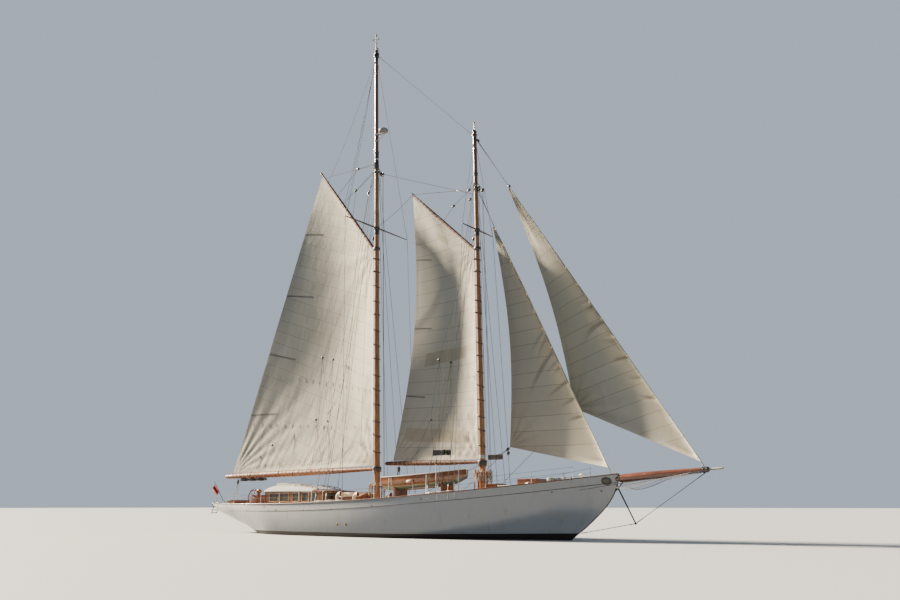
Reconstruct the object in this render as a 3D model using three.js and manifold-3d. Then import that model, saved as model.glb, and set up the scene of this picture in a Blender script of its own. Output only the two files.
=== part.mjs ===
// A two-masted gaff schooner, afloat under four sails, at its real size.
// Millimetres. +X points to the bow, +Y to port, +Z up. The origin is on the
// centreline at the water's surface, halfway along the waterline.
import * as THREE from 'three';
import { mergeVertices } from 'three/addons/utils/BufferGeometryUtils.js';
import Module from 'manifold-3d';

const wasm = await Module();
wasm.setup();

// Driving dimensions
const GAP = 0.3;                 // between pieces that touch
const RUNNING_GAP = 6;           // between a moving piece and what it turns round
const SHEER_LOW_X = -7200;       // where the rail is lowest
const SHEER_LOW = 1490;          // rail height there
const SHEER_FWD = 3.32e-6;       // rise of the rail ahead of that point, per mm squared
const SHEER_AFT = 1.3e-6;        // and behind it
const BULWARK_H = 320;           // rail above the deck edge
const BULWARK_T = 60;
const CAP_T = 45;
const CAP_OUT = 35;
const CAP_IN = 110;
const CAMBER = 110;              // rise of the deck at the centreline
const DECK_T = 35;
const DECK_SEAM = 4;             // caulked joint between the deck and the bulwark

const MAIN = { footX: -1189, rake: -0.0279, top: 25760, staffTop: 26700, deckR: 155, topR: 92 };
const FORE = { footX: 4950, rake: -0.0184, top: 19200, staffTop: 19600, deckR: 145, topR: 90 };
MAIN.spreaderZ = 15460;
MAIN.spreaderHalf = 2470;
MAIN.houndsZ = 18950;
MAIN.collarZ = 3030;
FORE.spreaderZ = 14140;
FORE.spreaderHalf = 1300;
FORE.houndsZ = 16250;
FORE.collarZ = 3150;

const MAIN_SAIL = { swing: 3, gaffSwing: 8, boomR: 11770, boomZ: [3127, 2990], boomRad: 165, gaffRad: 98 };
Object.assign(MAIN_SAIL, { clewR: 11200, throatZ: 14260, peakR: 4726, peakZ: 19800 });
const FORE_SAIL = { swing: 3, gaffSwing: 10, boomR: 5850, boomZ: [3273, 3380], boomRad: 125, gaffRad: 72 };
Object.assign(FORE_SAIL, { clewR: 5390, throatZ: 13150, peakR: 4590, peakZ: 17160 });

const SAIL_T = 12;
const WIRE_R = 9;
const ROUND = 14;                // sides of a spar

const STERNPOST = { heel: [-6700, -2950], head: [-8200, -450], axisOffset: 75 };
const SHAFT = { x: -7040, z: -1400, bladeR: 380, hubR: 60 };

// Finishes
const finish = (color, roughness, metalness = 0) =>
  new THREE.MeshStandardMaterial({ color, roughness, metalness });
const FINISH = {
  white: finish(0xe6e4da, 0.35),
  antifouling: finish(0x4a1b19, 0.7),
  lead: finish(0x4a1b19, 0.75),
  teak: finish(0x9b8468, 0.7),
  varnish: finish(0x7a3a17, 0.25),
  spar: finish(0xa85c2a, 0.3),
  canvas: finish(0xd9d2c0, 0.85),
  steel: finish(0x9a9c9c, 0.35, 1),
  bronze: finish(0x9a7a45, 0.35, 1),
  black: finish(0x141414, 0.4),
  navy: finish(0x23262e, 0.9),
  red: finish(0xb3262d, 0.85),
  dome: finish(0xc9ccd0, 0.4),
};

// Closed solids from geometries
const v3 = (x, y, z) => new THREE.Vector3(x, y, z);

function signedVolume(position, index) {
  let sum = 0;
  const [a, b, c] = [v3(), v3(), v3()];
  for (let i = 0; i < index.length; i += 3) {
    a.fromArray(position, 3 * index[i]);
    b.fromArray(position, 3 * index[i + 1]);
    c.fromArray(position, 3 * index[i + 2]);
    sum += a.dot(b.cross(c)) / 6;
  }
  return sum;
}

function solid(geometry) {
  const bare = geometry.clone();
  bare.deleteAttribute('normal');
  bare.deleteAttribute('uv');
  const merged = mergeVertices(bare, 1e-3);
  const position = new Float32Array(merged.attributes.position.array);
  let index = Array.from(merged.index.array);
  const flat = (i) => new Set(index.slice(i, i + 3)).size < 3;
  index = index.filter((_, i) => !flat(3 * Math.floor(i / 3)));
  if (signedVolume(position, index) < 0) index.reverse();
  const triVerts = new Uint32Array(index);
  return new wasm.Manifold(new wasm.Mesh({ numProp: 3, vertProperties: position, triVerts }));
}

function geometryOf(body) {
  const { vertProperties, triVerts, numProp } = body.getMesh();
  const geometry = new THREE.BufferGeometry();
  const position = new Float32Array((vertProperties.length / numProp) * 3);
  for (let i = 0; i < position.length / 3; i += 1) {
    position.set(vertProperties.slice(i * numProp, i * numProp + 3), 3 * i);
  }
  geometry.setAttribute('position', new THREE.BufferAttribute(position, 3));
  geometry.setIndex(new THREE.BufferAttribute(new Uint32Array(triVerts), 1));
  geometry.computeVertexNormals();
  return geometry;
}

const join = (...bodies) => bodies.reduce((sum, body) => sum.add(body));

// The main piece of a cut solid, without the slivers that the cut left.
const mainPiece = (body) => body.decompose().sort((a, b) => b.volume() - a.volume())[0];

// A skin through rings of points, closed at both ends, or joined into a loop.
// In a ring, point i faces point (last - i), so an end closes as a strip of pairs.
function loft(rings, loop = false) {
  const m = rings[0].length;
  const points = rings.flat();
  const faces = [];
  const spans = loop ? rings.length : rings.length - 1;
  for (let i = 0; i < spans; i += 1) {
    const next = ((i + 1) % rings.length) * m;
    for (let j = 0; j < m; j += 1) {
      const k = (j + 1) % m;
      faces.push(i * m + j, next + j, next + k, i * m + j, next + k, i * m + k);
    }
  }
  if (!loop) {
    for (const [base, turn] of [[0, false], [(rings.length - 1) * m, true]]) {
      for (let j = 0; j + 1 < m - 1 - j; j += 1) {
        const [a, b, c, d] = [j, j + 1, m - 2 - j, m - 1 - j].map((n) => base + n);
        const strip = b === c ? [a, b, d] : [a, b, c, a, c, d];
        faces.push(...(turn ? strip.reverse() : strip));
      }
    }
  }
  const geometry = new THREE.BufferGeometry().setFromPoints(points);
  geometry.setIndex(faces);
  return solid(geometry);
}

// A round body along a to b: profile rows are [distance from a, radius]. An edge of its
// facets runs along the top and the underside, so that a sail can lie along it.
function turned(a, b, profile, sides = ROUND) {
  const outline = [[profile[0][0], 0], ...profile, [profile.at(-1)[0], 0]];
  const lathe = new THREE.LatheGeometry(outline.map(([s, r]) => new THREE.Vector2(r, s)), sides);
  const way = b.clone().sub(a).normalize();
  const level = Math.abs(way.z) > 0.999 ? way.clone().cross(v3(1, 0, 0)) : v3(0, 0, 1).cross(way);
  level.normalize();
  const place = new THREE.Matrix4().makeBasis(level, way, level.clone().cross(way));
  return solid(lathe.applyMatrix4(place.setPosition(a)));
}

const rod = (a, b, r, r2 = r, sides = 6) => turned(a, b, [[0, r], [a.distanceTo(b), r2]], sides);

// A run of wire through points, with a ball at each bend.
function wire(points, r = WIRE_R) {
  const runs = points.slice(1).map((p, i) => rod(points[i], p, r));
  const balls = points.slice(1, -1).map((p) => ball(p, r * 1.2));
  return join(...runs, ...balls);
}

const ball = (p, r, across = 6, down = 4) =>
  solid(new THREE.SphereGeometry(r, across, down).translate(p.x, p.y, p.z));

// A block from its lowest to its highest corner.
function block([x0, y0, z0], [x1, y1, z1]) {
  const box = new THREE.BoxGeometry(x1 - x0, y1 - y0, z1 - z0);
  return solid(box.translate((x0 + x1) / 2, (y0 + y1) / 2, (z0 + z1) / 2));
}

// An outline in x and z, given a thickness across y.
function sidePlate(outline, half, y = 0) {
  const shape = new THREE.Shape(outline.map(([x, z]) => new THREE.Vector2(x, z)));
  const plate = new THREE.ExtrudeGeometry(shape, { depth: 2 * half, bevelEnabled: false });
  return solid(plate.translate(0, 0, -half).rotateX(Math.PI / 2).translate(0, y, 0));
}

// An outline in y and z, run along x from x0 to x1.
function crossPlate(outline, x0, x1) {
  const shape = new THREE.Shape(outline.map(([y, z]) => new THREE.Vector2(y, z)));
  const plate = new THREE.ExtrudeGeometry(shape, { depth: x1 - x0, bevelEnabled: false });
  const turn = new THREE.Matrix4().makeBasis(v3(0, 1, 0), v3(0, 0, 1), v3(1, 0, 0));
  return solid(plate.applyMatrix4(turn).translate(x0, 0, 0));
}

const schooner = new THREE.Group();

function add(name, body, material) {
  const mesh = new THREE.Mesh(geometryOf(body), material);
  mesh.name = name;
  schooner.add(mesh);
  return body;
}

// The hull's form
const sheer = (x) => SHEER_LOW + (x > SHEER_LOW_X ? SHEER_FWD : SHEER_AFT) * (x - SHEER_LOW_X) ** 2;

// Stations from bow to stern. topX and lowX: where the station meets the rail and the
// keel. low: its lowest height. garboard: where the body leaves the keel. half: half
// breadth at the rail. keel: half thickness of the keel. y1 s1 y2 s2: the two middle
// handles of the section's curve, across and up, as shares of its whole reach.
const STATION_COLUMNS = ['topX', 'lowX', 'low', 'garboard', 'half', 'keel', 'y1', 's1', 'y2', 's2'];
const STATIONS = [
  [11420, 10580, 1090, 1120, 60, 50, 0.30, 0.30, 0.70, 0.70],
  [10950, 9930, 540, 570, 310, 55, 0.22, 0.30, 0.60, 0.66],
  [10450, 9440, 200, 230, 575, 60, 0.22, 0.28, 0.60, 0.64],
  [9900, 9180, 0, 40, 835, 65, 0.24, 0.27, 0.62, 0.62],
  [9200, 8600, -300, -250, 1112, 70, 0.26, 0.25, 0.64, 0.60],
  [8200, 7800, -720, -640, 1460, 80, 0.30, 0.20, 0.70, 0.54],
  [6600, 6500, -1330, -1050, 1910, 95, 0.36, 0.15, 0.80, 0.46],
  [4500, 4500, -2000, -1270, 2341, 130, 0.45, 0.12, 0.92, 0.38],
  [2500, 2500, -2420, -1370, 2591, 165, 0.55, 0.10, 1.00, 0.31],
  [0, 0, -2700, -1400, 2717, 185, 0.60, 0.09, 1.03, 0.28],
  [-2500, -2500, -2850, -1320, 2690, 185, 0.60, 0.09, 1.03, 0.28],
  [-5000, -5000, -2920, -1050, 2549, 150, 0.56, 0.08, 1.02, 0.30],
  [-6700, -6700, -2950, -760, 2370, 105, 0.52, 0.06, 1.02, 0.32],
  [-8200, -8200, -450, -400, 2120, 75, 0.40, 0.07, 1.00, 0.44],
  [-9500, -9350, 70, 110, 1800, 60, 0.42, 0.08, 1.00, 0.48],
  [-11200, -10900, 570, 610, 1300, 50, 0.45, 0.09, 1.00, 0.50],
  [-12200, -11750, 810, 845, 840, 45, 0.50, 0.09, 1.00, 0.52],
  [-12850, -12300, 950, 980, 450, 40, 0.55, 0.09, 1.00, 0.52],
].map((row) => Object.fromEntries(row.map((value, i) => [STATION_COLUMNS[i], value])));

const bezier = (t, p1, p2) => 3 * t * (1 - t) ** 2 * p1 + 3 * t * t * (1 - t) * p2 + t ** 3;

// Where a station's body reaches height z, as the curve's parameter.
function curveAt(st, z) {
  const reach = (z - st.garboard) / (sheer(st.topX) - st.garboard);
  let [low, high] = [0, 1];
  for (let i = 0; i < 40; i += 1) {
    const t = (low + high) / 2;
    if (bezier(t, st.s1, st.s2) < reach) low = t;
    else high = t;
  }
  return (low + high) / 2;
}

// The x of a station at height z: bow stations lean forward as the stem does.
function stationX(st, z) {
  const s = (z - st.low) / (sheer(st.topX) - st.low);
  const lean = st.topX > 0 ? 1 - (1 - s) ** 2 : s;
  return st.lowX + (st.topX - st.lowX) * lean;
}

function bodyPoint(st, t, side) {
  const y = st.keel + (st.half - st.keel) * bezier(t, st.y1, st.y2);
  const z = st.garboard + (sheer(st.topX) - st.garboard) * bezier(t, st.s1, st.s2);
  return v3(stationX(st, z), side * y, z);
}

function pointAt(st, z, inset, side) {
  const p = bodyPoint(st, curveAt(st, z), side);
  return v3(p.x, side * Math.max(Math.abs(p.y) - inset, 12), z);
}

const deckEdge = (x) => sheer(x) - BULWARK_H;
const hullTop = (st) => deckEdge(st.topX) - DECK_T;
const SECTION_STEPS = [0, 0.1, 0.22, 0.36, 0.52, 0.7, 0.85, 1];

function hullRing(st) {
  const end = curveAt(st, hullTop(st));
  const side = (s) => [
    v3(st.lowX, s * st.keel * 0.85, st.low),
    ...SECTION_STEPS.map((t) => bodyPoint(st, t * end, s)),
  ];
  return [...side(1), ...side(-1).reverse()];
}

// A station moved in from the stem or the transom, for what lies inside the bulwark.
function inboard(st, index) {
  if (index === 0) return { ...st, topX: st.topX - 190, lowX: st.lowX - 190, half: st.half + 95 };
  const inset = index === STATIONS.length - 1 ? BULWARK_T + 25 : 0;
  return { ...st, topX: st.topX + inset, lowX: st.lowX + inset };
}

const INNER = STATIONS.map(inboard);

function deckRing(st, bottom, raise) {
  const edge = deckEdge(st.topX);
  const ring = (side) => {
    const p = pointAt(st, edge, BULWARK_T, side);
    const low = pointAt(st, hullTop(st), BULWARK_T, side);
    const rise = CAMBER * Math.min(1, st.half / 1500);
    return [
      v3(low.x, low.y, bottom(st)),
      v3(p.x, p.y, edge + raise),
      v3(p.x, p.y * 0.55, edge + rise * 0.7 + raise),
    ];
  };
  const crown = v3(pointAt(st, edge, 0, 1).x, 0, edge + CAMBER * Math.min(1, st.half / 1500) + raise);
  return [...ring(1), crown, ...ring(-1).reverse()];
}

function rimRing(st, inner, rows, side) {
  return rows.map(([inset, z]) => {
    const at = inset > 20 ? inner : st;
    const p = pointAt(at, Math.min(z(st), sheer(at.topX)), inset, side);
    return v3(p.x, p.y, z(st));
  });
}

function rim(rows) {
  const port = STATIONS.map((st, i) => rimRing(st, INNER[i], rows, 1));
  const starboard = STATIONS.map((st, i) => rimRing(st, INNER[i], rows, -1)).reverse();
  return loft([...port, ...starboard], true);
}

// Mast lines and swung points on them
const mastAt = (mast, z, out = 0) => v3(mast.footX + mast.rake * z + out, 0, z);
const mastR = (mast, z) => mast.deckR + (mast.topR - mast.deckR) * (z - 2000) / (mast.top - 2000);

// The point r behind the mast's axis at height z, swung to port by an angle.
function swung(mast, r, z, degrees, aside = 0) {
  const a = THREE.MathUtils.degToRad(degrees);
  const p = mastAt(mast, z);
  return v3(p.x - r * Math.cos(a) + aside * Math.sin(a), r * Math.sin(a) + aside * Math.cos(a), z);
}

// Bowsprit line
const SPRIT = { heel: v3(10150, 0, 2330), end: v3(14850, 0, 2685), heelR: 165, endR: 95 };
const spritBody = (extra) => turned(SPRIT.heel, SPRIT.end,
  [[-extra, SPRIT.heelR + extra], [2200, SPRIT.heelR + extra], [4713, SPRIT.endR + extra]], ROUND);

// Hull, keel, deck and rail
const deckCutter = loft(INNER.map((st) => deckRing(st, () => -200, GAP)));
const wholeHull = loft(STATIONS.map(hullRing));
const BALLAST = [[3400, -1990], [3400, -3200], [-5400, -3200], [-5400, -2380]];
const ballastPart = sidePlate(BALLAST, 600);
const ballastRoom = sidePlate([[3400 + GAP, -1990 + GAP], [3400 + GAP, -3300], [-5400 - GAP, -3300],
  [-5400 - GAP, -2380 + GAP]], 700);

const post = (a, b) => {
  const [hx, hz] = STERNPOST.heel;
  const [tx, tz] = STERNPOST.head;
  const length = Math.hypot(tx - hx, tz - hz);
  const [dx, dz] = [(tx - hx) / length, (tz - hz) / length];
  const out = b + STERNPOST.axisOffset;
  return v3(hx + dx * a - dz * out, 0, hz + dz * a + dx * out);
};

const RUDDER_FOOT = 40;
const RUDDER_HEAD = 2850;

function hullBody() {
  const aperture = block([-7900, -450, -1850], [SHAFT.x + 30, 450, -950]);
  const sternTube = rod(v3(SHAFT.x + 300, 0, SHAFT.z), v3(SHAFT.x, 0, SHAFT.z), 85, 75, ROUND);
  const trunk = rod(post(RUDDER_HEAD + 260, 0), post(RUDDER_HEAD, 0), 75, 75, 12);
  const shoe = join(block([-6690, -60, -3045], [-6500, 60, -2940]),
    block([-6860, -60, -3045], [-6500, 60, -2995]),
    rod(post(-55, 0), post(RUDDER_FOOT - GAP, 0), 60, 60, 12));
  return wholeHull.subtract(ballastRoom).subtract(aperture).add(sternTube).add(trunk).add(shoe)
    .subtract(spritBody(1));
}

const hull = add('hull', hullBody(), FINISH.white);
add('ballast_keel', wholeHull.intersect(ballastPart), FINISH.lead);
const bulwarkRim = (thick) => rim([
  [0, (st) => hullTop(st) + GAP],
  [0, (st) => deckEdge(st.topX) + BULWARK_H * 0.4],
  [0, (st) => sheer(st.topX) - CAP_T],
  [thick, (st) => sheer(st.topX) - CAP_T],
  [thick, (st) => deckEdge(st.topX)],
  [thick, (st) => hullTop(st) + GAP],
]).subtract(spritBody(1));
const bulwark = bulwarkRim(BULWARK_T);
const deckBlank = loft(INNER.map((st) => deckRing(st, (s) => hullTop(s) + 2 * GAP, 0)));
const deckPlate = deckBlank.subtract(bulwarkRim(BULWARK_T + DECK_SEAM))
  .subtract(bulwark.translate([-DECK_SEAM, 0, 0])).subtract(spritBody(1));
const deckJoints = [-20000, -4000, 4500, 20000];
for (const [i, name] of ['deck_aft', 'deck_waist', 'deck_fore'].entries()) {
  const length = block([deckJoints[i] + GAP / 2, -4000, 0], [deckJoints[i + 1] - GAP / 2, 4000, 4000]);
  add(name, mainPiece(deckPlate).intersect(length), FINISH.teak);
}
add('bulwark', bulwark, FINISH.white);
const capRail = rim([
  [-CAP_OUT, (st) => sheer(st.topX) - CAP_T + 2 * GAP],
  [-CAP_OUT, (st) => sheer(st.topX)],
  [CAP_IN, (st) => sheer(st.topX)],
  [CAP_IN, (st) => sheer(st.topX) - CAP_T + 2 * GAP],
]).subtract(bulwark.translate([0, 0, GAP + 0.1])).subtract(spritBody(1));
add('cap_rail', capRail, FINISH.white);
const capCutter = capRail.translate([0, 0, GAP]);

// Rudder and propeller
function rudderBody() {
  const outline = [[RUDDER_FOOT + 20, 0], [130, 560], [900, 960], [2000, 1080], [3000, 900],
    [3300, 620], [2780, 0]];
  const plate = sidePlate(outline.map(([a, b]) => [post(a, b).x, post(a, b).z]), 32);
  return join(plate, rod(post(RUDDER_FOOT, 0), post(RUDDER_HEAD - GAP, 0), 50, 50, 12));
}
add('rudder', rudderBody(), FINISH.antifouling);

function propellerBody() {
  const { x, z, bladeR, hubR } = SHAFT;
  const hub = turned(v3(x - GAP, 0, z), v3(x - 300, 0, z), [[0, hubR], [180, hubR], [250, 20]], 12);
  const blades = [0, 120, 240].map((turn) => {
    const blade = new THREE.BoxGeometry(16, 150, bladeR - 30);
    blade.rotateZ(THREE.MathUtils.degToRad(55)).translate(0, 0, bladeR / 2 + 15);
    blade.rotateX(THREE.MathUtils.degToRad(turn)).translate(x - 105, 0, z);
    return solid(blade);
  });
  return join(hub, ...blades);
}
add('propeller', propellerBody(), FINISH.bronze);

// Bowsprit and what stays it
add('bowsprit', spritBody(0), FINISH.varnish);
const spritWay = SPRIT.end.clone().sub(SPRIT.heel).normalize();
const along = (s) => SPRIT.end.clone().addScaledVector(spritWay, s);
const STRIKER = v3(12060, 0, 700);

function bandBody() {
  const band = turned(along(GAP), along(300), [[0, 108], [260, 104], [261, 34], [820, 26]], 12);
  const guys = [1, -1].map((side) =>
    rod(along(120).add(v3(0, side * 90, 0)), v3(10050, side * 790, 1980), WIRE_R));
  return join(band, ...guys).subtract(hull.translate([GAP, 0, 0]));
}
add('bowsprit_band', bandBody(), FINISH.black);

function bobstayBody() {
  const stayFoot = v3(9560, 0, 270);
  const top = along(130).add(v3(0, 0, -104));
  const strut = rod(v3(11300, 0, 2230), STRIKER, 34, 28, 10);
  const stay = wire([stayFoot, STRIKER, top], 14);
  const band = turned(along(GAP), along(300), [[-1, 108 + GAP], [262, 104 + GAP]], 12);
  return join(strut, stay, ball(STRIKER, 44)).subtract(hull.translate([GAP, 0, 0]))
    .subtract(band).subtract(spritBody(GAP));
}
add('bobstay', bobstayBody(), FINISH.steel);

// Masts, with their bands, collars and the thin staff above
function mastBody(mast) {
  const at = (z, extra) => [z, mastR(mast, z) + extra];
  const { collarZ, houndsZ, top } = mast;
  const rows = [at(0, 0), at(collarZ - 80, 0), at(collarZ - 80, 75), at(collarZ, 75), at(collarZ, 0),
    at(houndsZ - 50, 0), at(houndsZ - 50, 22), at(houndsZ + 850, 22), at(houndsZ + 850, 0),
    at(top, 0), at(top, 18), at(top + 60, 18), [top + 60, 22], [mast.staffTop, 14]];
  return turned(mastAt(mast, 0), mastAt(mast, mast.top), rows, ROUND).subtract(deckCutter);
}
add('main_mast', mastBody(MAIN), FINISH.spar);
add('fore_mast', mastBody(FORE), FINISH.spar);

const mastCutter = (mast, extra = GAP) => turned(mastAt(mast, 0), mastAt(mast, mast.top),
  [[0, mastR(mast, 0) + extra], [mast.top + 100, mastR(mast, mast.top + 100) + extra]], ROUND);

const SPREADER_AHEAD = 60;        // the arms cross ahead of the mast's axis
const spreaderTip = (mast, side, short = 0) => mastAt(mast, mast.spreaderZ, SPREADER_AHEAD)
  .add(v3(0, side * (mast.spreaderHalf - short), 0));

function spreaderBody(mast) {
  const r = mastR(mast, mast.spreaderZ);
  const [low, high] = [mastAt(mast, mast.spreaderZ - 60), mastAt(mast, mast.spreaderZ + 60)];
  const boss = rod(low, high, r + 55, r + 55, ROUND);
  const arms = [1, -1].map((side) => rod(mastAt(mast, mast.spreaderZ, SPREADER_AHEAD),
    spreaderTip(mast, side, WIRE_R * 1.2 + 3.2), 42, 14));
  return join(boss, ...arms).subtract(mastCutter(mast));
}
add('main_spreaders', spreaderBody(MAIN), FINISH.varnish);
add('fore_spreaders', spreaderBody(FORE), FINISH.varnish);

// Shrouds: the lower ones run from the hounds, the upper one over the spreader's tip
const CHAINPLATES = { main: [-2750, -2050, -1350, -1000], fore: [3650, 4150, 4650, 4950] };

function halfAt(x) {
  const i = STATIONS.findIndex((st) => st.topX < x);
  const [a, b] = [STATIONS[i - 1], STATIONS[i]];
  return b.half + (a.half - b.half) * (x - b.topX) / (a.topX - b.topX);
}

const shroudRoot = (x, side) => v3(x, side * (halfAt(x) + 5), sheer(x) + 28);

function shroudBody(mast, feet, side) {
  const root = (x) => shroudRoot(x, side);
  const lowers = feet.slice(0, 3).map((x) => wire([mastAt(mast, mast.houndsZ + 300), root(x)]));
  const tip = spreaderTip(mast, side);
  const upper = wire([mastAt(mast, mast.top - 500), tip, root(feet[3])]);
  const screws = feet.map((x, i) => {
    const top = i < 3 ? mastAt(mast, mast.houndsZ + 300) : tip;
    const way = top.clone().sub(root(x)).normalize();
    return rod(root(x).addScaledVector(way, 40), root(x).addScaledVector(way, 330), 22, 22);
  });
  const channel = feet.slice(1).map((x, i) => {
    return rod(root(feet[i]), root(x), 26, 26, 4);
  });
  return join(...lowers, upper, ...screws, ...channel).subtract(mastCutter(mast, 25))
    .subtract(capCutter);
}

for (const [side, word] of [[1, 'port'], [-1, 'starboard']]) {
  add(`main_shrouds_${word}`, shroudBody(MAIN, CHAINPLATES.main, side), FINISH.steel);
  add(`fore_shrouds_${word}`, shroudBody(FORE, CHAINPLATES.fore, side), FINISH.steel);
}

// Stays in the centre plane
const jibTop = mastAt(FORE, 18950);
const stayTop = mastAt(FORE, 16350);
const stayFoot = v3(11180, 0, sheer(11180) - 120);
const jibFoot = along(140).add(v3(0, 0, 76));
const bandCutter = turned(along(GAP), along(300), [[-1, 108 + GAP], [262, 104 + GAP]], 12);
add('jib_stay', wire([jibTop, jibFoot]).subtract(mastCutter(FORE))
  .subtract(bandCutter), FINISH.steel);
add('fore_stay', wire([stayTop, stayFoot])
  .subtract(mastCutter(FORE, 25)).subtract(spritBody(GAP)).subtract(capCutter), FINISH.steel);
add('head_stay', wire([mastAt(MAIN, 25600), mastAt(FORE, 18980)]).subtract(mastCutter(MAIN))
  .subtract(mastCutter(FORE)), FINISH.steel);
add('spring_stay', wire([mastAt(MAIN, 18600), mastAt(FORE, 15950)]).subtract(mastCutter(MAIN))
  .subtract(mastCutter(FORE)), FINISH.steel);

// Booms and gaffs
// The axis of a boom or a gaff, from end to end: [distance behind the mast, height]
const boomLine = (mast, sail) => [[mastR(mast, 3000) + 40, sail.boomZ[0]], [sail.boomR, sail.boomZ[1]]];
const gaffLine = (mast, sail) => [[mastR(mast, sail.throatZ) + 30, sail.throatZ + 60],
  [sail.peakR + 60, sail.peakZ + 100]];

// The point at r on such an axis, moved up square to it
function besideSpar(mast, line, swing, r, above) {
  const [start, end] = line.map(([radius, z]) => swung(mast, radius, z, swing));
  const run = end.clone().sub(start);
  const level = Math.hypot(run.x, run.y);
  const share = (r - line[0][0]) / (line[1][0] - line[0][0]);
  return start.addScaledVector(run, share).add(v3(0, 0, above * run.length() / level));
}

function spar(mast, line, swing, profile) {
  const [start, end] = line.map(([r, z]) => swung(mast, r, z, swing));
  const length = start.distanceTo(end);
  return turned(start, end, profile.map(([share, radius]) => [length * share, radius]));
}

function boomSpar(mast, sail, extra = 0) {
  const rad = (share) => sail.boomRad * share + extra;
  return spar(mast, boomLine(mast, sail), sail.swing, [[0, rad(0.52)], [0.15, rad(0.72)], [0.32, rad(0.94)],
    [0.5, rad(1)], [0.75, rad(0.95)], [1, rad(0.7)]]);
}

function boomBody(mast, sail) {
  const r = mastR(mast, 3000);
  const foot = mast.collarZ / Math.hypot(1, mast.rake) + GAP;
  const ring = rod(mastAt(mast, foot), mastAt(mast, foot + 190), r + 75, r + 75, ROUND);
  const floor = rod(mastAt(mast, foot - 400), mastAt(mast, foot), r + 400, r + 400, ROUND);
  return join(ring, boomSpar(mast, sail)).subtract(floor).subtract(mastCutter(mast, RUNNING_GAP));
}

function gaffBody(mast, sail) {
  const rad = sail.gaffRad;
  const r = mastR(mast, sail.throatZ) + 60;
  const ring = rod(mastAt(mast, sail.throatZ), mastAt(mast, sail.throatZ + 150), r, r, ROUND);
  const pole = spar(mast, gaffLine(mast, sail), sail.gaffSwing, [[0, rad], [0.5, rad], [1, rad * 0.6]]);
  return join(ring, pole).subtract(mastCutter(mast, RUNNING_GAP));
}

// Sails. A sail is a patch between its corners, pushed to port by the wind.
function sailBody(corner, shape, rows = 12, columns = 9) {
  const at = (u, v) => {
    const luff = corner.tack.clone().lerp(corner.throat, u);
    const leech = corner.clew.clone().lerp(corner.peak, u);
    const p = luff.lerp(leech, v);
    const full = Math.sin(Math.PI * u) ** 0.7;
    const belly = shape.depth * Math.sin(Math.PI * v ** 0.8) * full;
    const sag = shape.leech * v ** 1.6 * Math.sin(Math.PI * u ** shape.high);
    return p.add(v3(shape.hollow * v ** 2 * Math.sin(Math.PI * u), belly + sag, 0));
  };
  const ring = (u) => {
    const row = Array.from({ length: columns + 1 }, (_, j) => at(u, j / columns));
    const shift = v3(0, SAIL_T / 2, 0);
    return [...row.map((p) => p.clone().add(shift)), ...row.reverse().map((p) => p.clone().sub(shift))];
  };
  return loft(Array.from({ length: rows + 1 }, (_, i) => ring(i / rows)));
}

// A gaff sail, laced along its boom and its gaff, where it lies just off the spar
function gaffSail(mast, sail, shape) {
  const luff = mastR(mast, 8000) + 90;
  const foot = (r) => besideSpar(mast, boomLine(mast, sail), sail.swing, r, sail.boomRad + GAP);
  const head = (r) => besideSpar(mast, gaffLine(mast, sail), sail.gaffSwing, r, -sail.gaffRad - GAP);
  return sailBody({
    tack: foot(luff + 40),
    clew: foot(sail.clewR),
    throat: head(luff),
    peak: head(sail.peakR - 40),
  }, shape);
}

add('main_boom', boomBody(MAIN, MAIN_SAIL), FINISH.spar);
add('main_gaff', gaffBody(MAIN, MAIN_SAIL), FINISH.spar);
add('mainsail', gaffSail(MAIN, MAIN_SAIL, { depth: 650, leech: 0, high: 1, hollow: 0 }), FINISH.canvas);
add('fore_boom', boomBody(FORE, FORE_SAIL), FINISH.spar);
add('fore_gaff', gaffBody(FORE, FORE_SAIL), FINISH.spar);
add('foresail', gaffSail(FORE, FORE_SAIL, { depth: 450, leech: 900, high: 1, hollow: 0 }),
  FINISH.canvas);

// Headsails, hanked to their stays
function headsail(top, foot, reach, clew, shape) {
  const back = v3(top.x - foot.x, 0, top.z - foot.z).normalize();
  const off = v3(-back.z, 0, back.x).multiplyScalar(-(WIRE_R + 0.4) * Math.sign(back.z) * -1);
  const luff = (z) => foot.clone().addScaledVector(back, (z - foot.z) / back.z).add(off);
  const head = luff(reach.head);
  return sailBody({
    tack: luff(reach.tack),
    clew,
    throat: head,
    peak: head.clone().add(v3(-70, 25, -40)),
  }, shape);
}
add('staysail', headsail(stayTop, stayFoot, { tack: 2880, head: 14170 }, v3(5600, 1200, 3970),
  { depth: 380, leech: 700, high: 1, hollow: 0 }), FINISH.canvas);
add('jib', headsail(jibTop, jibFoot, { tack: 3010, head: 15890 }, v3(9050, 1000, 5480),
  { depth: 450, leech: 800, high: 1, hollow: 0 }), FINISH.canvas);

// Deckhouse: walls with windows, a cambered roof, a door and a sliding hatch
const HOUSE = { aft: -7800, fore: -3800, half: 1150, wall: 45, reach: 1220 };
const HOUSE_WINDOWS = [[-7480, -6860], [-6740, -6120], [-5830, -5350], [-5150, -4700], [-4500, -4050]];
const WINDOW_Z = [1600, 2010];
const DOOR = { half: 340, sill: 1420, top: 2080, t: 40 };
// The roof's underside: x, height at the eave, height at the crown
const ROOF = [[-7880, 2085, 2290], [-7700, 2090, 2375], [-6600, 2095, 2395], [-5300, 2090, 2350],
  [-4300, 2075, 2220], [-3700, 2055, 2110]];
const ROOF_T = 45;
const SLIDE = { aft: -7810, fore: -6900, half: 400, railTop: 2490, t: 45 };

function roofLayer(lift, top) {
  return loft(ROOF.map(([x, eave, crown]) => {
    const arch = Array.from({ length: 9 }, (_, i) => {
      const y = 1 - i / 4;
      return v3(x, y * HOUSE.reach, crown - (crown - eave) * y * y + lift);
    });
    const over = arch.map((p) => v3(p.x, p.y, top ?? p.z + ROOF_T)).reverse();
    return [...arch, ...over];
  }));
}

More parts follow.
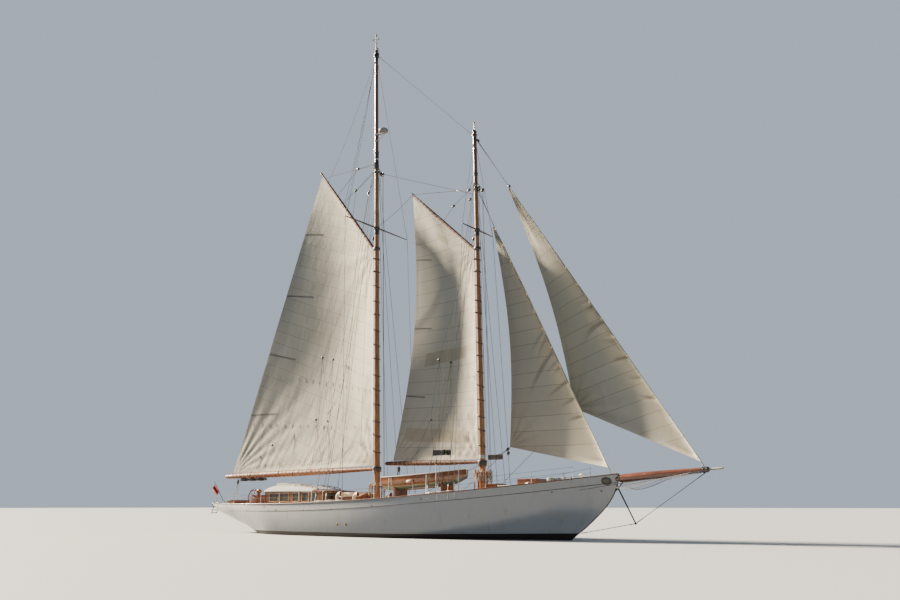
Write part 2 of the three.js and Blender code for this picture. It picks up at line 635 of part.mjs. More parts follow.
function houseBody() {
  const { aft, fore, half, wall } = HOUSE;
  const room = block([aft + wall, -half + wall, 700], [fore - wall, half - wall, 2800]);
  let walls = block([aft, -half, 800], [fore, half, 2600]).subtract(room);
  for (const [x0, x1] of HOUSE_WINDOWS) {
    walls = walls.subtract(block([x0, -half - 100, WINDOW_Z[0]], [x1, half + 100, WINDOW_Z[1]]));
  }
  const doorway = block([aft - 100, -DOOR.half, DOOR.sill], [aft + 100, DOOR.half, DOOR.top]);
  const frontGlass = [-1, 1].map((side) => block([fore - 100, side * 560 - 330, WINDOW_Z[0]],
    [fore + 100, side * 560 + 330, WINDOW_Z[1]]));
  return walls.subtract(doorway).subtract(join(...frontGlass)).subtract(roofLayer(-GAP, 3000))
    .subtract(deckCutter);
}
add('deckhouse', houseBody(), FINISH.varnish);

function roofBody() {
  const hole = block([SLIDE.aft + 60, -SLIDE.half + 70, 2200], [SLIDE.fore - 60, SLIDE.half - 70, 2600]);
  const rails = [-1, 1].map((side) => block(
    [SLIDE.aft, side * (SLIDE.half - 30) - 22, 2370],
    [SLIDE.fore + 860, side * (SLIDE.half - 30) + 22, SLIDE.railTop]));
  return join(roofLayer(0), ...rails).subtract(hole);
}
add('deckhouse_roof', roofBody(), FINISH.white);
add('companion_slide', block([SLIDE.aft, -SLIDE.half, SLIDE.railTop + GAP],
  [SLIDE.fore, SLIDE.half, SLIDE.railTop + SLIDE.t]), FINISH.varnish);
add('companion_door', block([HOUSE.aft - DOOR.t - GAP, -DOOR.half - 40, DOOR.sill - 30],
  [HOUSE.aft - GAP, DOOR.half + 40, DOOR.top + 30]), FINISH.varnish);

// Low skylight between the deckhouse and the mainmast, with two leaves
const SKYLIGHT = { aft: -3560, fore: -1780, half: 600, wall: 45, curb: 1790, ridge: 2010 };

function skylightBody() {
  const { aft, fore, half, wall, curb, ridge } = SKYLIGHT;
  const outer = crossPlate([[-half, 800], [half, 800], [half, curb], [0, ridge], [-half, curb]],
    aft, fore);
  const room = block([aft + wall, -half + wall, 700], [fore - wall, half - wall, 2600]);
  const beam = block([aft + 10, -28, ridge - 110], [fore - 10, 28, ridge - 14]);
  return outer.subtract(room).add(beam).subtract(deckCutter);
}
add('skylight', skylightBody(), FINISH.varnish);
const LEAF_T = 38;
const LEAF_INSET = 32;            // from the ridge, so that both leaves open together
const leafSlope = Math.atan2(SKYLIGHT.ridge - SKYLIGHT.curb, SKYLIGHT.half);
for (const [side, word] of [[1, 'port'], [-1, 'starboard']]) {
  const width = SKYLIGHT.half / Math.cos(leafSlope);
  const leaf = new THREE.BoxGeometry(SKYLIGHT.fore - SKYLIGHT.aft + 60, width, LEAF_T);
  leaf.translate(0, side * (width / 2 + LEAF_INSET), LEAF_T / 2 + GAP).rotateX(-side * leafSlope);
  leaf.translate((SKYLIGHT.fore + SKYLIGHT.aft) / 2, 0, SKYLIGHT.ridge);
  add(`skylight_leaf_${word}`, solid(leaf), FINISH.varnish);
}

// Hatches and lockers. aft, fore: along the deck. half: half width. top: height of the
// curb. lid: its thickness, or none.
const HATCHES = [
  { name: 'mast_hatch', aft: 5160, fore: 5860, half: 420, top: 2270, lid: 40, paint: 'varnish' },
  { name: 'fore_hatch', aft: 6960, fore: 7900, half: 450, top: 2440, lid: 45, paint: 'varnish' },
];
for (const { name, aft, fore, half, top, lid, paint } of HATCHES) {
  const wall = 40;
  const curb = block([aft, -half, 1500], [fore, half, top])
    .subtract(block([aft + wall, -half + wall, 1400], [fore - wall, half - wall, top + 100]));
  add(name, curb.subtract(deckCutter), FINISH[paint]);
  add(`${name}_lid`, block([aft - 25, -half - 25, top + GAP], [fore + 25, half + 25, top + lid]),
    FINISH[paint]);
}
add('deck_locker', block([5980, -480, 1500], [6780, 480, 2240]).subtract(deckCutter), FINISH.white);

// Windlass
function windlassBody() {
  const x = 8500;
  const z = 2420;
  const bed = block([x - 220, -260, 1700], [x + 220, 260, 2300]);
  const cheeks = [-1, 1].map((side) => block([x - 110, side * 215 - 30, 2290],
    [x + 110, side * 215 + 30, z + 90]));
  const barrel = turned(v3(x, -470, z), v3(x, 470, z),
    [[0, 105], [40, 105], [60, 70], [200, 80], [470, 62], [740, 80], [880, 70], [900, 105],
      [940, 105]], 12);
  return join(bed, ...cheeks, barrel).subtract(deckCutter);
}
add('windlass', windlassBody(), FINISH.steel);

// Tender on its chocks, to starboard between the masts
const TENDER = { aft: 700, fore: 5150, y: -1560, keelZ: 2010, rise: 0.062, half: 640, depth: 560 };

function tenderRing(share, width, depth, trim, inset) {
  const x = TENDER.aft + inset + (TENDER.fore - TENDER.aft - 2 * inset) * share;
  const z = TENDER.keelZ + (x - TENDER.aft) * TENDER.rise;
  const w = TENDER.half * width - inset;
  const base = z + TENDER.depth * (1 - depth) + trim;
  const top = z + TENDER.depth + 60 * (2 * share - 1) ** 2 + (trim ? 80 : 0);
  const side = (s) => [v3(x, TENDER.y + s * w * 0.12, base), v3(x, TENDER.y + s * w * 0.62, base + 60),
    v3(x, TENDER.y + s * w * 0.93, base + (top - base) * 0.5), v3(x, TENDER.y + s * w, top)];
  return [...side(1), ...side(-1).reverse()];
}

// share along the boat, width and depth as shares of the greatest
const TENDER_FORM = [[0, 0.74, 0.82], [0.2, 0.92, 0.97], [0.45, 1, 1], [0.7, 0.86, 0.97],
  [0.88, 0.52, 0.84], [1, 0.1, 0.5]];

function tenderBody() {
  const outer = loft(TENDER_FORM.map(([s, w, d]) => tenderRing(s, w, d, 0, 0)));
  const inner = loft(TENDER_FORM.slice(0, 5).map(([s, w, d]) => tenderRing(s, w, d, 35, 30)));
  const thwarts = [0.25, 0.5, 0.75].map((share) => {
    const x = TENDER.aft + (TENDER.fore - TENDER.aft) * share;
    const z = TENDER.keelZ + (x - TENDER.aft) * TENDER.rise + TENDER.depth - 150;
    return block([x - 110, TENDER.y - TENDER.half, z], [x + 110, TENDER.y + TENDER.half, z + 28])
      .intersect(outer);
  });
  return join(outer.subtract(inner), ...thwarts);
}
const tender = tenderBody();
add('tender', tender, FINISH.varnish);

function chockBody() {
  const frames = [1500, 4100].map((x) => block([x - 45, TENDER.y - 430, 1300],
    [x + 45, TENDER.y + 430, TENDER.keelZ + 300]));
  const runners = [-1, 1].map((side) => block([1300, TENDER.y + side * 300 - 35, 1300],
    [4300, TENDER.y + side * 300 + 35, 1760]));
  return join(...frames, ...runners).subtract(deckCutter)
    .subtract(loft(TENDER_FORM.map(([s, w, d]) => tenderRing(s, w, d, 0, 0))).translate([0, 0, -GAP]));
}
add('tender_chocks', chockBody(), FINISH.white);

// Stanchions and lifelines along each rail
const STANCHIONS = [-12000, -9600, -7900, -5400, -3300, 800, 2900, 6300, 8200, 9800];
const LIFELINE_H = [250, 450];

function lifelineBody(side) {
  const foot = (x) => v3(x, side * (halfAt(x) - 90), sheer(x) - 10);
  const posts = STANCHIONS.map((x) => rod(foot(x), foot(x).add(v3(0, 0, 500)), 15, 13, 6));
  const lines = LIFELINE_H.flatMap((h) => STANCHIONS.slice(1).map((x, i) =>
    rod(foot(STANCHIONS[i]).add(v3(0, 0, h)), foot(x).add(v3(0, 0, h)), 6, 6, 4)));
  return join(...posts, ...lines).subtract(capCutter);
}
add('lifelines_port', lifelineBody(1), FINISH.steel);
add('lifelines_starboard', lifelineBody(-1), FINISH.steel);

// Steering gear and helm seat
const HELM = { x: -9960, z: 1830, r: 390 };

function wheelBody() {
  const { x, z, r } = HELM;
  const felloe = solid(new THREE.TorusGeometry(r, 24, 5, 20).rotateY(Math.PI / 2));
  const spokes = Array.from({ length: 4 }, (_, i) => {
    const a = (i * Math.PI) / 4;
    const tip = v3(0, Math.cos(a), Math.sin(a)).multiplyScalar(r + 115);
    return rod(tip, tip.clone().negate(), 14, 14, 4);
  });
  const hub = rod(v3(-50, 0, 0), v3(90, 0, 0), 62, 40, 12);
  return join(felloe, ...spokes, hub).translate([x, 0, z]);
}
add('steering_wheel', wheelBody(), FINISH.varnish);

function steeringBox() {
  const { x, z } = HELM;
  const face = x + 90 + GAP;
  const box = block([face, -290, 1000], [face + 520, 290, z + 110]);
  const binnacle = turned(v3(face + 280, 0, z + 100), v3(face + 280, 0, z + 500),
    [[0, 110], [120, 95], [170, 130], [260, 125], [330, 70]], 12);
  return join(box, binnacle).subtract(deckCutter);
}
add('steering_box', steeringBox(), FINISH.varnish);
add('helm_seat', block([-11500, -620, 1000], [-10900, 620, 1690]).subtract(deckCutter), FINISH.varnish);

// Light boards, one outside each set of fore shrouds
const LIGHT_BOARD = { z: 3600, half: 450, tall: 120, t: 22, shelf: 150 };

function lightBoard(side) {
  const top = mastAt(FORE, FORE.houndsZ + 300);
  const crossing = CHAINPLATES.fore.slice(0, 3).map((x) => {
    const foot = shroudRoot(x, side);
    return foot.lerp(top, (LIGHT_BOARD.z - foot.z) / (top.z - foot.z));
  });
  const [aft, , fore] = crossing;
  const ahead = fore.clone().sub(aft).normalize();
  const up = top.clone().sub(aft).normalize();
  const out = up.cross(ahead).normalize().multiplyScalar(side);
  const lift = Math.max(...crossing.map((p) => p.clone().sub(aft).dot(out))) + WIRE_R + GAP;
  const { half, tall, t, shelf } = LIGHT_BOARD;
  const board = join(block([-half, 0, -tall], [half, t, tall]),
    block([half / 3, 0, -tall], [half / 3 + t, shelf, tall]));
  const middle = aft.clone().lerp(fore, 0.5).addScaledVector(out, lift);
  const place = new THREE.Matrix4().makeBasis(ahead, out, ahead.clone().cross(out));
  return solid(geometryOf(board).applyMatrix4(place.setPosition(middle)));
}
add('light_board_port', lightBoard(1), FINISH.black);
add('light_board_starboard', lightBoard(-1), FINISH.black);

// Radar dome on a bracket ahead of the mainmast
function domeBody() {
  const p = mastAt(MAIN, 20800);
  const r = mastR(MAIN, 20800);
  const dome = turned(v3(p.x + 480, 0, 20800), v3(p.x + 480, 0, 21100),
    [[0, 200], [40, 250], [150, 255], [220, 200], [245, 90]], 12);
  const arm = block([p.x, -60, 20720], [p.x + 560, 60, 20805]);
  return join(dome, arm).subtract(mastCutter(MAIN));
}
add('radar_dome', domeBody(), FINISH.dome);

// Ensign on its staff
const STAFF = { foot: v3(-12060, 0, 1150), head: v3(-13330, 0, 2690) };
const staff = (extra) => rod(STAFF.foot, STAFF.head, 22 + extra, 16 + extra, 10);
add('ensign_staff', staff(0).subtract(deckCutter), FINISH.varnish);

function ensignBody() {
  const up = STAFF.head.clone().sub(STAFF.foot).normalize();
  const at = (u, v) => {
    const edge = STAFF.head.clone().addScaledVector(up, -60 - 620 * u);
    const fall = v3(-150 * v, 60 * Math.sin(7 * v), -420 * v * (1 - 0.3 * u));
    return edge.add(fall).add(v3(-9, 0, -6));
  };
  const ring = (u) => {
    const row = Array.from({ length: 9 }, (_, j) => at(u, j / 8));
    const thick = v3(0, 5, 0);
    return [...row.map((p) => p.clone().add(thick)), ...row.reverse().map((p) => p.clone().sub(thick))];
  };
  return loft([0, 0.33, 0.66, 1].map(ring)).subtract(staff(GAP));
}
add('ensign', ensignBody(), FINISH.red);

// Boarding ladder folded over the stern rail
function ladderBody() {
  const x = -12920;
  const top = sheer(-12850);
  const rails = [-50, -390].map((y) => block([x - 30, y - 18, top - 560], [x + 10, y + 18, top + 40]));
  const hooks = [-50, -390].map((y) => block([x - 30, y - 18, top - 12], [x + 200, y + 18, top + 41]));
  const steps = [0, 150, 300, 450].map((drop) => block([x - 60, -390, top - 540 + drop],
    [x + 5, -50, top - 505 + drop]));
  return join(...rails, ...hooks, ...steps);
}
const ladderSeat = capCutter.add(capRail.translate([-GAP, 0, 0]));
add('stern_ladder', ladderBody().subtract(ladderSeat), FINISH.black);

// Furled awning lashed under the main boom
const AWNING = { from: 8300, to: 10500, drop: [242, 213] };

function awningBody() {
  const { from, to, drop } = AWNING;
  const [high, low] = MAIN_SAIL.boomZ;
  const at = (r, below) => swung(MAIN, r, high + (low - high) * (r / MAIN_SAIL.boomR) - below,
    MAIN_SAIL.swing);
  const roll = turned(at(from, drop[0]), at(to, drop[1]), [[0, 50], [120, 82], [800, 88], [1500, 80],
    [2080, 82], [2200, 50]], 12);
  return roll.subtract(boomSpar(MAIN, MAIN_SAIL, GAP));
}
add('awning_roll', awningBody(), FINISH.navy);

export default schooner;
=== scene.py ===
# %% [markdown]
# A two-masted gaff schooner of 28 metres, afloat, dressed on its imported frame. The frame
# brings the solids and the joints. Each cell below gives one part of the vessel its true
# surface and finish. Lengths are metres, x runs to the bow, y to port, and z is up from
# the waterline, so the floor at z = 0 is the water's surface.

import bmesh
import bpy
import numpy as np
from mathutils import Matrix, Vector


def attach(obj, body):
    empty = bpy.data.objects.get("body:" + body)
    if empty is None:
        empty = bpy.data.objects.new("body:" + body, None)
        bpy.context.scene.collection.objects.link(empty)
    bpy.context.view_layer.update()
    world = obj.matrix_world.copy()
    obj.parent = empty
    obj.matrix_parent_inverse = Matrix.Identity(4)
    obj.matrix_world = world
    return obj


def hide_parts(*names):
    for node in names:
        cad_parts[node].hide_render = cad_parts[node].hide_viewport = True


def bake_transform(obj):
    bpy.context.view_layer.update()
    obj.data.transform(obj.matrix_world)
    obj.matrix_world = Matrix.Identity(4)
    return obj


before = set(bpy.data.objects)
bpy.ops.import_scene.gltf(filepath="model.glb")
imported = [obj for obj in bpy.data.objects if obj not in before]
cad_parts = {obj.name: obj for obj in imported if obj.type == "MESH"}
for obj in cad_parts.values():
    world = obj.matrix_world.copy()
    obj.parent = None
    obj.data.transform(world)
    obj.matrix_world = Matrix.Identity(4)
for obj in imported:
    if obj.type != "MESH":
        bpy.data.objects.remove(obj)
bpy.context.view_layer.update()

# %% [markdown]
# The picture was taken from the water, low on the starboard bow, looking up a little.
# A lens of 34 mm on a 36 mm sensor gives the same frame. The camera's turn is worked out
# from the direction that it looks in, with its top kept up.

# %% Camera
EYE = Vector((26.342, -32.128, 1.363))
LOOK = Vector((-0.56957, 0.78761, 0.23506))
camera = bpy.data.objects.new("camera", bpy.data.cameras.new("camera"))
camera.data.lens = 34.09
camera.data.sensor_width = 36
camera.data.clip_end = 2000
camera.location = EYE
camera.rotation_euler = LOOK.to_track_quat("-Z", "Y").to_euler()
bpy.context.scene.collection.objects.link(camera)
bpy.context.scene.camera = camera
print("camera looks up", round(float(np.degrees(np.arcsin(LOOK.z))), 1), "degrees")

# %% [markdown]
# Every piece is made from arrays. A form is a set of points, the faces that join them and
# a pair of surface coordinates for each point. Forms of the same finish are put together
# into one mesh. The faces of a grid are the same four corners shifted along rows and
# columns, so they are worked out at once.

# %% Forms
def unit(v):
    """Each vector divided by its own length."""
    v = np.asarray(v, float)
    return v / np.linalg.norm(v, axis=-1, keepdims=True)


def spots(*columns):
    """Points from their coordinates, each a number or an array, spread to one shape."""
    return np.stack(np.broadcast_arrays(*columns), -1)


def pair(x, y, z):
    """The same place on both sides: at y and then at -y."""
    return np.array([[x, y, z], [x, -y, z]], float)


def grid_faces(rows, columns, ring=False, loop=False):
    """Corners (i, j), (i, j+1), (i+1, j+1), (i+1, j) of each cell. ring joins the last
    column to the first, loop the last row to the first."""
    i, j = np.meshgrid(np.arange(rows - (not loop)), np.arange(columns - (not ring)), indexing="ij")
    along, across = (i + 1) % rows, (j + 1) % columns
    corners = [i * columns + j, i * columns + across, along * columns + across, along * columns + j]
    return np.stack(corners, -1).reshape(-1, 4)


class Form:
    """Points, faces and surface coordinates."""

    def __init__(self, points, faces, uv=None):
        self.points = np.asarray(points, float).reshape(-1, 3)
        self.faces = [np.asarray(f, int).tolist() for f in faces]
        self.uv = np.zeros((len(self.points), 2))
        if uv is not None:
            self.uv = np.asarray(uv, float).reshape(-1, 2)


def join(*forms):
    """Several forms as one."""
    shifts = np.cumsum([0] + [len(f.points) for f in forms])
    made = Form(np.vstack([f.points for f in forms]), [], np.vstack([f.uv for f in forms]))
    made.faces = [[[c + int(s) for c in face] for face in block]
                  for f, s in zip(forms, shifts) for block in f.faces]
    return made


def grid(points, uv=None, ring=False, loop=False):
    """A surface through points[i, j]. Its coordinates are the run along the first row and
    down the first column, in metres, where none are given."""
    points = np.asarray(points, float)
    rows, columns = points.shape[:2]
    if uv is None:
        run = np.linalg.norm(np.diff(points, axis=1), axis=2).max(0)
        fall = np.linalg.norm(np.diff(points, axis=0), axis=2).max(1)
        across, down = np.append(0, run.cumsum()), np.append(0, fall.cumsum())
        uv = np.stack(np.meshgrid(down, across, indexing="ij"), -1)
    return Form(points, [grid_faces(rows, columns, ring, loop)], uv)


def closed(points, loop=False, uv=None):
    """A skin whose rows are rings of corners, with its first and last ring filled."""
    form = grid(points, uv, ring=True, loop=loop)
    if not loop:
        rows, columns = np.shape(points)[:2]
        first = list(range(columns))[::-1]
        form.faces.append([first, list(range((rows - 1) * columns, rows * columns))])
    return form


def plate(points, lift):
    """A surface with a thickness: the grid, the same grid moved by lift, and the rim."""
    points = np.asarray(points, float)
    ring = np.concatenate([points, (points + lift)[:, ::-1]], axis=1)
    return closed(ring)


SIDES = {"port": 1, "starboard": -1}
SLOT_OF = {finish: slot for slot, finishes in {
    "white_topsides": "cove_line", "white_paint": "cream_paint fender_vinyl vent_inside",
    "varnished_spar": "varnished_topmast varnished_boom varnished_gaff varnished_bowsprit hoop_ash",
    "varnished_joinery": "stained_arm varnished_uprights house_varnish rail_varnish light_varnish "
                         "tender_varnish window_glass",
    "cream_canvas": "rope tarred_rope white_rope batten_pocket mended_cloth", "wire": "stainless",
    "navy_canvas": "dark_canvas", "bronze": "green_bottom lamp_glass_port lamp_glass_starboard",
}.items() for finish in finishes.split()}


def add(name, form, finish, body="vessel", stands_for=None, smooth=40, marks=None):
    """Makes the mesh of a form, gives it its finish and lets it ride on a body. smooth is the
    angle in degrees above which an edge stays sharp, and marks are numbers on its points."""
    mesh = bpy.data.meshes.new(name)
    mesh.from_pydata(form.points.tolist(), [], [face for block in form.faces for face in block])
    layer = mesh.uv_layers.new(name="surface")
    corner = np.empty(len(mesh.loops), int)
    mesh.loops.foreach_get("vertex_index", corner)
    layer.data.foreach_set("uv", form.uv[corner].astype(np.float32).ravel())
    for word, values in (marks or {}).items():
        mesh.attributes.new(word, "FLOAT", "POINT").data.foreach_set("value", values.ravel())
    mesh.validate()
    shell = bmesh.new()
    shell.from_mesh(mesh)
    bmesh.ops.recalc_face_normals(shell, faces=shell.faces)
    shell.to_mesh(mesh)
    shell.free()
    mesh.shade_smooth()
    mesh.set_sharp_from_angle(angle=np.radians(smooth))
    piece = bpy.data.objects.new(name, mesh)
    bpy.context.scene.collection.objects.link(piece)
    mesh.materials.append(finish)
    if body:
        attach(piece, body)
    look = finish.name.split(".")[0]
    if stands_for:
        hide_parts(stands_for)
    print(f"{name}: {len(mesh.polygons)} faces")
    return piece


# %% [markdown]
# Most of a rig is round: spars, wires, ropes, pins and hoops. A turned form carries a
# profile round an axis. All the copies of one fitting are worked out in one go, with an
# axis for each copy. A line that bends is a tube along its path, and its rings stand
# square to the path.

# %% Round forms
def frames(ways):
    """Two directions square to each way and to each other."""
    ways = unit(ways)
    steep = np.abs(ways[..., 2:3]) > 0.9
    level = unit(np.cross(ways, np.where(steep, [1.0, 0, 0], [0, 0, 1.0])))
    return level, np.cross(ways, level)


def turned(starts, ends, profile, sides=12, metres=False):
    """Round bodies from starts to ends. A profile row is (share of the axis, radius), or
    metres from the start with metres=True. A point is the axis at that share, plus the
    radius times cos a of one square direction and sin a of the other."""
    starts, ends = np.atleast_2d(starts).astype(float), np.atleast_2d(ends).astype(float)
    starts, ends = np.broadcast_arrays(starts, ends)
    count, rows = len(starts), len(profile)
    share, radius = np.asarray(profile, float).T
    run = ends - starts
    length = np.linalg.norm(run, axis=1)
    share = share[None] / (length[:, None] if metres else np.ones((count, 1)))
    level, square = frames(run)
    a = np.linspace(0, 2 * np.pi, sides, endpoint=False)
    ring = np.cos(a)[None, :, None] * level[:, None] + np.sin(a)[None, :, None] * square[:, None]
    axis = starts[:, None] + run[:, None] * share[..., None]
    points = axis[:, :, None] + radius[None, :, None, None] * ring[:, None]
    uv = spots((a * radius.max())[None, None], (share * length[:, None])[..., None])
    faces = grid_faces(rows, sides, ring=True)[:, ::-1]
    shift = (np.arange(count) * rows * sides)[:, None, None]
    first = np.arange(sides) + shift[:, 0]
    last = np.arange(sides)[::-1] + shift[:, 0] + (rows - 1) * sides
    return Form(points, [(faces + shift).reshape(-1, 4), first, last], uv)


def pin(end, body, ease=0.1):
    """A profile for a round body: radius end at both ends, body from ease inwards."""
    return [(0, end), (ease, body), (1 - ease, body), (1, end)]


def bored(low, high, profile, sides=36):
    """A turned ring with an open bore: its last row of points joins its first."""
    form = turned(low, high, profile, sides)
    form.faces = [grid_faces(len(profile), sides, ring=True, loop=True).tolist()]
    return form


def rods(starts, ends, radius, thin=None, sides=8):
    """Straight bars, from one radius to the other."""
    return turned(starts, ends, [(0, radius), (1, radius if thin is None else thin)], sides)


def tube(path, radius, sides=8):
    """A round line along a path, which may end where it starts. Its radius may change
    from point to point. Its rings are set out from the direction that the path turns
    least towards, so they don't twist."""
    path = np.asarray(path, float)
    loop = bool(np.allclose(path[0], path[-1]))
    path = path[:-1] if loop else path
    ways = unit(np.roll(path, -1, 0) - np.roll(path, 1, 0) if loop else np.gradient(path, axis=0))
    level = unit(np.cross(ways, np.linalg.svd(ways)[2][-1]))
    square = np.cross(ways, level)
    a = np.linspace(0, 2 * np.pi, sides, endpoint=False)
    ring = np.cos(a)[None, :, None] * level[:, None] + np.sin(a)[None, :, None] * square[:, None]
    points = path[:, None] + np.reshape(np.broadcast_to(radius, len(path)), (-1, 1, 1)) * ring
    run = np.append(0, np.linalg.norm(np.diff(path, axis=0), axis=1).cumsum())
    uv = np.stack(np.meshgrid(run, a * np.max(radius), indexing="ij")[::-1], -1)
    return closed(points, loop, uv)


def hoops(centres, ways, radius, thick, around=24, sides=6, stretch=1.0):
    """Rings square to ways. A point is the centre, plus the ring's own circle, plus the
    small circle of its thickness."""
    centres, ways = np.broadcast_arrays(np.atleast_2d(centres), np.atleast_2d(ways))
    radius = np.broadcast_to(radius, len(centres))[:, None, None, None]
    level, square = frames(ways.astype(float))
    a = np.linspace(0, 2 * np.pi, around, endpoint=False)[None, :, None]
    b = np.linspace(0, 2 * np.pi, sides, endpoint=False)[None, None, :, None]
    out = (np.cos(a) * level[:, None] + np.sin(a) * square[:, None])[:, :, None]
    place = centres[:, None, None] + (radius + thick * np.cos(b)) * out
    place = place + thick * stretch * np.sin(b) * unit(ways)[:, None, None]
    uv = spots(b[..., 0] * thick, a * radius[..., 0])
    uv = np.broadcast_to(uv, place.shape[:3] + (2,))
    faces = grid_faces(around, sides, ring=True, loop=True)[:, ::-1]
    shift = (np.arange(len(centres)) * around * sides)[:, None, None]
    return Form(place, [(faces + shift).reshape(-1, 4)], uv)


# %% [markdown]
# Blocks, cleats, posts and boards are boxes whose edges are eased, because no edge on a
# boat is left sharp. One box has 24 corners, three at each corner of the plain box. Its
# 26 faces are six flats, twelve eased edges and eight small corners.

# %% Eased boxes
def box_pattern():
    """The 24 corners as signs and eased axes, and the faces that join them."""
    signs = np.array([[i, j, k] for i in (-1, 1) for j in (-1, 1) for k in (-1, 1)], float)
    corners = np.repeat(signs, 3, axis=0)
    eased = np.tile(1 - np.eye(3), (8, 1))
    number = {(tuple(s), axis): 3 * i + axis for i, s in enumerate(signs) for axis in range(3)}
    faces = []
    for axis in range(3):
        u, v = (axis + 1) % 3, (axis + 2) % 3
        for side in (-1, 1):
            flat = []
            for p, q in ((-1, -1), (1, -1), (1, 1), (-1, 1)):
                s = [0, 0, 0]
                s[axis], s[u], s[v] = side, p, q
                flat.append(number[tuple(map(float, s)), axis])
            faces.append(flat if side > 0 else flat[::-1])
        for p in (-1, 1):
            for q in (-1, 1):
                low, high = [0, 0, 0], [0, 0, 0]
                low[axis], low[u], low[v] = -1, p, q
                high[axis], high[u], high[v] = 1, p, q
                low, high = tuple(map(float, low)), tuple(map(float, high))
                edge = [number[low, u], number[high, u], number[high, v], number[low, v]]
                faces.append(edge if p * q < 0 else edge[::-1])
    for s in signs:
        corner = [number[tuple(s), axis] for axis in range(3)]
        faces.append(corner if s.prod() > 0 else corner[::-1])
    return corners, eased, faces


BOX = box_pattern()


def boxes(centres, sizes, ahead=(1, 0, 0), up=(0, 0, 1), ease=0.006):
    """Boxes of sizes (length along ahead, breadth, height) round centres. Each corner
    moves in by ease along the two axes that its face doesn't have."""
    centres = np.atleast_2d(centres).astype(float)
    count = len(centres)
    half = np.broadcast_to(np.asarray(sizes, float) / 2, (count, 3))
    ahead = unit(np.broadcast_to(np.asarray(ahead, float), (count, 3)))
    side = unit(np.cross(np.broadcast_to(np.asarray(up, float), (count, 3)), ahead))
    axes = np.stack([ahead, side, np.cross(ahead, side)], 1)
    signs, eased, faces = BOX
    local = signs[None] * (half[:, None] - eased[None] * ease)
    points = centres[:, None] + np.einsum("kci,kij->kcj", local, axes)
    uv = np.stack([local[..., 0] + local[..., 1], local[..., 2] + local[..., 1]], -1)
    shift = (np.arange(count) * 24)[:, None]
    return Form(points, [np.array(face)[None] + shift for face in faces], uv)


def slab(low, high, crown=0.0, ease=0.012, across=9):
    """A board whose top falls towards both sides by crown times the square of y, with
    its upper edges rounded: each falls by a quarter circle of radius ease."""
    low, high = np.array(low, float), np.array(high, float)
    near = ease * (1 - np.cos(np.linspace(0, np.pi / 2, 5)))
    line = lambda a, b: np.concatenate([a + near, np.linspace(a + ease, b - ease, across)[1:-1],
                                        (b - near)[::-1]])
    x, y = np.meshgrid(line(low[0], high[0]), line(low[1], high[1]), indexing="ij")
    gap = lambda p, a, b: np.maximum(ease - np.minimum(p - a, b - p), 0)
    drop = sum(ease - np.sqrt(ease ** 2 - gap(p, a, b) ** 2)
               for p, a, b in ((x, low[0], high[0]), (y, low[1], high[1])))
    share = (2 * y - low[1] - high[1]) / (high[1] - low[1])
    top = spots(x, y, high[2] - crown * share ** 2 - np.minimum(drop, ease))
    under = spots(x, y, low[2])
    return closed(np.concatenate([top, under[:, ::-1]], 1))


# %% [markdown]
# Shader maths reads better as a formula than as a row of nodes. A Value wraps one output
# socket, and its operators add the Math nodes. A Finish holds one material. Its node
# method adds any other node, sets it up first, and then fills or links its sockets.

# %% Shader helpers
class Value:
    """A number that changes over a surface."""

    def __init__(self, finish, socket):
        self.finish, self.socket = finish, socket

    def maths(self, operation, *others):
        made = self.finish.node("ShaderNodeMath", {"operation": operation},
                                **{str(i): v for i, v in enumerate([self, *others])})
        return made["Value"]

    def __add__(self, other):
        return self.maths("ADD", other)

    def __sub__(self, other):
        return self.maths("SUBTRACT", other)

    def __rsub__(self, other):
        return Value(self.finish, self.finish.number(other)).maths("SUBTRACT", self)

    def __mul__(self, other):
        return self.maths("MULTIPLY", other)

    def __truediv__(self, other):
        return self.maths("DIVIDE", other)

    __radd__, __rmul__ = __add__, __mul__

    def above(self, edge, soft=0.0):
        """1 where the value is above edge, 0 below, over a soft step."""
        ramp = (self - (edge - soft / 2)) / max(soft, 1e-4)
        return ramp.maths("MAXIMUM", 0.0).maths("MINIMUM", 1.0)

    def near(self, centre, reach):
        """1 at centre, falling to 0 at reach away."""
        return (1.0 - (self - centre).maths("ABSOLUTE") / reach).maths("MAXIMUM", 0.0)

    def part(self, pitch):
        """The share of the way through the current step of pitch, 0 to 1."""
        return (self / pitch).maths("FRACT")

    def step(self, pitch):
        """The number of the current step of pitch."""
        return (self / pitch).maths("FLOOR")


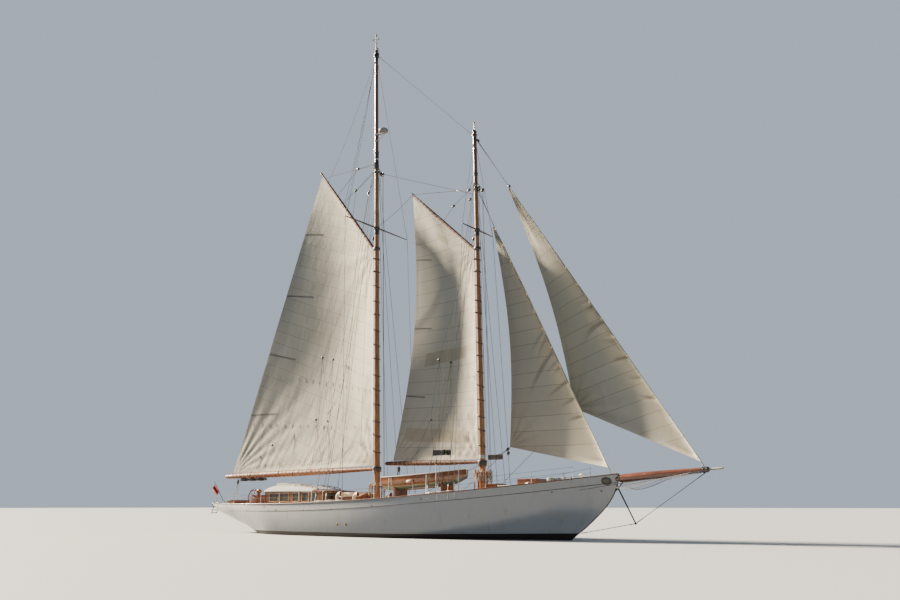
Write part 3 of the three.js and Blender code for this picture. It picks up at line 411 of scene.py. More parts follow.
class Finish:
    """A material with one Principled shader, whose plain values are set on its sockets."""

    def __init__(self, name, **values):
        self.material = bpy.data.materials.new(name)
        self.material.use_nodes = True
        self.tree = self.material.node_tree
        self.shader = self.tree.nodes["Principled BSDF"]
        for word, value in values.items():
            self.shader.inputs[word.replace("_", " ")].default_value = value
        self.material.diffuse_color = (*values.get("Base_Color", (0.5, 0.5, 0.5, 1))[:3], 1)

    def number(self, value):
        made = self.tree.nodes.new("ShaderNodeValue")
        made.outputs[0].default_value = value
        return made.outputs[0]

    def node(self, kind, settings=None, **sockets):
        """Adds a node. settings are its own properties, or a ramp's stops. Each socket is
        named, or numbered, and gets a value or a link. Gives its outputs as values."""
        made = self.tree.nodes.new(kind)
        for word, value in (settings or {}).items():
            if word == "stops":
                ramp = made.color_ramp.elements
                for place, colour in value[2:]:
                    ramp.new(place)
                for element, (place, colour) in zip(ramp, sorted(value)):
                    element.position, element.color = place, (*colour, 1)
            else:
                setattr(made, word, value)
        for word, value in sockets.items():
            socket = made.inputs[int(word) if word.isdigit() else word.replace("_", " ")]
            if isinstance(value, Value):
                self.tree.links.new(value.socket, socket)
            else:
                socket.default_value = value
        return {o.name: Value(self, o) for o in made.outputs if o.enabled}

    def place(self, kind="Object"):
        return self.node("ShaderNodeTexCoord")[kind]

    def split(self, vector):
        made = self.node("ShaderNodeSeparateXYZ", Vector=vector)
        return made["X"], made["Y"], made["Z"]

    def joined(self, x, y, z=0.0):
        return self.node("ShaderNodeCombineXYZ", X=x, Y=y, Z=z)["Vector"]

    def noise(self, vector, scale, detail=3.0, rough=0.55, stretch=(1, 1, 1)):
        """Noise from about 0.3 to 0.7, finer across the directions that stretch raises."""
        placed = self.node("ShaderNodeMapping", Vector=vector, Scale=stretch)["Vector"]
        return self.node("ShaderNodeTexNoise", Vector=placed, Scale=scale, Detail=detail,
                         Roughness=rough)["Fac"]

    def mark(self, word):
        return self.node("ShaderNodeAttribute", {"attribute_name": word})["Fac"]

    def mix(self, share, first, second):
        """first where share is 0 and second where it is 1. Each is a colour."""
        made = self.tree.nodes.new("ShaderNodeMix")
        made.data_type = "RGBA"
        for socket, value in ((made.inputs[0], share), (made.inputs[6], first),
                              (made.inputs[7], second)):
            if isinstance(value, Value):
                self.tree.links.new(value.socket, socket)
            else:
                socket.default_value = (*value, 1) if isinstance(value, tuple) else value
        return Value(self, made.outputs[2])

    def bump(self, height, depth, strength=1.0):
        """Lets a height, in shares of depth metres, lean the surface's normal."""
        made = self.node("ShaderNodeBump", Height=height, Strength=strength, Distance=depth)
        return self.set(Normal=made["Normal"])

    def set(self, **sockets):
        for word, value in sockets.items():
            self.tree.links.new(value.socket, self.shader.inputs[word.replace("_", " ")])
        return self


# %% [markdown]
# The light comes low from almost dead astern, so it lights the after side of each mast
# and the hollow of each sail, and leaves the sides that turn forward in shade. One broad
# sun with a soft edge does that, and a pale world fills the shade. The floor is the
# water's place, plain and pale.

# %% Floor and light
def floor_finish():
    finish = Finish("floor", Base_Color=(0.62, 0.63, 0.63, 1), Roughness=0.75)
    speck = finish.noise(finish.place(), 0.02, 4.0)
    finish.set(Base_Color=finish.mix(speck, (0.60, 0.61, 0.62), (0.64, 0.65, 0.65)))
    return finish.material


reach = np.linspace(-600, 600, 3)
floor_points = np.stack([*np.meshgrid(reach, reach), np.zeros((3, 3))], -1)
floor_mesh = bpy.data.meshes.new("floor")
floor_mesh.from_pydata(floor_points.reshape(-1, 3).tolist(), [], grid_faces(3, 3).tolist())
floor_mesh.materials.append(floor_finish())
floor = bpy.data.objects.new("floor", floor_mesh)
bpy.context.scene.collection.objects.link(floor)
floor.visible_diffuse = False

SUN_SIDE, SUN_FALL = np.radians(6), np.radians(26)
SKY, GROUND = 0.36, 0.13
SUN_WAY = Vector((np.cos(SUN_FALL) * np.cos(SUN_SIDE), np.cos(SUN_FALL) * np.sin(SUN_SIDE),
                  -np.sin(SUN_FALL)))
sun = bpy.data.objects.new("sun", bpy.data.lights.new("sun", "SUN"))
sun.data.energy = 19.0
sun.data.angle = np.radians(8)
sun.data.color = (1.0, 0.86, 0.66)
sun.rotation_euler = SUN_WAY.to_track_quat("-Z", "Y").to_euler()
bpy.context.scene.collection.objects.link(sun)
world = bpy.data.worlds.new("sky")
world.use_nodes = True
nodes = world.node_tree.nodes
seen, path, pick, way, height, fade = (nodes.new("ShaderNode" + kind) for kind in (
    "Background", "LightPath", "MixShader", "TexCoord", "SeparateXYZ", "MapRange"))
for shade, strength in ((nodes["Background"], SKY), (seen, 0.66)):
    shade.inputs["Color"].default_value = (0.68, 0.78, 0.92, 1)
    shade.inputs["Strength"].default_value = strength
for word, value in (("From Min", -0.25), ("From Max", 0.15), ("To Min", GROUND), ("To Max", SKY)):
    fade.inputs[word].default_value = value
for end, start in ((height.inputs[0], way.outputs["Generated"]),
                   (fade.inputs["Value"], height.outputs["Z"]),
                   (nodes["Background"].inputs["Strength"], fade.outputs["Result"]),
                   (pick.inputs[0], path.outputs["Is Camera Ray"]),
                   (pick.inputs[1], nodes["Background"].outputs[0]),
                   (pick.inputs[2], seen.outputs[0]),
                   (nodes["World Output"].inputs["Surface"], pick.outputs[0])):
    world.node_tree.links.new(end, start)
bpy.context.scene.world = world
print("sun and sky set")

# %% [markdown]
# Paint on a wooden hull is never one white. The seams between planks print through it,
# streaks of rust and dirt run down the lower topsides, and a stain stands above the
# waterline. The bottom paint is dark and matt. The height over the water picks the band,
# and noise stretched along the planks gives the wear.

# %% Hull paint
def topsides_finish():
    """White above the boot top, near black at it, dull red below, by height z."""
    f = Finish("white_topsides", Base_Color=(0.8, 0.79, 0.76, 1), Coat_Roughness=0.12,
               Specular_IOR_Level=0.5)
    place = f.place()
    x, _, z = f.split(place)
    cloud = f.noise(place, 0.7, 5.0)
    streak = f.noise(place, 1.0, 4.0, 0.6, (3.2, 3.2, 0.35))
    grain = f.noise(place, 1.0, 5.0, 0.6, (1.2, 40, 40))
    # The white is set greyer than the white paint on deck: painted shade for the hull's side, with
    # a slow random change of tone in it.
    white = f.mix(cloud.above(0.5, 0.4), (0.72, 0.72, 0.69), (0.66, 0.665, 0.65))
    dirt = streak.above(0.60, 0.16) * (1.0 - z.above(1.9, 1.6)) * 0.55
    white = f.mix(dirt, white, (0.55, 0.50, 0.40))
    stain = (1.0 - z.above(0.30, 0.34)) * (0.25 + streak * 0.5)
    white = f.mix(stain, white, (0.50, 0.47, 0.36))
    rise = (x * 0.012 - 0.02).maths("MAXIMUM", 0.0)
    edge = z - rise + (cloud - 0.5) * 0.02
    boot = f.mix(edge.above(0.19, 0.006), (0.018, 0.010, 0.009), white)
    weed = f.mix(streak.above(0.5, 0.3), (0.16, 0.035, 0.028), (0.09, 0.045, 0.030))
    f.set(Base_Color=f.mix((z + (cloud - 0.5) * 0.02).above(0.015, 0.01), weed, boot))
    gloss = edge.above(0.19, 0.01)
    f.set(Roughness=0.62 - gloss * (0.40 - streak.above(0.55, 0.3) * 0.12))
    f.set(Coat_Weight=gloss * 0.5)
    _, v, _ = f.split(f.place("UV"))
    seam = v.part(0.145).near(0.5, 0.055)
    f.bump(seam * -0.6 + grain * 0.22 + cloud * 0.5, 0.006, 0.28)
    return f.material


def paint_finish(name, colour, dark, rough=0.3, coat=0.35):
    """Brushed gloss paint: fine brush marks, a slow change of tone and dark worn spots."""
    f = Finish(name, Base_Color=(*colour, 1), Coat_Weight=coat, Coat_Roughness=0.15)
    place = f.place()
    cloud = f.noise(place, 2.2, 5.0)
    brush = f.noise(place, 9.0, 3.0, 0.5, (1, 9, 9))
    spots = f.noise(place, 26.0, 2.0)
    base = f.mix(cloud.above(0.5, 0.35), colour, dark)
    worn = spots.above(0.68, 0.05) * cloud.above(0.55, 0.2)
    f.set(Base_Color=f.mix(worn * 0.6, base, tuple(c * 0.55 for c in dark)))
    f.set(Roughness=rough + (cloud - 0.5) * 0.3)
    f.bump(brush * 0.6 + spots * 0.4, 0.0016, 0.35)
    return f.material


TOPSIDES = topsides_finish()
WHITE = paint_finish("white_paint", (0.80, 0.80, 0.76), (0.68, 0.68, 0.63))
CREAM = paint_finish("cream_paint", (0.78, 0.71, 0.52), (0.66, 0.58, 0.40))
BLACK = paint_finish("black_iron", (0.022, 0.022, 0.024), (0.045, 0.042, 0.040), 0.34)
COVE_LINE = paint_finish("cove_line", (0.20, 0.18, 0.16), (0.14, 0.13, 0.12), 0.5, 0.1)
GREEN = paint_finish("green_bottom", (0.12, 0.17, 0.14), (0.16, 0.19, 0.15), 0.5, 0.1)
print("paints made")

# %% [markdown]
# Varnished wood shows long grain that runs with the timber. On a spar it follows the
# spar's own surface coordinates, and on joinery it follows the object's x. Streaks of
# summer and winter wood come from noise that is drawn out along the grain, and a clear
# coat over it gives the shine.

# %% Wood finishes
def varnish_finish(name, light, deep, along, rough=0.24, coat=0.8, fine=1.0):
    """Three noises drawn out along the grain: broad bands, rings and pores."""
    f = Finish(name, Base_Color=(*light, 1), Coat_Weight=coat, Coat_Roughness=0.1)
    place = f.place("UV") if along == "UV" else f.place()
    stretch = {"UV": (7, 0.5, 1), "X": (0.5, 7, 7), "Y": (7, 0.5, 7), "Z": (7, 7, 0.5)}[along]
    bands = f.noise(place, 1.6 * fine, 4.0, 0.55, stretch)
    rings = f.noise(place, 7.0 * fine, 3.0, 0.65, stretch)
    pores = f.noise(place, 34.0 * fine, 2.0, 0.7, stretch)
    worn = f.noise(place, 1.3, 5.0, 0.6)
    share = (bands * 0.9 + rings * 0.75 - 0.32).maths("MAXIMUM", 0.0).maths("MINIMUM", 1.0)
    colour = f.mix(share.above(0.5, 0.55), deep, light)
    colour = f.mix(pores.above(0.58, 0.12) * 0.45, colour, tuple(c * 0.45 for c in deep))
    bleached = tuple(min(1.0, c * 1.25 + 0.03) for c in light)
    f.set(Base_Color=f.mix(worn.above(0.62, 0.12) * 0.45, colour, bleached))
    f.set(Roughness=rough + worn.above(0.55, 0.25) * 0.22)
    f.bump(rings * 0.5 + pores * 0.5, 0.0012, 0.4)
    return f.material


def deck_finish(name, width, along_uv=False):
    """Straight planks of a given width with black seams and staggered butts. Each plank's
    number picks its tone."""
    f = Finish(name, Base_Color=(0.42, 0.34, 0.25, 1), Specular_IOR_Level=0.3)
    place = f.place("UV") if along_uv else f.place()
    x, y, _ = f.split(place)
    row = y.step(width)
    shift = row.part(4.0) * 5.2
    length = (x + shift + 40).step(3.1)
    tone = f.node("ShaderNodeTexWhiteNoise", {"noise_dimensions": "2D"},
                  Vector=f.joined(row, length))["Value"]
    grain = f.noise(place, 9.0, 4.0, 0.6, (0.35, 8, 8))
    stain = f.noise(place, 0.8, 5.0)
    base = f.mix(tone, (0.36, 0.29, 0.21), (0.50, 0.42, 0.32))
    base = f.mix(grain.above(0.5, 0.4) * 0.5, base, (0.30, 0.245, 0.185))
    base = f.mix(stain.above(0.55, 0.25) * 0.4, base, (0.46, 0.43, 0.38))
    seam = (1.0 - y.part(width).near(0.5, 0.5).above(0.085, 0.02))
    butt = (1.0 - (x + shift + 40).part(3.1).near(0.5, 0.5).above(0.0026, 0.001))
    joint = seam.maths("MAXIMUM", butt)
    f.set(Base_Color=f.mix(joint, base, (0.022, 0.020, 0.019)))
    f.set(Roughness=0.72 - joint * 0.2)
    f.bump(grain * 0.3 - joint * 0.9, 0.003, 0.5)
    return f.material


MAST_WOOD = varnish_finish("varnished_topmast", (0.36, 0.13, 0.045), (0.17, 0.055, 0.022), "UV")
SPAR = varnish_finish("varnished_spar", (0.60, 0.30, 0.105), (0.33, 0.125, 0.035), "UV")
BOOM_WOOD = varnish_finish("varnished_boom", (0.36, 0.118, 0.018), (0.21, 0.060, 0.008), "UV", 0.5,
                           0.15)
GAFF_WOOD = varnish_finish("varnished_gaff", (0.23, 0.074, 0.022), (0.10, 0.032, 0.011), "UV", 0.5,
                           0.2)
STAINED = varnish_finish("stained_arm", (0.055, 0.045, 0.045), (0.025, 0.022, 0.022), "Y", 0.4, 0.3)
DARK_SPAR = varnish_finish("varnished_bowsprit", (0.25, 0.072, 0.030), (0.11, 0.030, 0.015), "UV")
JOINERY = varnish_finish("varnished_joinery", (0.33, 0.115, 0.04), (0.15, 0.042, 0.016), "X", 0.2,
                         0.9)
UPRIGHT = varnish_finish("varnished_uprights", (0.33, 0.115, 0.04), (0.15, 0.042, 0.016), "Z", 0.2,
                         0.9)
HOUSE_WOOD = varnish_finish("house_varnish", (0.40, 0.13, 0.040), (0.19, 0.055, 0.020), "X", 0.2,
                            0.9)
RAIL_WOOD = varnish_finish("rail_varnish", (0.30, 0.115, 0.045), (0.15, 0.052, 0.02), "UV", 0.3,
                           0.5)
DECK = deck_finish("laid_deck", 0.058)
print("woods made")

# %% [markdown]
# Metal on deck is dull: galvanised fittings are grey and mottled, wire is twisted from
# strands, and bronze has a brown skin. Rope has three strands whose lay shows as a slant.
# A slant across a round line is a stripe of the run along it plus the way round it.

# %% Metal, wire and rope finishes
def metal_finish(name, colour, dark, rough=0.42, scale=14.0):
    """A mottled metal skin, rougher where it is dark."""
    f = Finish(name, Base_Color=(*colour, 1), Metallic=0.85)
    place = f.place()
    blotch = f.noise(place, scale, 5.0)
    fine = f.noise(place, scale * 9, 2.0)
    f.set(Base_Color=f.mix(blotch.above(0.52, 0.3), colour, dark))
    f.set(Roughness=rough + blotch.above(0.5, 0.3) * 0.25)
    f.bump(blotch * 0.6 + fine * 0.4, 0.0012, 0.4)
    return f.material


def strand_finish(name, colour, dark, turns, metal=0.0, rough=0.7, depth=0.002):
    """Stripes that wind round a line: along times turns plus the share of the way round."""
    f = Finish(name, Base_Color=(*colour, 1), Metallic=metal)
    u, v, _ = f.split(f.place("UV"))
    lay = (v * turns + u * turns * 1.1).part(1.0).near(0.5, 0.5)
    fuzz = f.noise(f.place(), 60.0, 2.0)
    tone = f.noise(f.place(), 1.5, 4.0)
    base = f.mix(lay.above(0.30, 0.5), dark, colour)
    f.set(Base_Color=f.mix(tone.above(0.55, 0.3) * 0.4, base, tuple(c * 0.7 for c in colour)))
    f.set(Roughness=rough - lay * 0.1)
    f.bump(lay + fuzz * 0.25, depth, 0.6)
    return f.material


WIRE = strand_finish("wire", (0.042, 0.042, 0.045), (0.02, 0.02, 0.022), 30, 0.0, 0.75, 0.001)
ROPE = strand_finish("rope", (0.62, 0.57, 0.46), (0.34, 0.30, 0.22), 26)
DARK_ROPE = strand_finish("tarred_rope", (0.055, 0.045, 0.038), (0.022, 0.018, 0.016), 26)
WHITE_ROPE = strand_finish("white_rope", (0.74, 0.74, 0.70), (0.46, 0.46, 0.42), 26)
STEEL = metal_finish("stainless", (0.56, 0.56, 0.55), (0.34, 0.34, 0.33), 0.26)
GALVANISED = metal_finish("galvanised", (0.36, 0.365, 0.36), (0.20, 0.205, 0.20), 0.5)
BRONZE = metal_finish("bronze", (0.48, 0.33, 0.15), (0.22, 0.16, 0.08), 0.38)
LEAD = paint_finish("antifouling_iron", (0.155, 0.036, 0.03), (0.095, 0.035, 0.028), 0.7, 0.0)
DOME = paint_finish("dome_plastic", (0.50, 0.53, 0.50), (0.38, 0.41, 0.38), 0.5, 0.1)
HOOP_WOOD = varnish_finish("hoop_ash", (0.15, 0.07, 0.035), (0.06, 0.028, 0.016), "UV", 0.4, 0.3)


def glass_finish():
    """A pane painted dark for the unlit room behind it, as painted shade: the tone changes in soft
    upright folds like curtains, with darker patches.
    """
    f = Finish("window_glass", Base_Color=(0.3, 0.28, 0.24, 1), Roughness=0.05, Coat_Weight=1.0,
               Coat_Roughness=0.03, Specular_IOR_Level=0.7)
    place = f.place()
    fold = f.noise(place, 2.0, 2.0, 0.5, (6, 6, 0.4))
    room_shade = f.noise(place, 1.1, 2.0)
    base = f.mix(fold.above(0.5, 0.35), (0.10, 0.105, 0.095), (0.24, 0.235, 0.20))
    f.set(Base_Color=f.mix(room_shade.above(0.55, 0.3) * 0.6, base, (0.06, 0.065, 0.06)))
    return f.material


GLASS = glass_finish()
print("metals, ropes and glass made")

# %% [markdown]
# Sailcloth is woven in narrow lengths that are sewn edge to edge, so a sail shows a seam
# every 65 cm, square to its after edge. Each seam is two layers with two rows of
# stitches. The edges are doubled, and each corner has a patch of many layers. The sail's
# coordinates are metres from the after edge and metres along it. Two marks on its points
# give the distance to the nearest edge and to the nearest corner, and a third darkens the
# hollows of the folds as painted shade.

# %% Sailcloth
def canvas_finish(name, light, warm, pitch=0.65):
    f = Finish(name, Base_Color=(*light, 1), Sheen_Weight=0.25, Sheen_Roughness=0.5,
               Specular_IOR_Level=0.2)
    u, v, _ = f.split(f.place("UV"))
    plane = f.place("UV")
    edge, corner = f.mark("edge"), f.mark("corner")
    wander = (f.noise(plane, 0.5, 2.0) - 0.5) * 0.06
    run = v + wander
    tone = f.node("ShaderNodeTexWhiteNoise", {"noise_dimensions": "1D"}, W=run.step(pitch))["Value"]
    cloud = f.noise(plane, 0.35, 5.0)
    crease = f.noise(plane, 0.9, 5.0, 0.6, (1.0, 0.35, 1))
    weave = f.noise(plane, 120.0, 2.0)
    base = f.mix(tone * 0.8, light, warm)
    base = f.mix(cloud.above(0.5, 0.4) * 0.45, base, tuple(c * 0.86 for c in warm))
    seam = run.part(pitch).near(0.5, 0.5)
    overlap = 1.0 - seam.above(0.036, 0.008)
    stitch = (seam - 0.03).maths("ABSOLUTE")
    stitch = (1.0 - stitch.above(0.0045, 0.003)) * u.part(0.03).above(0.35, 0.1)
    base = f.mix(overlap * 0.80, base, tuple(c * 0.52 for c in warm))
    base = f.mix(stitch * 0.5, base, (0.30, 0.25, 0.17))
    # Painted shade: the hollows of the folds are darkened by their mark.
    base = f.mix(f.mark("valley") * 0.55, base, tuple(c * 0.45 for c in warm))
    hem = 1.0 - edge.above(0.11, 0.008)
    patch = 1.0 - corner.above(1.25, 0.012)
    inner = 1.0 - corner.above(0.72, 0.012)
    ring = corner.near(1.25, 0.02) + corner.near(0.72, 0.02)
    base = f.mix((hem + patch + inner) * 0.16, base, tuple(c * 0.72 for c in warm))
    base = f.mix(ring * 0.15, base, (0.34, 0.29, 0.20))
    soil = (1.0 - edge.above(0.5, 0.9)) * crease.above(0.5, 0.3) * 0.3
    f.set(Base_Color=f.mix(soil, base, (0.42, 0.38, 0.28)))
    f.set(Roughness=0.78 + (cloud - 0.5) * 0.2)
    height = (overlap * 0.10 + crease * 1.7 + cloud * 0.5 + weave * 0.02
              + (hem + patch + inner) * 0.10)
    f.bump(height, 0.038, 0.6)
    return f.material


def cloth_finish(name, colour, dark, weave=90.0, rough=0.85):
    """Plain woven cloth: a fine weave, slow folds of tone."""
    f = Finish(name, Base_Color=(*colour, 1), Sheen_Weight=0.3, Specular_IOR_Level=0.2)
    place = f.place()
    thread = f.noise(place, weave, 2.0)
    cloud = f.noise(place, 2.5, 4.0)
    base = f.mix(cloud.above(0.5, 0.35), colour, dark)
    f.set(Base_Color=f.mix(thread.above(0.5, 0.3) * 0.3, base, dark))
    f.set(Roughness=rough + (cloud - 0.5) * 0.1)
    f.bump(thread * 0.4 + cloud, 0.004, 0.5)
    return f.material


CANVAS = canvas_finish("cream_canvas", (0.80, 0.755, 0.62), (0.74, 0.69, 0.55))
BUNTING = cloth_finish("red_bunting", (0.62, 0.028, 0.026), (0.42, 0.016, 0.018), 160.0)
NAVY = cloth_finish("dark_canvas", (0.018, 0.018, 0.026), (0.008, 0.008, 0.012))
print("canvas made")

# %% [markdown]
# The hull is drawn as its builder drew it, from a table of stations. Each row gives where
# a station meets the rail and the keel, its heights and breadths, and two handles that
# bend its section. Between stations every column runs on a smooth cubic, so the planking
# is fair. The section is a curve from the keel to the rail with the two handles as shares
# of its reach across and up.

# %% Hull lines
TABLE = np.array([
    [11.42, 10.58, 1.09, 1.12, .06, .05, .30, .30, .70, .70],
    [10.95, 9.93, .54, .57, .31, .055, .22, .30, .60, .66],
    [10.45, 9.44, .20, .23, .575, .06, .22, .28, .60, .64],
    [9.90, 9.18, 0, .04, .835, .065, .24, .27, .62, .62],
    [9.20, 8.60, -.30, -.25, 1.112, .07, .26, .25, .64, .60],
    [8.20, 7.80, -.72, -.64, 1.46, .08, .30, .20, .70, .54],
    [6.60, 6.50, -1.33, -1.05, 1.91, .095, .36, .15, .80, .46],
    [4.50, 4.50, -2.0, -1.27, 2.341, .13, .45, .12, .92, .38],
    [2.50, 2.50, -2.42, -1.37, 2.591, .165, .55, .10, 1.0, .31],
    [0, 0, -2.70, -1.40, 2.717, .185, .60, .09, 1.03, .28],
    [-2.5, -2.5, -2.85, -1.32, 2.69, .185, .60, .09, 1.03, .28],
    [-5.0, -5.0, -2.92, -1.05, 2.549, .15, .56, .08, 1.02, .30],
    [-6.7, -6.7, -2.95, -.76, 2.37, .105, .52, .06, 1.02, .32],
    [-8.2, -8.2, -.45, -.40, 2.12, .075, .40, .07, 1.0, .44],
    [-9.5, -9.35, .07, .11, 1.80, .06, .42, .08, 1.0, .48],
    [-11.2, -10.9, .57, .61, 1.30, .05, .45, .09, 1.0, .50],
    [-12.2, -11.75, .81, .845, .84, .045, .50, .09, 1.0, .52],
    [-12.85, -12.30, .95, .98, .45, .04, .55, .09, 1.0, .52]])
BULWARK, THICK, CAP_OUT, CAP_IN, CAP_TALL, CAMBER = 0.32, 0.06, 0.035, 0.11, 0.045, 0.11


def sheer(x):
    """Rail height: a parabola from its lowest place, steeper forward."""
    x = np.asarray(x, float)
    return 1.49 + np.where(x > -7.2, 3.32e-3, 1.3e-3) * (x + 7.2) ** 2


def fair(xs, ys, x):
    """A cubic through the table whose slope at each row is that of the parabola through
    the row and its neighbours."""
    gap, rise = np.diff(xs), np.diff(ys) / np.diff(xs)
    middle = (rise[:-1] * gap[1:] + rise[1:] * gap[:-1]) / (gap[1:] + gap[:-1])
    slope = np.concatenate([[rise[0]], middle, [rise[-1]]])
    i = np.clip(np.searchsorted(xs, x) - 1, 0, len(gap) - 1)
    t = (x - xs[i]) / gap[i]
    return (ys[i] * (1 + 2 * t) * (1 - t) ** 2 + slope[i] * gap[i] * t * (1 - t) ** 2
            + ys[i + 1] * t ** 2 * (3 - 2 * t) + slope[i + 1] * gap[i] * t ** 2 * (t - 1))


ROWS = TABLE[::-1]


def stations(x):
    """The ten columns at rail positions x. The keel's columns stay straight between rows."""
    x = np.asarray(x, float)
    columns = [fair(ROWS[:, 0], ROWS[:, c], x) for c in range(10)]
    straight = [np.interp(x, ROWS[:, 0], ROWS[:, c]) for c in range(10)]
    aft = x < -5.0
    columns = [np.where(aft, s, f) if c in (1, 2, 3, 5) else f
               for c, (f, s) in enumerate(zip(columns, straight))]
    columns[0] = x
    return np.stack(columns, -1)


def bend(t, a, b):
    return 3 * t * (1 - t) ** 2 * a + 3 * t * t * (1 - t) * b + t ** 3


def reach_of(st, z):
    """The curve's parameter where each station's section is at height z, by halving."""
    share = (z - st[..., 3]) / (sheer(st[..., 0]) - st[..., 3])
    low, high = np.zeros_like(share), np.ones_like(share)
    for _ in range(30):
        middle = (low + high) / 2
        below = bend(middle, st[..., 7], st[..., 9]) < share
        low, high = np.where(below, middle, low), np.where(below, high, middle)
    return (low + high) / 2


def skin(st, t):
    """Points of the section at parameter t. Forward of amidships a station leans with the
    stem, as one less the square of what is left of its height."""
    y = st[..., 5] + (st[..., 4] - st[..., 5]) * bend(t, st[..., 6], st[..., 8])
    z = st[..., 3] + (sheer(st[..., 0]) - st[..., 3]) * bend(t, st[..., 7], st[..., 9])
    s = (z - st[..., 2]) / (sheer(st[..., 0]) - st[..., 2])
    lean = np.where(st[..., 0] > 0, 1 - (1 - s) ** 2, s)
    return spots(st[..., 1] + (st[..., 0] - st[..., 1]) * lean, y, z)


def half_at(x):
    return np.interp(x, ROWS[:, 0], ROWS[:, 4])


def rail_foot(x, side, inset=0.0, up=0.0):
    """A point on the rail's top at x, inset metres in from the hull's side."""
    x = np.asarray(x, float)
    return spots(x, side * (half_at(x) - inset), sheer(x) + up)


def deck_at(x, y):
    """Deck height: the edge under the rail plus a crown that falls as the square of y."""
    half = np.maximum(half_at(x) - THICK, 0.05)
    camber = CAMBER * np.minimum(1, half / 1.5)
    return sheer(x) - BULWARK + camber * (1 - np.minimum(1, (y / half) ** 2))


LENGTH = np.concatenate([np.linspace(11.42, 9.9, 26)[:-1], np.linspace(9.9, -8.2, 110)[:-1],
                         np.linspace(-8.2, -12.85, 34)])
HULL = stations(LENGTH)
print("hull drawn at", len(LENGTH), "stations,", round(float(np.ptp(LENGTH)), 2), "m on deck")

# %% [markdown]
# The topsides and bottom are one skin from the keel up to the deck edge. Rows of points
# run up each station at even steps of the section's curve, on both sides, and the ring is
# closed across the keel and under the deck. The bulwark carries the same surface on up to
# the rail, so that the two meet in one thin line.

# %% Hull skin
def hull_form():
    top = reach_of(HULL, sheer(HULL[:, 0]) - BULWARK - 0.035)
    steps = np.linspace(0, 1, 40) ** 1.05
    rows = skin(HULL[:, None], steps[None] * top[:, None])
    foot = spots(HULL[:, 1], HULL[:, 5] * 0.85, HULL[:, 2])[:, None]
    side = np.concatenate([foot, rows], 1)
    other = side[:, ::-1] * [1, -1, 1]
    girth = np.linalg.norm(np.diff(side, axis=1), axis=2).cumsum(1)
    girth = np.concatenate([np.zeros((len(side), 1)), girth], 1)
    girth = girth[:, -1:] - girth
    uv = np.stack([np.broadcast_to(LENGTH[:, None], girth.shape), girth], -1)
    return closed(np.concatenate([side, other], 1), uv=np.concatenate([uv, uv[:, ::-1]], 1))


def round_rail(rows):
    """A closed run along both rails and across the transom. rows are (inset, height over
    the rail). Inside rows use a station moved in from the stem and the transom."""
    lines = []
    inner = HULL.copy()
    near_bow = np.clip((LENGTH - 10.95) / 0.47, 0, 1)
    near_stern = np.clip((-12.2 - LENGTH) / 0.65, 0, 1)
    move = -0.19 * near_bow + (THICK + 0.025) * near_stern
    inner[:, 0] += move
    inner[:, 1] += move
    inner[:, 4] += 0.095 * near_bow
    for inset, up in rows:
        st = inner if inset > 0.02 else HULL
        z = sheer(HULL[:, 0]) + up
        p = skin(st, reach_of(st, np.minimum(z, sheer(st[:, 0]))))
        lines.append(spots(p[:, 0], np.maximum(p[:, 1] - inset, 0.012), z))
    port = np.stack(lines, 1)
    starboard = (port * [1, -1, 1])[::-1]
    return np.concatenate([port, starboard])


def rim_form(rows):
    points = round_rail(rows)
    form = closed(points, loop=True)
    run = np.append(0, np.linalg.norm(np.diff(points[:, 0], axis=0), axis=1).cumsum())
    around = np.append(0, np.linalg.norm(np.diff(points[60], axis=0), axis=1).cumsum())
    form.uv = np.stack(np.meshgrid(around, run), -1).reshape(-1, 2)
    return form


add("hull_skin", hull_form(), TOPSIDES, stands_for="hull", smooth=38)
DROP = -BULWARK - 0.035
bulwark_rows = [(0, h) for h in np.linspace(DROP + 0.004, -CAP_TALL, 7)]
bulwark_rows += [(THICK, -CAP_TALL), (THICK, -0.16), (THICK, DROP + 0.004)]
add("bulwark_skin", rim_form(bulwark_rows), TOPSIDES, stands_for="bulwark", smooth=38)

# %% [markdown]
# The rail is capped with a varnished board, wider than the bulwark and rounded on both
# edges. A thin dark seam under the deck edge and a fine moulding mark where the bulwark
# starts. The deck is laid between the bulwarks with a white painted board along its edge.

# %% Rail cap, cove and deck
def rounded(out, inside, low, high, r=0.018):
    """Rows round a board's section, with each edge a quarter circle in four steps."""
    a = np.linspace(0, np.pi / 2, 4)
    corners = [(out + r, high - r, np.pi, -1), (inside - r, high - r, np.pi / 2, -1),
               (inside - r, low + r, 0, -1), (out + r, low + r, -np.pi / 2, -1)]
    rows = []
    for x, z, start, way in corners:
        rows += [(x + r * np.cos(start + way * s), z + r * np.sin(start + way * s)) for s in a]
    return rows


add("rail_cap", rim_form(rounded(-CAP_OUT, CAP_IN, -CAP_TALL + 0.001, 0.0)), RAIL_WOOD,
    stands_for="cap_rail", smooth=50)
cove = [(-0.002, -BULWARK - 0.052), (-0.012, -BULWARK - 0.046), (-0.014, -BULWARK - 0.038),
        (-0.012, -BULWARK - 0.030), (-0.002, -BULWARK - 0.024), (0.012, -BULWARK - 0.038)]
add("sheer_moulding", rim_form(cove), COVE_LINE)


def deck_form(x0, x1):
    x = LENGTH[(LENGTH >= x0) & (LENGTH <= x1) & (LENGTH < 11.0)]
    x = np.unique(np.concatenate([x, [max(x0, -12.73), min(x1, 11.0)]]))[::-1]
    across = np.linspace(-1, 1, 25)
    edge = np.maximum(half_at(x) - THICK - 0.004, 0.03)
    low = stations(x)
    base = skin(low, reach_of(low, sheer(x) - BULWARK))
    edge = np.minimum(edge, np.maximum(base[:, 1] - THICK - 0.004, 0.03))
    y = across[None] * edge[:, None]
    camber = CAMBER * np.minimum(1, low[:, 4:5] / 1.5)
    z = (sheer(x) - BULWARK)[:, None] + camber * (1 - across[None] ** 2)
    top = spots(np.broadcast_to(base[:, :1], y.shape), y, z)
    return plate(top, np.array([0, 0, -0.03]))


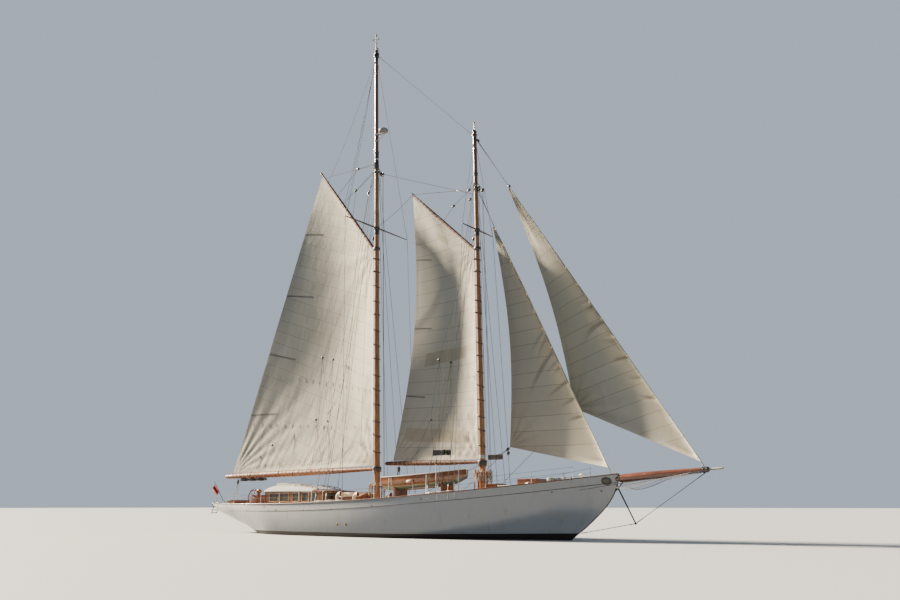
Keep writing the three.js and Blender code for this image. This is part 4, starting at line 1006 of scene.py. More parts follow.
for name, x0, x1 in (("deck_aft", -12.74, -4.0), ("deck_waist", -4.0, 4.5),
                     ("deck_fore", 4.5, 11.0)):
    add(name + "_planks", deck_form(x0, x1), DECK, stands_for=name)
board = [(THICK + 0.001, -BULWARK + 0.026), (THICK + 0.02, -BULWARK + 0.034),
         (THICK + 0.17, -BULWARK + 0.034), (THICK + 0.18, -BULWARK + 0.018),
         (THICK + 0.18, -BULWARK + 0.002), (THICK + 0.001, -BULWARK - 0.004)]
add("covering_board", rim_form(board), WHITE)

# %% [markdown]
# Both masts are turned poles that lean aft by a fixed share of their height. A mast keeps
# its thickness for a long way and then tapers. At the hounds it is cased in iron, and the
# pole above carries a cap band and a thin staff. Every size that belongs to one mast, and
# later to its boom, gaff and sail, is kept under that mast's name.

# %% Masts and their bands
MAIN = {"foot": -1.189, "rake": -0.0279, "deck_r": 0.155, "top_r": 0.092, "top": 25.76,
        "staff": 26.70, "hounds": 18.95, "collar": 3.03, "spread_z": 15.46, "spread": 2.47,
        "deck": 1.36}
FORE = {"foot": 4.95, "rake": -0.0184, "deck_r": 0.145, "top_r": 0.090, "top": 19.20,
        "staff": 19.60, "hounds": 16.25, "collar": 3.15, "spread_z": 14.14, "spread": 1.30,
        "deck": 1.70}
RIGS = {"main": MAIN, "fore": FORE}


def mast_at(mast, z, ahead=0.0, aside=0.0):
    """The mast's axis at height z, moved ahead and aside."""
    z = np.asarray(z, float)
    return spots(mast["foot"] + mast["rake"] * z + ahead, aside, z)


def mast_r(mast, z):
    """The radius falls evenly from 2 m over the water to the top."""
    return mast["deck_r"] + (mast["top_r"] - mast["deck_r"]) * (z - 2.0) / (mast["top"] - 2.0)


def mast_form(mast, low, high):
    z = np.linspace(low, high, 24)
    profile = [(s, mast_r(mast, h)) for s, h in zip((z - low) / (high - low), z)]
    return turned(mast_at(mast, low), mast_at(mast, high), profile, sides=36)


def band(mast, z, tall, proud):
    """An iron band round a mast with eased edges."""
    r = mast_r(mast, z)
    rows = [(0, r - 0.004), (0, r + proud * 0.6), (0.12, r + proud), (0.88, r + proud),
            (1, r + proud * 0.6), (1, r - 0.004)]
    return turned(mast_at(mast, z), mast_at(mast, z + tall), rows, 36)


STAFF = [(0, 0.046), (0.1, 0.040), (0.93, 0.026), (0.935, 0.050), (0.98, 0.050), (1, 0.02)]
for word, mast in RIGS.items():
    z, r, hounds, top = mast["collar"], mast_r(mast, 3), mast["hounds"], mast["top"]
    add(word + "_mast_pole", mast_form(mast, mast["deck"], hounds), SPAR, stands_for=word + "_mast")
    add(word + "_mast_upper", mast_form(mast, hounds - 0.002, top), MAST_WOOD)
    collar = [(0, r), (0, r + 0.06), (0.3, r + 0.075), (0.8, r + 0.075), (1, r + 0.06), (1, r)]
    add(word + "_mast_collar", turned(mast_at(mast, z - 0.08), mast_at(mast, z), collar, 36),
        DARK_SPAR)
    staff = turned(mast_at(mast, top + 0.05), mast_at(mast, mast["staff"] + 0.16), STAFF, 14)
    add(word + "_mast_iron", join(band(mast, hounds - 0.05, 0.12, 0.022),
                                  band(mast, hounds + 0.74, 0.11, 0.022),
                                  band(mast, top - 0.02, 0.09, 0.018), staff), BLACK)

# The thin long band at 25.2 m on the main mast is painted shade on the top of the mast; the other
# rows are iron bands.
DARK_BANDS = [(MAIN, 19.42, 0.36, 0.008), (MAIN, 18.82, 0.44, 0.008), (MAIN, 15.1, 0.36, 0.010),
              (MAIN, 25.2, 0.45, 0.003), (FORE, 13.85, 0.30, 0.008), (MAIN, 25.42, 0.10, 0.05),
              (MAIN, 25.58, 0.06, 0.06), (FORE, 19.02, 0.07, 0.045), (FORE, 18.8, 0.14, 0.010),
              (FORE, 16.9, 0.10, 0.010)]
add("mast_bands_and_painted_shade", join(*[band(*row) for row in DARK_BANDS]), BLACK)
add("mast_ring", join(band(MAIN, 19.31, 0.07, 0.012), band(FORE, 3.42, 0.16, 0.012)), WHITE)

# %% [markdown]
# The spreaders are thin tapered arms that hold the upper shrouds out. The bowsprit is thick
# where it leaves the bow and tapers to an iron end, from which guys run back to the rails.

# %% Spreaders and bowsprit
def spreader_form(mast):
    """Two tapered arms from a shaped boss ahead of the mast."""
    z, r = mast["spread_z"], mast_r(mast, mast["spread_z"])
    root = mast_at(mast, z, 0.06)
    arms = turned(root, root + pair(0, mast["spread"] - 0.014, 0),
                  [(0, 0.047), (0.06, 0.046), (0.5, 0.040), (0.97, 0.024), (1, 0.018)], 14)
    boss = [(0, r), (0, r + 0.045), (0.2, r + 0.055), (0.8, r + 0.055), (1, r + 0.045), (1, r)]
    return join(arms, turned(mast_at(mast, z - 0.06), mast_at(mast, z + 0.06), boss, 28))


for word, mast in RIGS.items():
    add(word + "_spreader_arms", spreader_form(mast), STAINED, stands_for=word + "_spreaders")

HEEL, END = np.array([10.15, 0, 2.33]), np.array([14.85, 0, 2.685])
SPRIT_WAY = unit(END - HEEL)


def along(s):
    """The point s metres beyond the bowsprit's end, along its axis."""
    return END + SPRIT_WAY * s


SPRIT = [(0, 0.095), (0.012, 0.105), (1.20, 0.105), (1.42, 0.155), (1.50, 0.165), (2.2, 0.165),
         (3.0, 0.150), (3.9, 0.122), (4.713, 0.095)]
CAP = [(0.0, 0.098), (0.004, 0.108), (0.04, 0.110), (0.22, 0.107), (0.258, 0.104), (0.262, 0.085),
       (0.29, 0.06)]
add("bowsprit_pole", turned(HEEL, END, SPRIT, 32, metres=True), DARK_SPAR,
    stands_for="bowsprit")
cap = turned(along(0.0003), along(0.3), CAP, 28, metres=True)
tip = turned(along(0.785), along(0.82), [(0, 0.036), (0.3, 0.040), (0.8, 0.036), (1, 0.015)], 16)
eyes = hoops([along(0.05), along(0.2)], SPRIT_WAY, 0.111, 0.012, 28)
guys = rods(along(0.12) + pair(0, 0.09, 0), pair(10.05, 0.79, 1.98), 0.009)
add("sprit_band", join(cap, tip, eyes, guys), BLACK, stands_for="bowsprit_band")
add("sprit_pole_end", turned(along(0.27), along(0.79), [(0, 0.044), (0.9, 0.036), (1, 0.032)], 16),
    CREAM)

# %% [markdown]
# The boom and the gaff are round spars that swing together with the sail between them, so
# their pieces ride on one rig. Both start as iron jaws round the mast. A spar's axis is set
# out in the plane that its swing has turned: metres behind the mast, and height. Whatever
# hangs on a spar is placed by its own metres behind the mast.

# %% Booms and gaffs
MAIN.update(swing=3, gaff_swing=8, boom=[3.127, (11.77, 2.99)], rad=0.165, gaff_rad=0.083,
            clew=11.2, throat=14.26, peak=4.726, peak_z=19.80)
FORE.update(swing=3, gaff_swing=10, boom=[3.273, (5.85, 3.38)], rad=0.125, gaff_rad=0.072,
            clew=5.39, throat=13.15, peak=4.59, peak_z=17.16)


def swung(mast, r, z, degrees):
    """The point r behind the mast's axis at height z, turned to port by an angle."""
    a = np.radians(degrees)
    return spots(mast["foot"] + mast["rake"] * z - r * np.cos(a), r * np.sin(a), z)


def boom_line(mast):
    low, high = mast["boom"]
    return (mast_r(mast, 3.0) + 0.04, low), high


def gaff_line(mast):
    throat = mast["throat"]
    return (mast_r(mast, throat) + 0.03, throat + 0.06), (mast["peak"] + 0.06, mast["peak_z"] + 0.1)


def on_spar(mast, line, swing, r, above, aside):
    """The point r behind the mast on a spar's axis, moved up square to it, and aside."""
    start, end = (swung(mast, rad, z, swing) for rad, z in line)
    run = end - start
    share = (np.asarray(r, float) - line[0][0]) / (line[1][0] - line[0][0])
    lift = np.asarray(above * np.linalg.norm(run) / np.hypot(run[0], run[1]))
    side = np.cross([0, 0, 1], unit(run)) * -1
    return start + share[..., None] * run + np.array([0, 0, 1]) * lift[..., None] + side * aside


def on_boom(mast, r, above=0.0, aside=0.0):
    return on_spar(mast, boom_line(mast), mast["swing"], r, above, aside)


def on_gaff(mast, r, above=0.0):
    return on_spar(mast, gaff_line(mast), mast["gaff_swing"], r, above, 0.0)


BOOM_SHAPE = np.array([(0.004, 0.52), (0.15, 0.72), (0.32, 0.94), (0.5, 1), (0.75, 0.95),
                       (0.99, 0.74), (1, 0.66)])
GAFF_SHAPE = np.array([(0.004, 0.9), (0.08, 1), (0.5, 1), (0.75, 0.84), (0.99, 0.6), (1, 0.5)])
GAFF_TIP = np.array([(0.978, 0.70), (0.979, 0.78), (1.004, 0.70), (1.005, 0.4)])


def boom_r(mast, r):
    """The boom's radius r metres behind the mast: thin at its jaws, thick in the middle."""
    start, end = mast_r(MAIN, 3.0) + 0.04, mast["boom"][1][0]
    return mast["rad"] * np.interp((np.asarray(r, float) - start) / (end - start), *BOOM_SHAPE.T)


def spar_form(mast, line, swing, shape):
    """A spar whose shape's radii are shares of its thickness."""
    start, end = (swung(mast, rad, z, swing) for rad, z in line)
    return turned(start, end, shape, 28)


def jaws(mast, z, r, tall):
    """A ring round the mast with eased edges and a bore 7.5 mm clear of it."""
    bore = mast_r(mast, z) + 0.0075
    rows = [(0, bore), (0, r - 0.01), (0.12, r), (0.88, r), (1, r - 0.01), (1, bore)]
    return bored(mast_at(mast, z), mast_at(mast, z + tall), rows)


for word, mast in RIGS.items():
    rig, throat, thick = word + "_rig", mast["throat"], [1, mast["gaff_rad"]]
    foot = mast["collar"] / np.hypot(1, mast["rake"]) + 0.0003
    add(word + "_boom_pole", spar_form(mast, boom_line(mast), mast["swing"],
                                       BOOM_SHAPE * [1, mast["rad"]]),
        BOOM_WOOD if word == "main" else GAFF_WOOD, rig, stands_for=word + "_boom")
    add(word + "_boom_jaws", jaws(mast, foot, mast_r(mast, 3) + 0.075, 0.19), BLACK, rig)
    add(word + "_gaff_pole", spar_form(mast, gaff_line(mast), mast["gaff_swing"],
                                       GAFF_SHAPE * thick), GAFF_WOOD, rig,
        stands_for=word + "_gaff")
    add(word + "_gaff_end", spar_form(mast, gaff_line(mast), mast["gaff_swing"], GAFF_TIP * thick),
        BLACK, rig)
    add(word + "_gaff_jaws", jaws(mast, throat, mast_r(mast, throat) + 0.06, 0.15), BLACK, rig)

# %% [markdown]
# A sail's cloth is two faces a few millimetres apart, joined round their edge. Its shape is
# a patch between its four corners, pushed to port by the wind: most at the middle of the
# height, and nearer the mast than the after edge. The fine folds come on top. The same
# function makes all four sails, since a headsail is a gaff sail whose head is almost a
# point. Its marks tell the finish where the hems and the corner patches lie, and where
# the hollows of the folds take painted shade. Its flat size, the cut, is printed.

# %% Sails
HALF_CLOTH = np.array([0, 0.0028, 0])


def sail_form(corners, depth, leech, rows, columns, folds, name, draft=0.8):
    """A sail's two faces and its edge. The point at u up the sail and v aft of the mast is
    the blend of its four corners, pushed to port by depth times the sine of v to the power
    draft and the 0.7 power of the sine of u, plus leech times v to the 1.6 and the sine of
    u. folds adds its own push, and where its second differences are negative the cloth gets
    a mark for painted shade in the hollow of the fold."""
    tack, clew, throat, peak = corners
    u, v = np.meshgrid(np.linspace(0, 1, rows), np.linspace(0, 1, columns), indexing="ij")
    u3, v3 = u[..., None], v[..., None]
    luff, after = tack + (throat - tack) * u3, clew + (peak - clew) * u3
    p = luff + (after - luff) * v3
    full = np.sin(np.pi * u)
    push = depth * np.sin(np.pi * v ** draft) * np.maximum(full, 0) ** 0.7 + leech * v ** 1.6 * full
    p[..., 1] += push
    width = np.linalg.norm(after - luff, axis=-1)
    height = np.linalg.norm(throat - tack) * (1 - v) + np.linalg.norm(peak - clew) * v
    edge = np.minimum.reduce([v * width, (1 - v) * width, u * height, (1 - u) * height])
    fold = folds(u, v, width, height) * np.clip(edge / 0.25, 0, 1)
    p[..., 1] += fold
    # Where the folds curve inwards, a mark paints shade into the hollow.
    bend = sum(np.gradient(np.gradient(fold, axis=k), axis=k) * (n / m) ** 2
               for k, n, m in ((0, rows - 1, height), (1, columns - 1, width)))
    valley = np.clip(-bend / 5, 0, 1) * np.clip((width - 0.6) / 1.5, 0, 1)
    gap = np.stack([np.linalg.norm(p - c, axis=-1) for c in corners])
    corner = np.minimum.reduce([gap[0] * 1.15, gap[1] * 0.8, gap[2] * 1.2, gap[3]])
    up, back = unit(peak - clew), unit(clew - tack)
    square = unit(back - up * (back @ up))
    plan = np.stack([(clew - p) @ square, (p - clew) @ up], -1)
    both = lambda a: np.concatenate([a, a[:, ::-1]], 1)
    points = np.concatenate([p + HALF_CLOTH, (p - HALF_CLOTH)[:, ::-1]], 1)
    marks = {word: both(value) for word, value in (("edge", edge), ("corner", corner),
                                                   ("valley", valley))}
    across, down = np.diff(p[:, :-1], axis=0), np.diff(p[:-1], axis=1)
    area = float(np.linalg.norm(np.cross(across, down), axis=-1).sum())
    cut = tuple(float(np.ptp(plan[..., k])) for k in (0, 1))
    print(f"{name}: {area:.1f} square metres of cloth in a {cut[0]:.1f} by {cut[1]:.1f} m cut")
    return closed(points, uv=both(plan)), marks, cut, min(area, cut[0] * cut[1]), p


def gaff_corners(mast):
    """Tack, clew, throat and peak, 3 mm clear of the spars."""
    luff = mast_r(mast, 8.0) + 0.09
    above, below = mast["rad"] + 0.0032, -mast["gaff_rad"] - 0.0032
    return (on_boom(mast, luff + 0.04, above), on_boom(mast, mast["clew"], above),
            on_gaff(mast, luff, below), on_gaff(mast, mast["peak"] - 0.04, below))


def fan(x, y, count, turn=0.0):
    """Waves round a corner, where x and y are the distances from it along and up."""
    return np.sin(np.arctan2(x, y + 0.01) * count + turn)


def gaff_folds(hoops_up, size):
    """Pulls that fan from the throat and the clew, puckers at the hoops, slow waves, and
    ripples that lean forward along the foot."""
    def folds(u, v, width, height):
        x, y, back, down = v * width, u * height, (1 - v) * width, (1 - u) * height
        away, low, tack = np.hypot(x, down), np.hypot(back, y), np.hypot(x, y)
        pull = 0.020 * fan(x, down, 26) * np.exp(-away / (4.5 * size)) * np.clip(away / 0.5, 0, 1)
        low_fan = 0.020 * fan(y, back, 22, 0.5) * np.exp(-low / (3.5 * size))
        pull = pull + low_fan * np.clip(low / 0.5, 0, 1)
        pucker = 0.022 * np.cos(2 * np.pi * u * hoops_up) * np.exp(-x / 0.55)
        sag = 0.03 * fan(y, x, 14) * np.exp(-tack / (2.6 * size)) * np.clip(tack / 0.6, 0, 1)
        wave = 0.020 * size * np.sin(5.2 * v + 4.0 * u) * np.sin(9 * u + 2 * v)
        slant = x + 0.6 * y
        ripple = np.sin(slant * 11.4 + 1.5 * np.sin(slant)) * (0.6 + 0.4 * np.sin(slant * 1.7))
        return pull + pucker + wave + 0.011 * ripple * np.exp(-y / 1.4) + sag
    return folds


SAILS = {}
for word, depth, leech, up, size in (("main", 0.65, 0.0, 13, 1.0), ("fore", 0.45, 0.9, 12, 0.6)):
    corners = gaff_corners(RIGS[word])
    form, marks, cut, area, spread = sail_form(corners, depth, leech, 150, 110,
                                               gaff_folds(up, size), word + "sail")
    piece = add(word + "sail_cloth", form, CANVAS, word + "_rig", stands_for=word + "sail",
                smooth=60, marks=marks)
    SAILS[word] = (corners, spread, piece, cut, area)

# %% [markdown]
# The two headsails are three cornered. Each is hanked to its stay and pulled aft by its
# clew, with a hollow after edge that twists open towards its head. Sharp pulls run from the
# luff towards the clew, where a hank takes more than its share of the load.

# %% Headsails
PULLS = [(0.52, 2.6, -0.09), (0.455, 4.6, 0.12), (0.40, 1.6, -0.07), (0.33, 2.2, 0.08),
         (0.26, 1.4, 0.06), (0.19, 1.3, 0.06)]


def head_corners(top, foot, tack_z, head_z, clew):
    """The corners of a sail hanked to the line from foot to top, 9 mm behind it."""
    way = unit(top - foot)
    off = np.array([-way[2], 0, way[0]]) * 0.0094
    on = lambda z: foot + way * (z - foot[2]) / way[2] + off
    return on(tack_z), np.array(clew), on(head_z), on(head_z) + [-0.07, 0.025, -0.04]


def creases(u, v, width, height):
    """Each pull is a ridge whose height falls off as a bell with the distance from its
    line. A pull is its start up the luff, its length and its height."""
    x, y = v * width - 0.2, u * height
    foot, luff = width[0, 0], height[0, 0]
    total = 0 * x
    for start, long, tall in PULLS:
        way = unit(np.array([foot - 0.2, -start * luff]))
        go, off = x * way[0] + (y - start * luff) * way[1], x * way[1] - (y - start * luff) * way[0]
        fade = np.clip(go / 0.3, 0, 1) * np.clip((long - go) / (0.6 * long), 0, 1)
        total = total + tall * np.exp(-(off / (0.05 + 0.03 * go)) ** 2) * fade
    return total


def head_folds(hanks):
    """Scallops between the hanks, pulls from the clew and the head, a belly close behind
    the stay, slow waves and creases."""
    def folds(u, v, width, height):
        x, y, back = v * width, u * height, (1 - v) * width
        low = np.hypot(back, y)
        scallop = 0.020 * np.cos(2 * np.pi * u * hanks) * np.exp(-x / 0.4)
        head = 0.016 * np.sin(v * 16) * np.exp(-(1 - u) * height / 3.5)
        pull = 0.018 * fan(y, back, 18) * np.exp(-low / 2.8) * np.clip(low / 0.5, 0, 1)
        wave = 0.014 * np.sin(6 * v + 7 * u) * np.sin(5 * u)
        belly = 0.08 * (1 + 1.7 * (1 - u) ** 2) * x / 0.35 * np.exp(1 - x / 0.35)
        belly = belly * np.clip((width - 1.0) / 2.2, 0, 1)
        return scallop + head + pull + wave + belly + creases(u, v, width, height)
    return folds


JIB_TOP, STAY_TOP = mast_at(FORE, 18.95), mast_at(FORE, 16.35)
STAY_FOOT = np.array([11.18, 0, float(sheer(11.18)) - 0.12])
JIB_FOOT = along(0.14) + [0, 0, 0.076]
for word, stay, corners, depth, leech, up in (
        ("staysail", "fore_stay", head_corners(STAY_TOP, STAY_FOOT, 2.88, 14.17, [5.6, 1.2, 3.97]),
         0.38, 0.7, 12),
        ("jib", "jib_stay", head_corners(JIB_TOP, JIB_FOOT, 3.01, 15.89, [9.05, 1.0, 5.48]), 0.45,
         0.8, 14)):
    form, marks, cut, area, spread = sail_form(corners, depth, leech, 180, 110, head_folds(up),
                                               word, 0.4)
    piece = add(word + "_cloth", form, CANVAS, stands_for=word, smooth=60, marks=marks)
    SAILS[word] = (corners, spread)

# %% [markdown]
# Standing rigging is wire that never moves. Each lower shroud runs from the hounds to its
# turnbuckle at the rail, and the upper one bends over the spreader's tip. A turnbuckle is
# a barrel between two forks. The eyes at both ends are served, so the wire is thicker
# there.

# %% Shrouds
CHAINPLATES = {"main": [-2.75, -2.05, -1.35, -1.0], "fore": [3.65, 4.15, 4.65, 4.95]}
BUCKLE = [(0.0, 0.010), (0.03, 0.014), (0.045, 0.022), (0.06, 0.016), (0.075, 0.021), (0.21, 0.021),
          (0.225, 0.016), (0.24, 0.022), (0.255, 0.014), (0.29, 0.009)]


def wire_form(starts, ends, r=0.009, served=0.5):
    """Straight wires whose ends are a third thicker for a served length."""
    made = []
    for a, b in zip(np.atleast_2d(starts), np.atleast_2d(ends)):
        long = float(np.linalg.norm(b - a))
        s, thick = min(served, long / 4), r * 1.35
        rows = [(0, thick), (s, thick), (s + 0.05, r), (long - s - 0.05, r), (long - s, thick),
                (long, thick)]
        made.append(turned(a, b, rows, 8, metres=True))
    return join(*made)


for word, mast in RIGS.items():
    for hand, side in SIDES.items():
        feet = rail_foot(CHAINPLATES[word], side, -0.005, 0.028)
        top, out = mast_at(mast, mast["hounds"] + 0.3), np.array([0, side, 0])
        tip = mast_at(mast, mast["spread_z"], 0.06) + out * mast["spread"]
        heads = np.array([top, top, top, tip])
        ways = unit(heads - feet)
        begin = heads.copy()
        begin[:3] -= unit((heads - feet)[:3] * [1, 1, 0]) * (mast_r(mast, mast["hounds"]) - 0.01)
        high = mast_at(mast, mast["top"] - 0.5) + out * (mast_r(mast, mast["top"]) - 0.01)
        add(f"{word}_shroud_wires_{hand}",
            join(wire_form(feet + ways * 0.33, begin), wire_form(tip, high)), WIRE,
            stands_for=f"{word}_shrouds_{hand}")
        gaps = np.diff(feet, axis=0)
        buckles = turned(feet + ways * 0.04, feet + ways * 0.33, BUCKLE, 12, metres=True)
        pins = rods(feet - ways * 0.03, feet + ways * 0.06, 0.013, sides=10)
        channel = boxes((feet[1:] + feet[:-1]) / 2,
                        spots(np.linalg.norm(gaps, axis=1) + 0.05, 0.05, 0.034), ahead=gaps)
        straps = boxes(feet - [0, 0, 0.16], (0.045, 0.012, 0.30), ease=0.003)
        knob = turned(tip - out * 0.035, tip + out * 0.022,
                      [(0, 0.012), (0.15, 0.024), (0.8, 0.026), (1, 0.010)], 14)
        add(f"{word}_turnbuckles_{hand}", join(buckles, pins, channel, straps, knob), STEEL)

# %% [markdown]
# The stays run fore and aft in the middle plane. The jib stay and the fore stay carry the
# headsails. The bobstay holds the bowsprit down, and a strut spreads it.

# %% Stays
for name, foot, top, foot_gap, top_gap, served in (
        ("jib_stay", JIB_FOOT, JIB_TOP, 0.03, 0.06, 0.6),
        ("fore_stay", STAY_FOOT, STAY_TOP, 0.1, 0.1, 0.6),
        ("head_stay", mast_at(MAIN, 25.6), mast_at(FORE, 18.98), 0.09, 0.09, 0.7),
        ("spring_stay", mast_at(MAIN, 18.6), mast_at(FORE, 15.95), 0.12, 0.10, 0.7)):
    way = unit(top - foot)
    add(name + "_wire", wire_form(foot + way * foot_gap, top - way * top_gap, served=served), WIRE,
        stands_for=name)
jib_way, stay_way = unit(JIB_TOP - JIB_FOOT), unit(STAY_TOP - STAY_FOOT)
screw = top - way * [[1.25], [0.92]]
fittings = turned(screw[0], screw[1],
                  [(0, 0.012), (0.1, 0.018), (0.16, 0.030), (0.84, 0.030), (0.9, 0.018),
                   (1, 0.012)], 14)
rings = hoops([JIB_FOOT + jib_way * 0.12, STAY_FOOT + stay_way * 0.30], [0, 1, 0], 0.035, 0.011,
              20, 8)
add("stay_fittings", join(fittings, rings), STEEL)

STRIKER, BOB_FOOT = np.array([12.06, 0, 0.70]), np.array([9.56, 0, 0.27])
BOB_TOP = along(0.13) - [0, 0, 0.104]
strut = turned([11.30, 0, 2.23], STRIKER,
               [(0, 0.036), (0.04, 0.042), (0.08, 0.034), (0.9, 0.028), (1, 0.028)], 18)
nose = turned(STRIKER + [0, 0, 0.05], STRIKER - [0, 0, 0.05],
              [(0, 0.012), (0.15, 0.032), (0.5, 0.046), (0.85, 0.032), (1, 0.01)], 18)
stay = join(wire_form(BOB_FOOT + unit(STRIKER - BOB_FOOT) * 0.13, STRIKER, 0.013, 0.25),
            wire_form(STRIKER, BOB_TOP, 0.013, 0.35))
add("striker_and_bobstay", join(strut, nose, stay), BLACK, stands_for="bobstay")

# %% [markdown]
# Wooden hoops hold each gaff sail to its mast. A hoop rings the mast loosely and is lashed
# to the sail behind it, so it is a circle wider than the mast and set back from it, and it
# droops a little ahead. Along the stays the headsails have bronze snap hanks.

# %% Hoops, hanks and lashings
def hoop_form(mast, swing, heights):
    """Rings that hold the luff close to the mast, each tilted its own way."""
    luff, front = mast_r(mast, 8.0) + 0.09, mast_r(mast, heights) + 0.012
    a = np.radians(swing)
    back = np.array([-np.cos(a), np.sin(a), 0])
    centres = mast_at(mast, heights) + back * ((luff - front) / 2)[:, None]
    tilt = 0.33 + 0.11 * np.sin(np.arange(len(heights)) * 1.9)
    radius = ((luff + front) / 2 + 0.012) * np.hypot(tilt, 1)
    return hoops(centres, spots(tilt, 0.1 * tilt, 1), radius, 0.018, 28, 6, 1.6)


for word, low, high, swing, on_foot, on_head in (("main", 3.95, 13.85, 4, 34, 20),
                                                 ("fore", 4.0, 12.75, 5, 18, 17)):
    mast = RIGS[word]
    heights = np.linspace(low, high, 14) + 0.05 * np.sin(np.arange(14) * 2.3)
    add(word + "_mast_hoops", hoop_form(mast, swing, heights), HOOP_WOOD, word + "_rig")
    r = np.linspace(0.35, mast["clew"] - 0.1, on_foot)
    foot, head = on_boom(mast, r), on_gaff(mast, np.linspace(0.45, mast["peak"] - 0.1, on_head))
    tied = join(hoops(foot, foot[-1] - foot[0], boom_r(mast, r) + 0.004, 0.007, 20, 5),
                hoops(head, head[-1] - head[0], mast["gaff_rad"] + 0.004, 0.006, 20, 5))
    add(word + "sail_lacing", tied, ROPE, word + "_rig")

for word, top, foot, tack_z, head_z, count in (("staysail", STAY_TOP, STAY_FOOT, 2.98, 14.0, 14),
                                               ("jib", JIB_TOP, JIB_FOOT, 3.15, 15.7, 16)):
    z = np.linspace(tack_z, head_z, count)
    on, way = foot + (top - foot) * ((z - foot[2]) / (top[2] - foot[2]))[:, None], unit(top - foot)
    body = turned(on - way * 0.045, on + way * 0.045, pin(0.012, 0.018), 10)
    add(word + "_hanks", join(body, hoops(on - [0.035, 0, 0.012], [0, 1, 0], 0.022, 0.006, 14, 5)),
        BRONZE)

# %% [markdown]
# The deckhouse is varnished joinery: solid walls with windows cut through, each window
# with a pale varnished frame that stands a little proud and a pane set back in it. The
# walls keep the frame's own solid.

# %% Deckhouse
HOUSE_AFT, HOUSE_FORE, HOUSE_HALF, SILL, LINTEL = -7.80, -3.80, 1.15, 1.60, 2.01
MID, TALL = (SILL + LINTEL) / 2, LINTEL - SILL
WINDOWS = np.array([[-7.48, -6.86], [-6.74, -6.12], [-5.83, -5.35], [-5.15, -4.70], [-4.50, -4.05]])


def dress(node, finish):
    """Gives a solid of the frame its finish and keeps its shape."""
    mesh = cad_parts[node].data
    mesh.materials.clear()
    mesh.materials.append(finish)


def window_frame(x0, x1, side, wide=0.045, proud=0.016):
    """Four eased boards round an opening in the side wall."""
    x, at, inset = (x0 + x1) / 2, side * (HOUSE_HALF + proud / 2 - 0.002), wide / 2 - 0.008
    level = boxes([[x, at, SILL - inset], [x, at, LINTEL + inset]],
                  (x1 - x0 + 2 * wide - 0.016, proud + 0.004, wide), ease=0.004)
    upright = boxes([[x0 - inset, at, MID], [x1 + inset, at, MID]], (wide, proud, TALL - 0.002),
                    ease=0.004)
    return join(level, upright)


dress("deckhouse", HOUSE_WOOD)
frames_made, panes, bars = [], [], []
for side in SIDES.values():
    frames_made += [window_frame(x0, x1, side) for x0, x1 in WINDOWS]
    centres = spots(WINDOWS.mean(1), side * (HOUSE_HALF - 0.024), MID)
    panes.append(boxes(centres, spots(np.ptp(WINDOWS, axis=1) + 0.004, 0.008, TALL + 0.004),
                       ease=0.001))
    bars.append(boxes(centres[:2] + [0, side * 0.012, 0], (0.022, 0.016, TALL), ease=0.003))
panes.append(boxes(pair(HOUSE_FORE - 0.024, 0.56, MID), (0.008, 0.664, 0.414), ease=0.001))
for y in (0.56, -0.56):
    x = HOUSE_FORE + 0.006
    frames_made += [boxes([[x, y, SILL - 0.015], [x, y, LINTEL + 0.015]], (0.018, 0.74, 0.045),
                          ease=0.004),
                    boxes([[x, y - 0.345, MID], [x, y + 0.345, MID]], (0.016, 0.045, 0.40),
                          ease=0.004)]
LIGHT_WOOD = varnish_finish("light_varnish", (0.72, 0.44, 0.16), (0.50, 0.24, 0.07), "X", 0.24, 0.7)
add("window_frames", join(*frames_made, *bars), LIGHT_WOOD)
add("window_panes", join(*panes), GLASS)

posts = boxes([[x, y, 1.69] for x in (HOUSE_AFT - 0.002, HOUSE_FORE + 0.002)
               for y in (1.152, -1.152)], (0.07, 0.07, 0.78), ease=0.018)
joints = np.linspace(HOUSE_AFT, HOUSE_FORE, 9)
middle = (joints[1:] + joints[:-1]) / 2
skirt = [boxes(spots(middle, y, deck_at(middle, 1.16) + 0.04), (0.501, 0.028, 0.09))
         for y in (-1.158, 1.158)]
eaves = boxes(pair(-5.8, -1.156, 2.052), (4.0, 0.02, 0.035), ease=0.005)
add("house_corner_posts", posts, UPRIGHT)
add("house_mouldings", join(*skirt, eaves), JOINERY)

# %% [markdown]
# The roof is a loft of arches, lower at both ends and at its sides. It is one cambered
# white shell with a thick rounded edge, so its section is an arch whose ends turn down and
# back under. White rails carry the sliding hatch, and a scalloped grab rail runs along
# each side.

# %% Roof
ROOF = np.array([[-7.88, 2.085, 2.27], [-7.7, 2.09, 2.33], [-6.6, 2.095, 2.35], [-5.5, 2.09, 2.32],
                 [-4.7, 2.08, 2.22], [-4.2, 2.07, 2.11], [-3.7, 2.055, 2.07]])
ROOF_THICK, ROOF_HALF, ROOF_EDGE, ARCH = 0.045, 1.22, 0.028, 5.0


def arch_at(x, share):
    """Height of the roof's underside at x, and at a share of the way out to its edge: the
    crown, less what the eave lies lower times the fifth power of the share."""
    eave, crown = (fair(ROOF[:, 0], ROOF[:, c], x) for c in (1, 2))
    return crown - (crown - eave) * np.abs(share) ** ARCH


def roof_form(x):
    """For each x, a ring: the arch above, a half round edge, and the arch below."""
    x = x[:, None]
    near = np.clip(np.minimum(x - ROOF[0, 0], ROOF[-1, 0] - x) / 0.04, 0, 1)
    round_off = ROOF_EDGE * (1 - np.sqrt(1 - (1 - near) ** 2))
    y, half = np.linspace(-1, 1, 41), ROOF_HALF - ROOF_EDGE
    arch = arch_at(x, y)
    top = spots(x, y * half, arch + ROOF_THICK - round_off)
    low = top.copy()
    low[..., 2] = arch + round_off * 0.5
    a = np.linspace(np.pi / 2, -np.pi / 2, 9)[1:-1]
    edge_z = np.where(np.sin(a) > 0, -ROOF_EDGE + ROOF_EDGE * np.sin(a), -0.062 + 0.012 * np.sin(a))
    right = spots(x, half + ROOF_EDGE * np.cos(a), top[:, -1:, 2] + edge_z)
    return closed(np.concatenate([top, right, low[:, ::-1], right[:, ::-1] * [1, -1, 1]], 1))


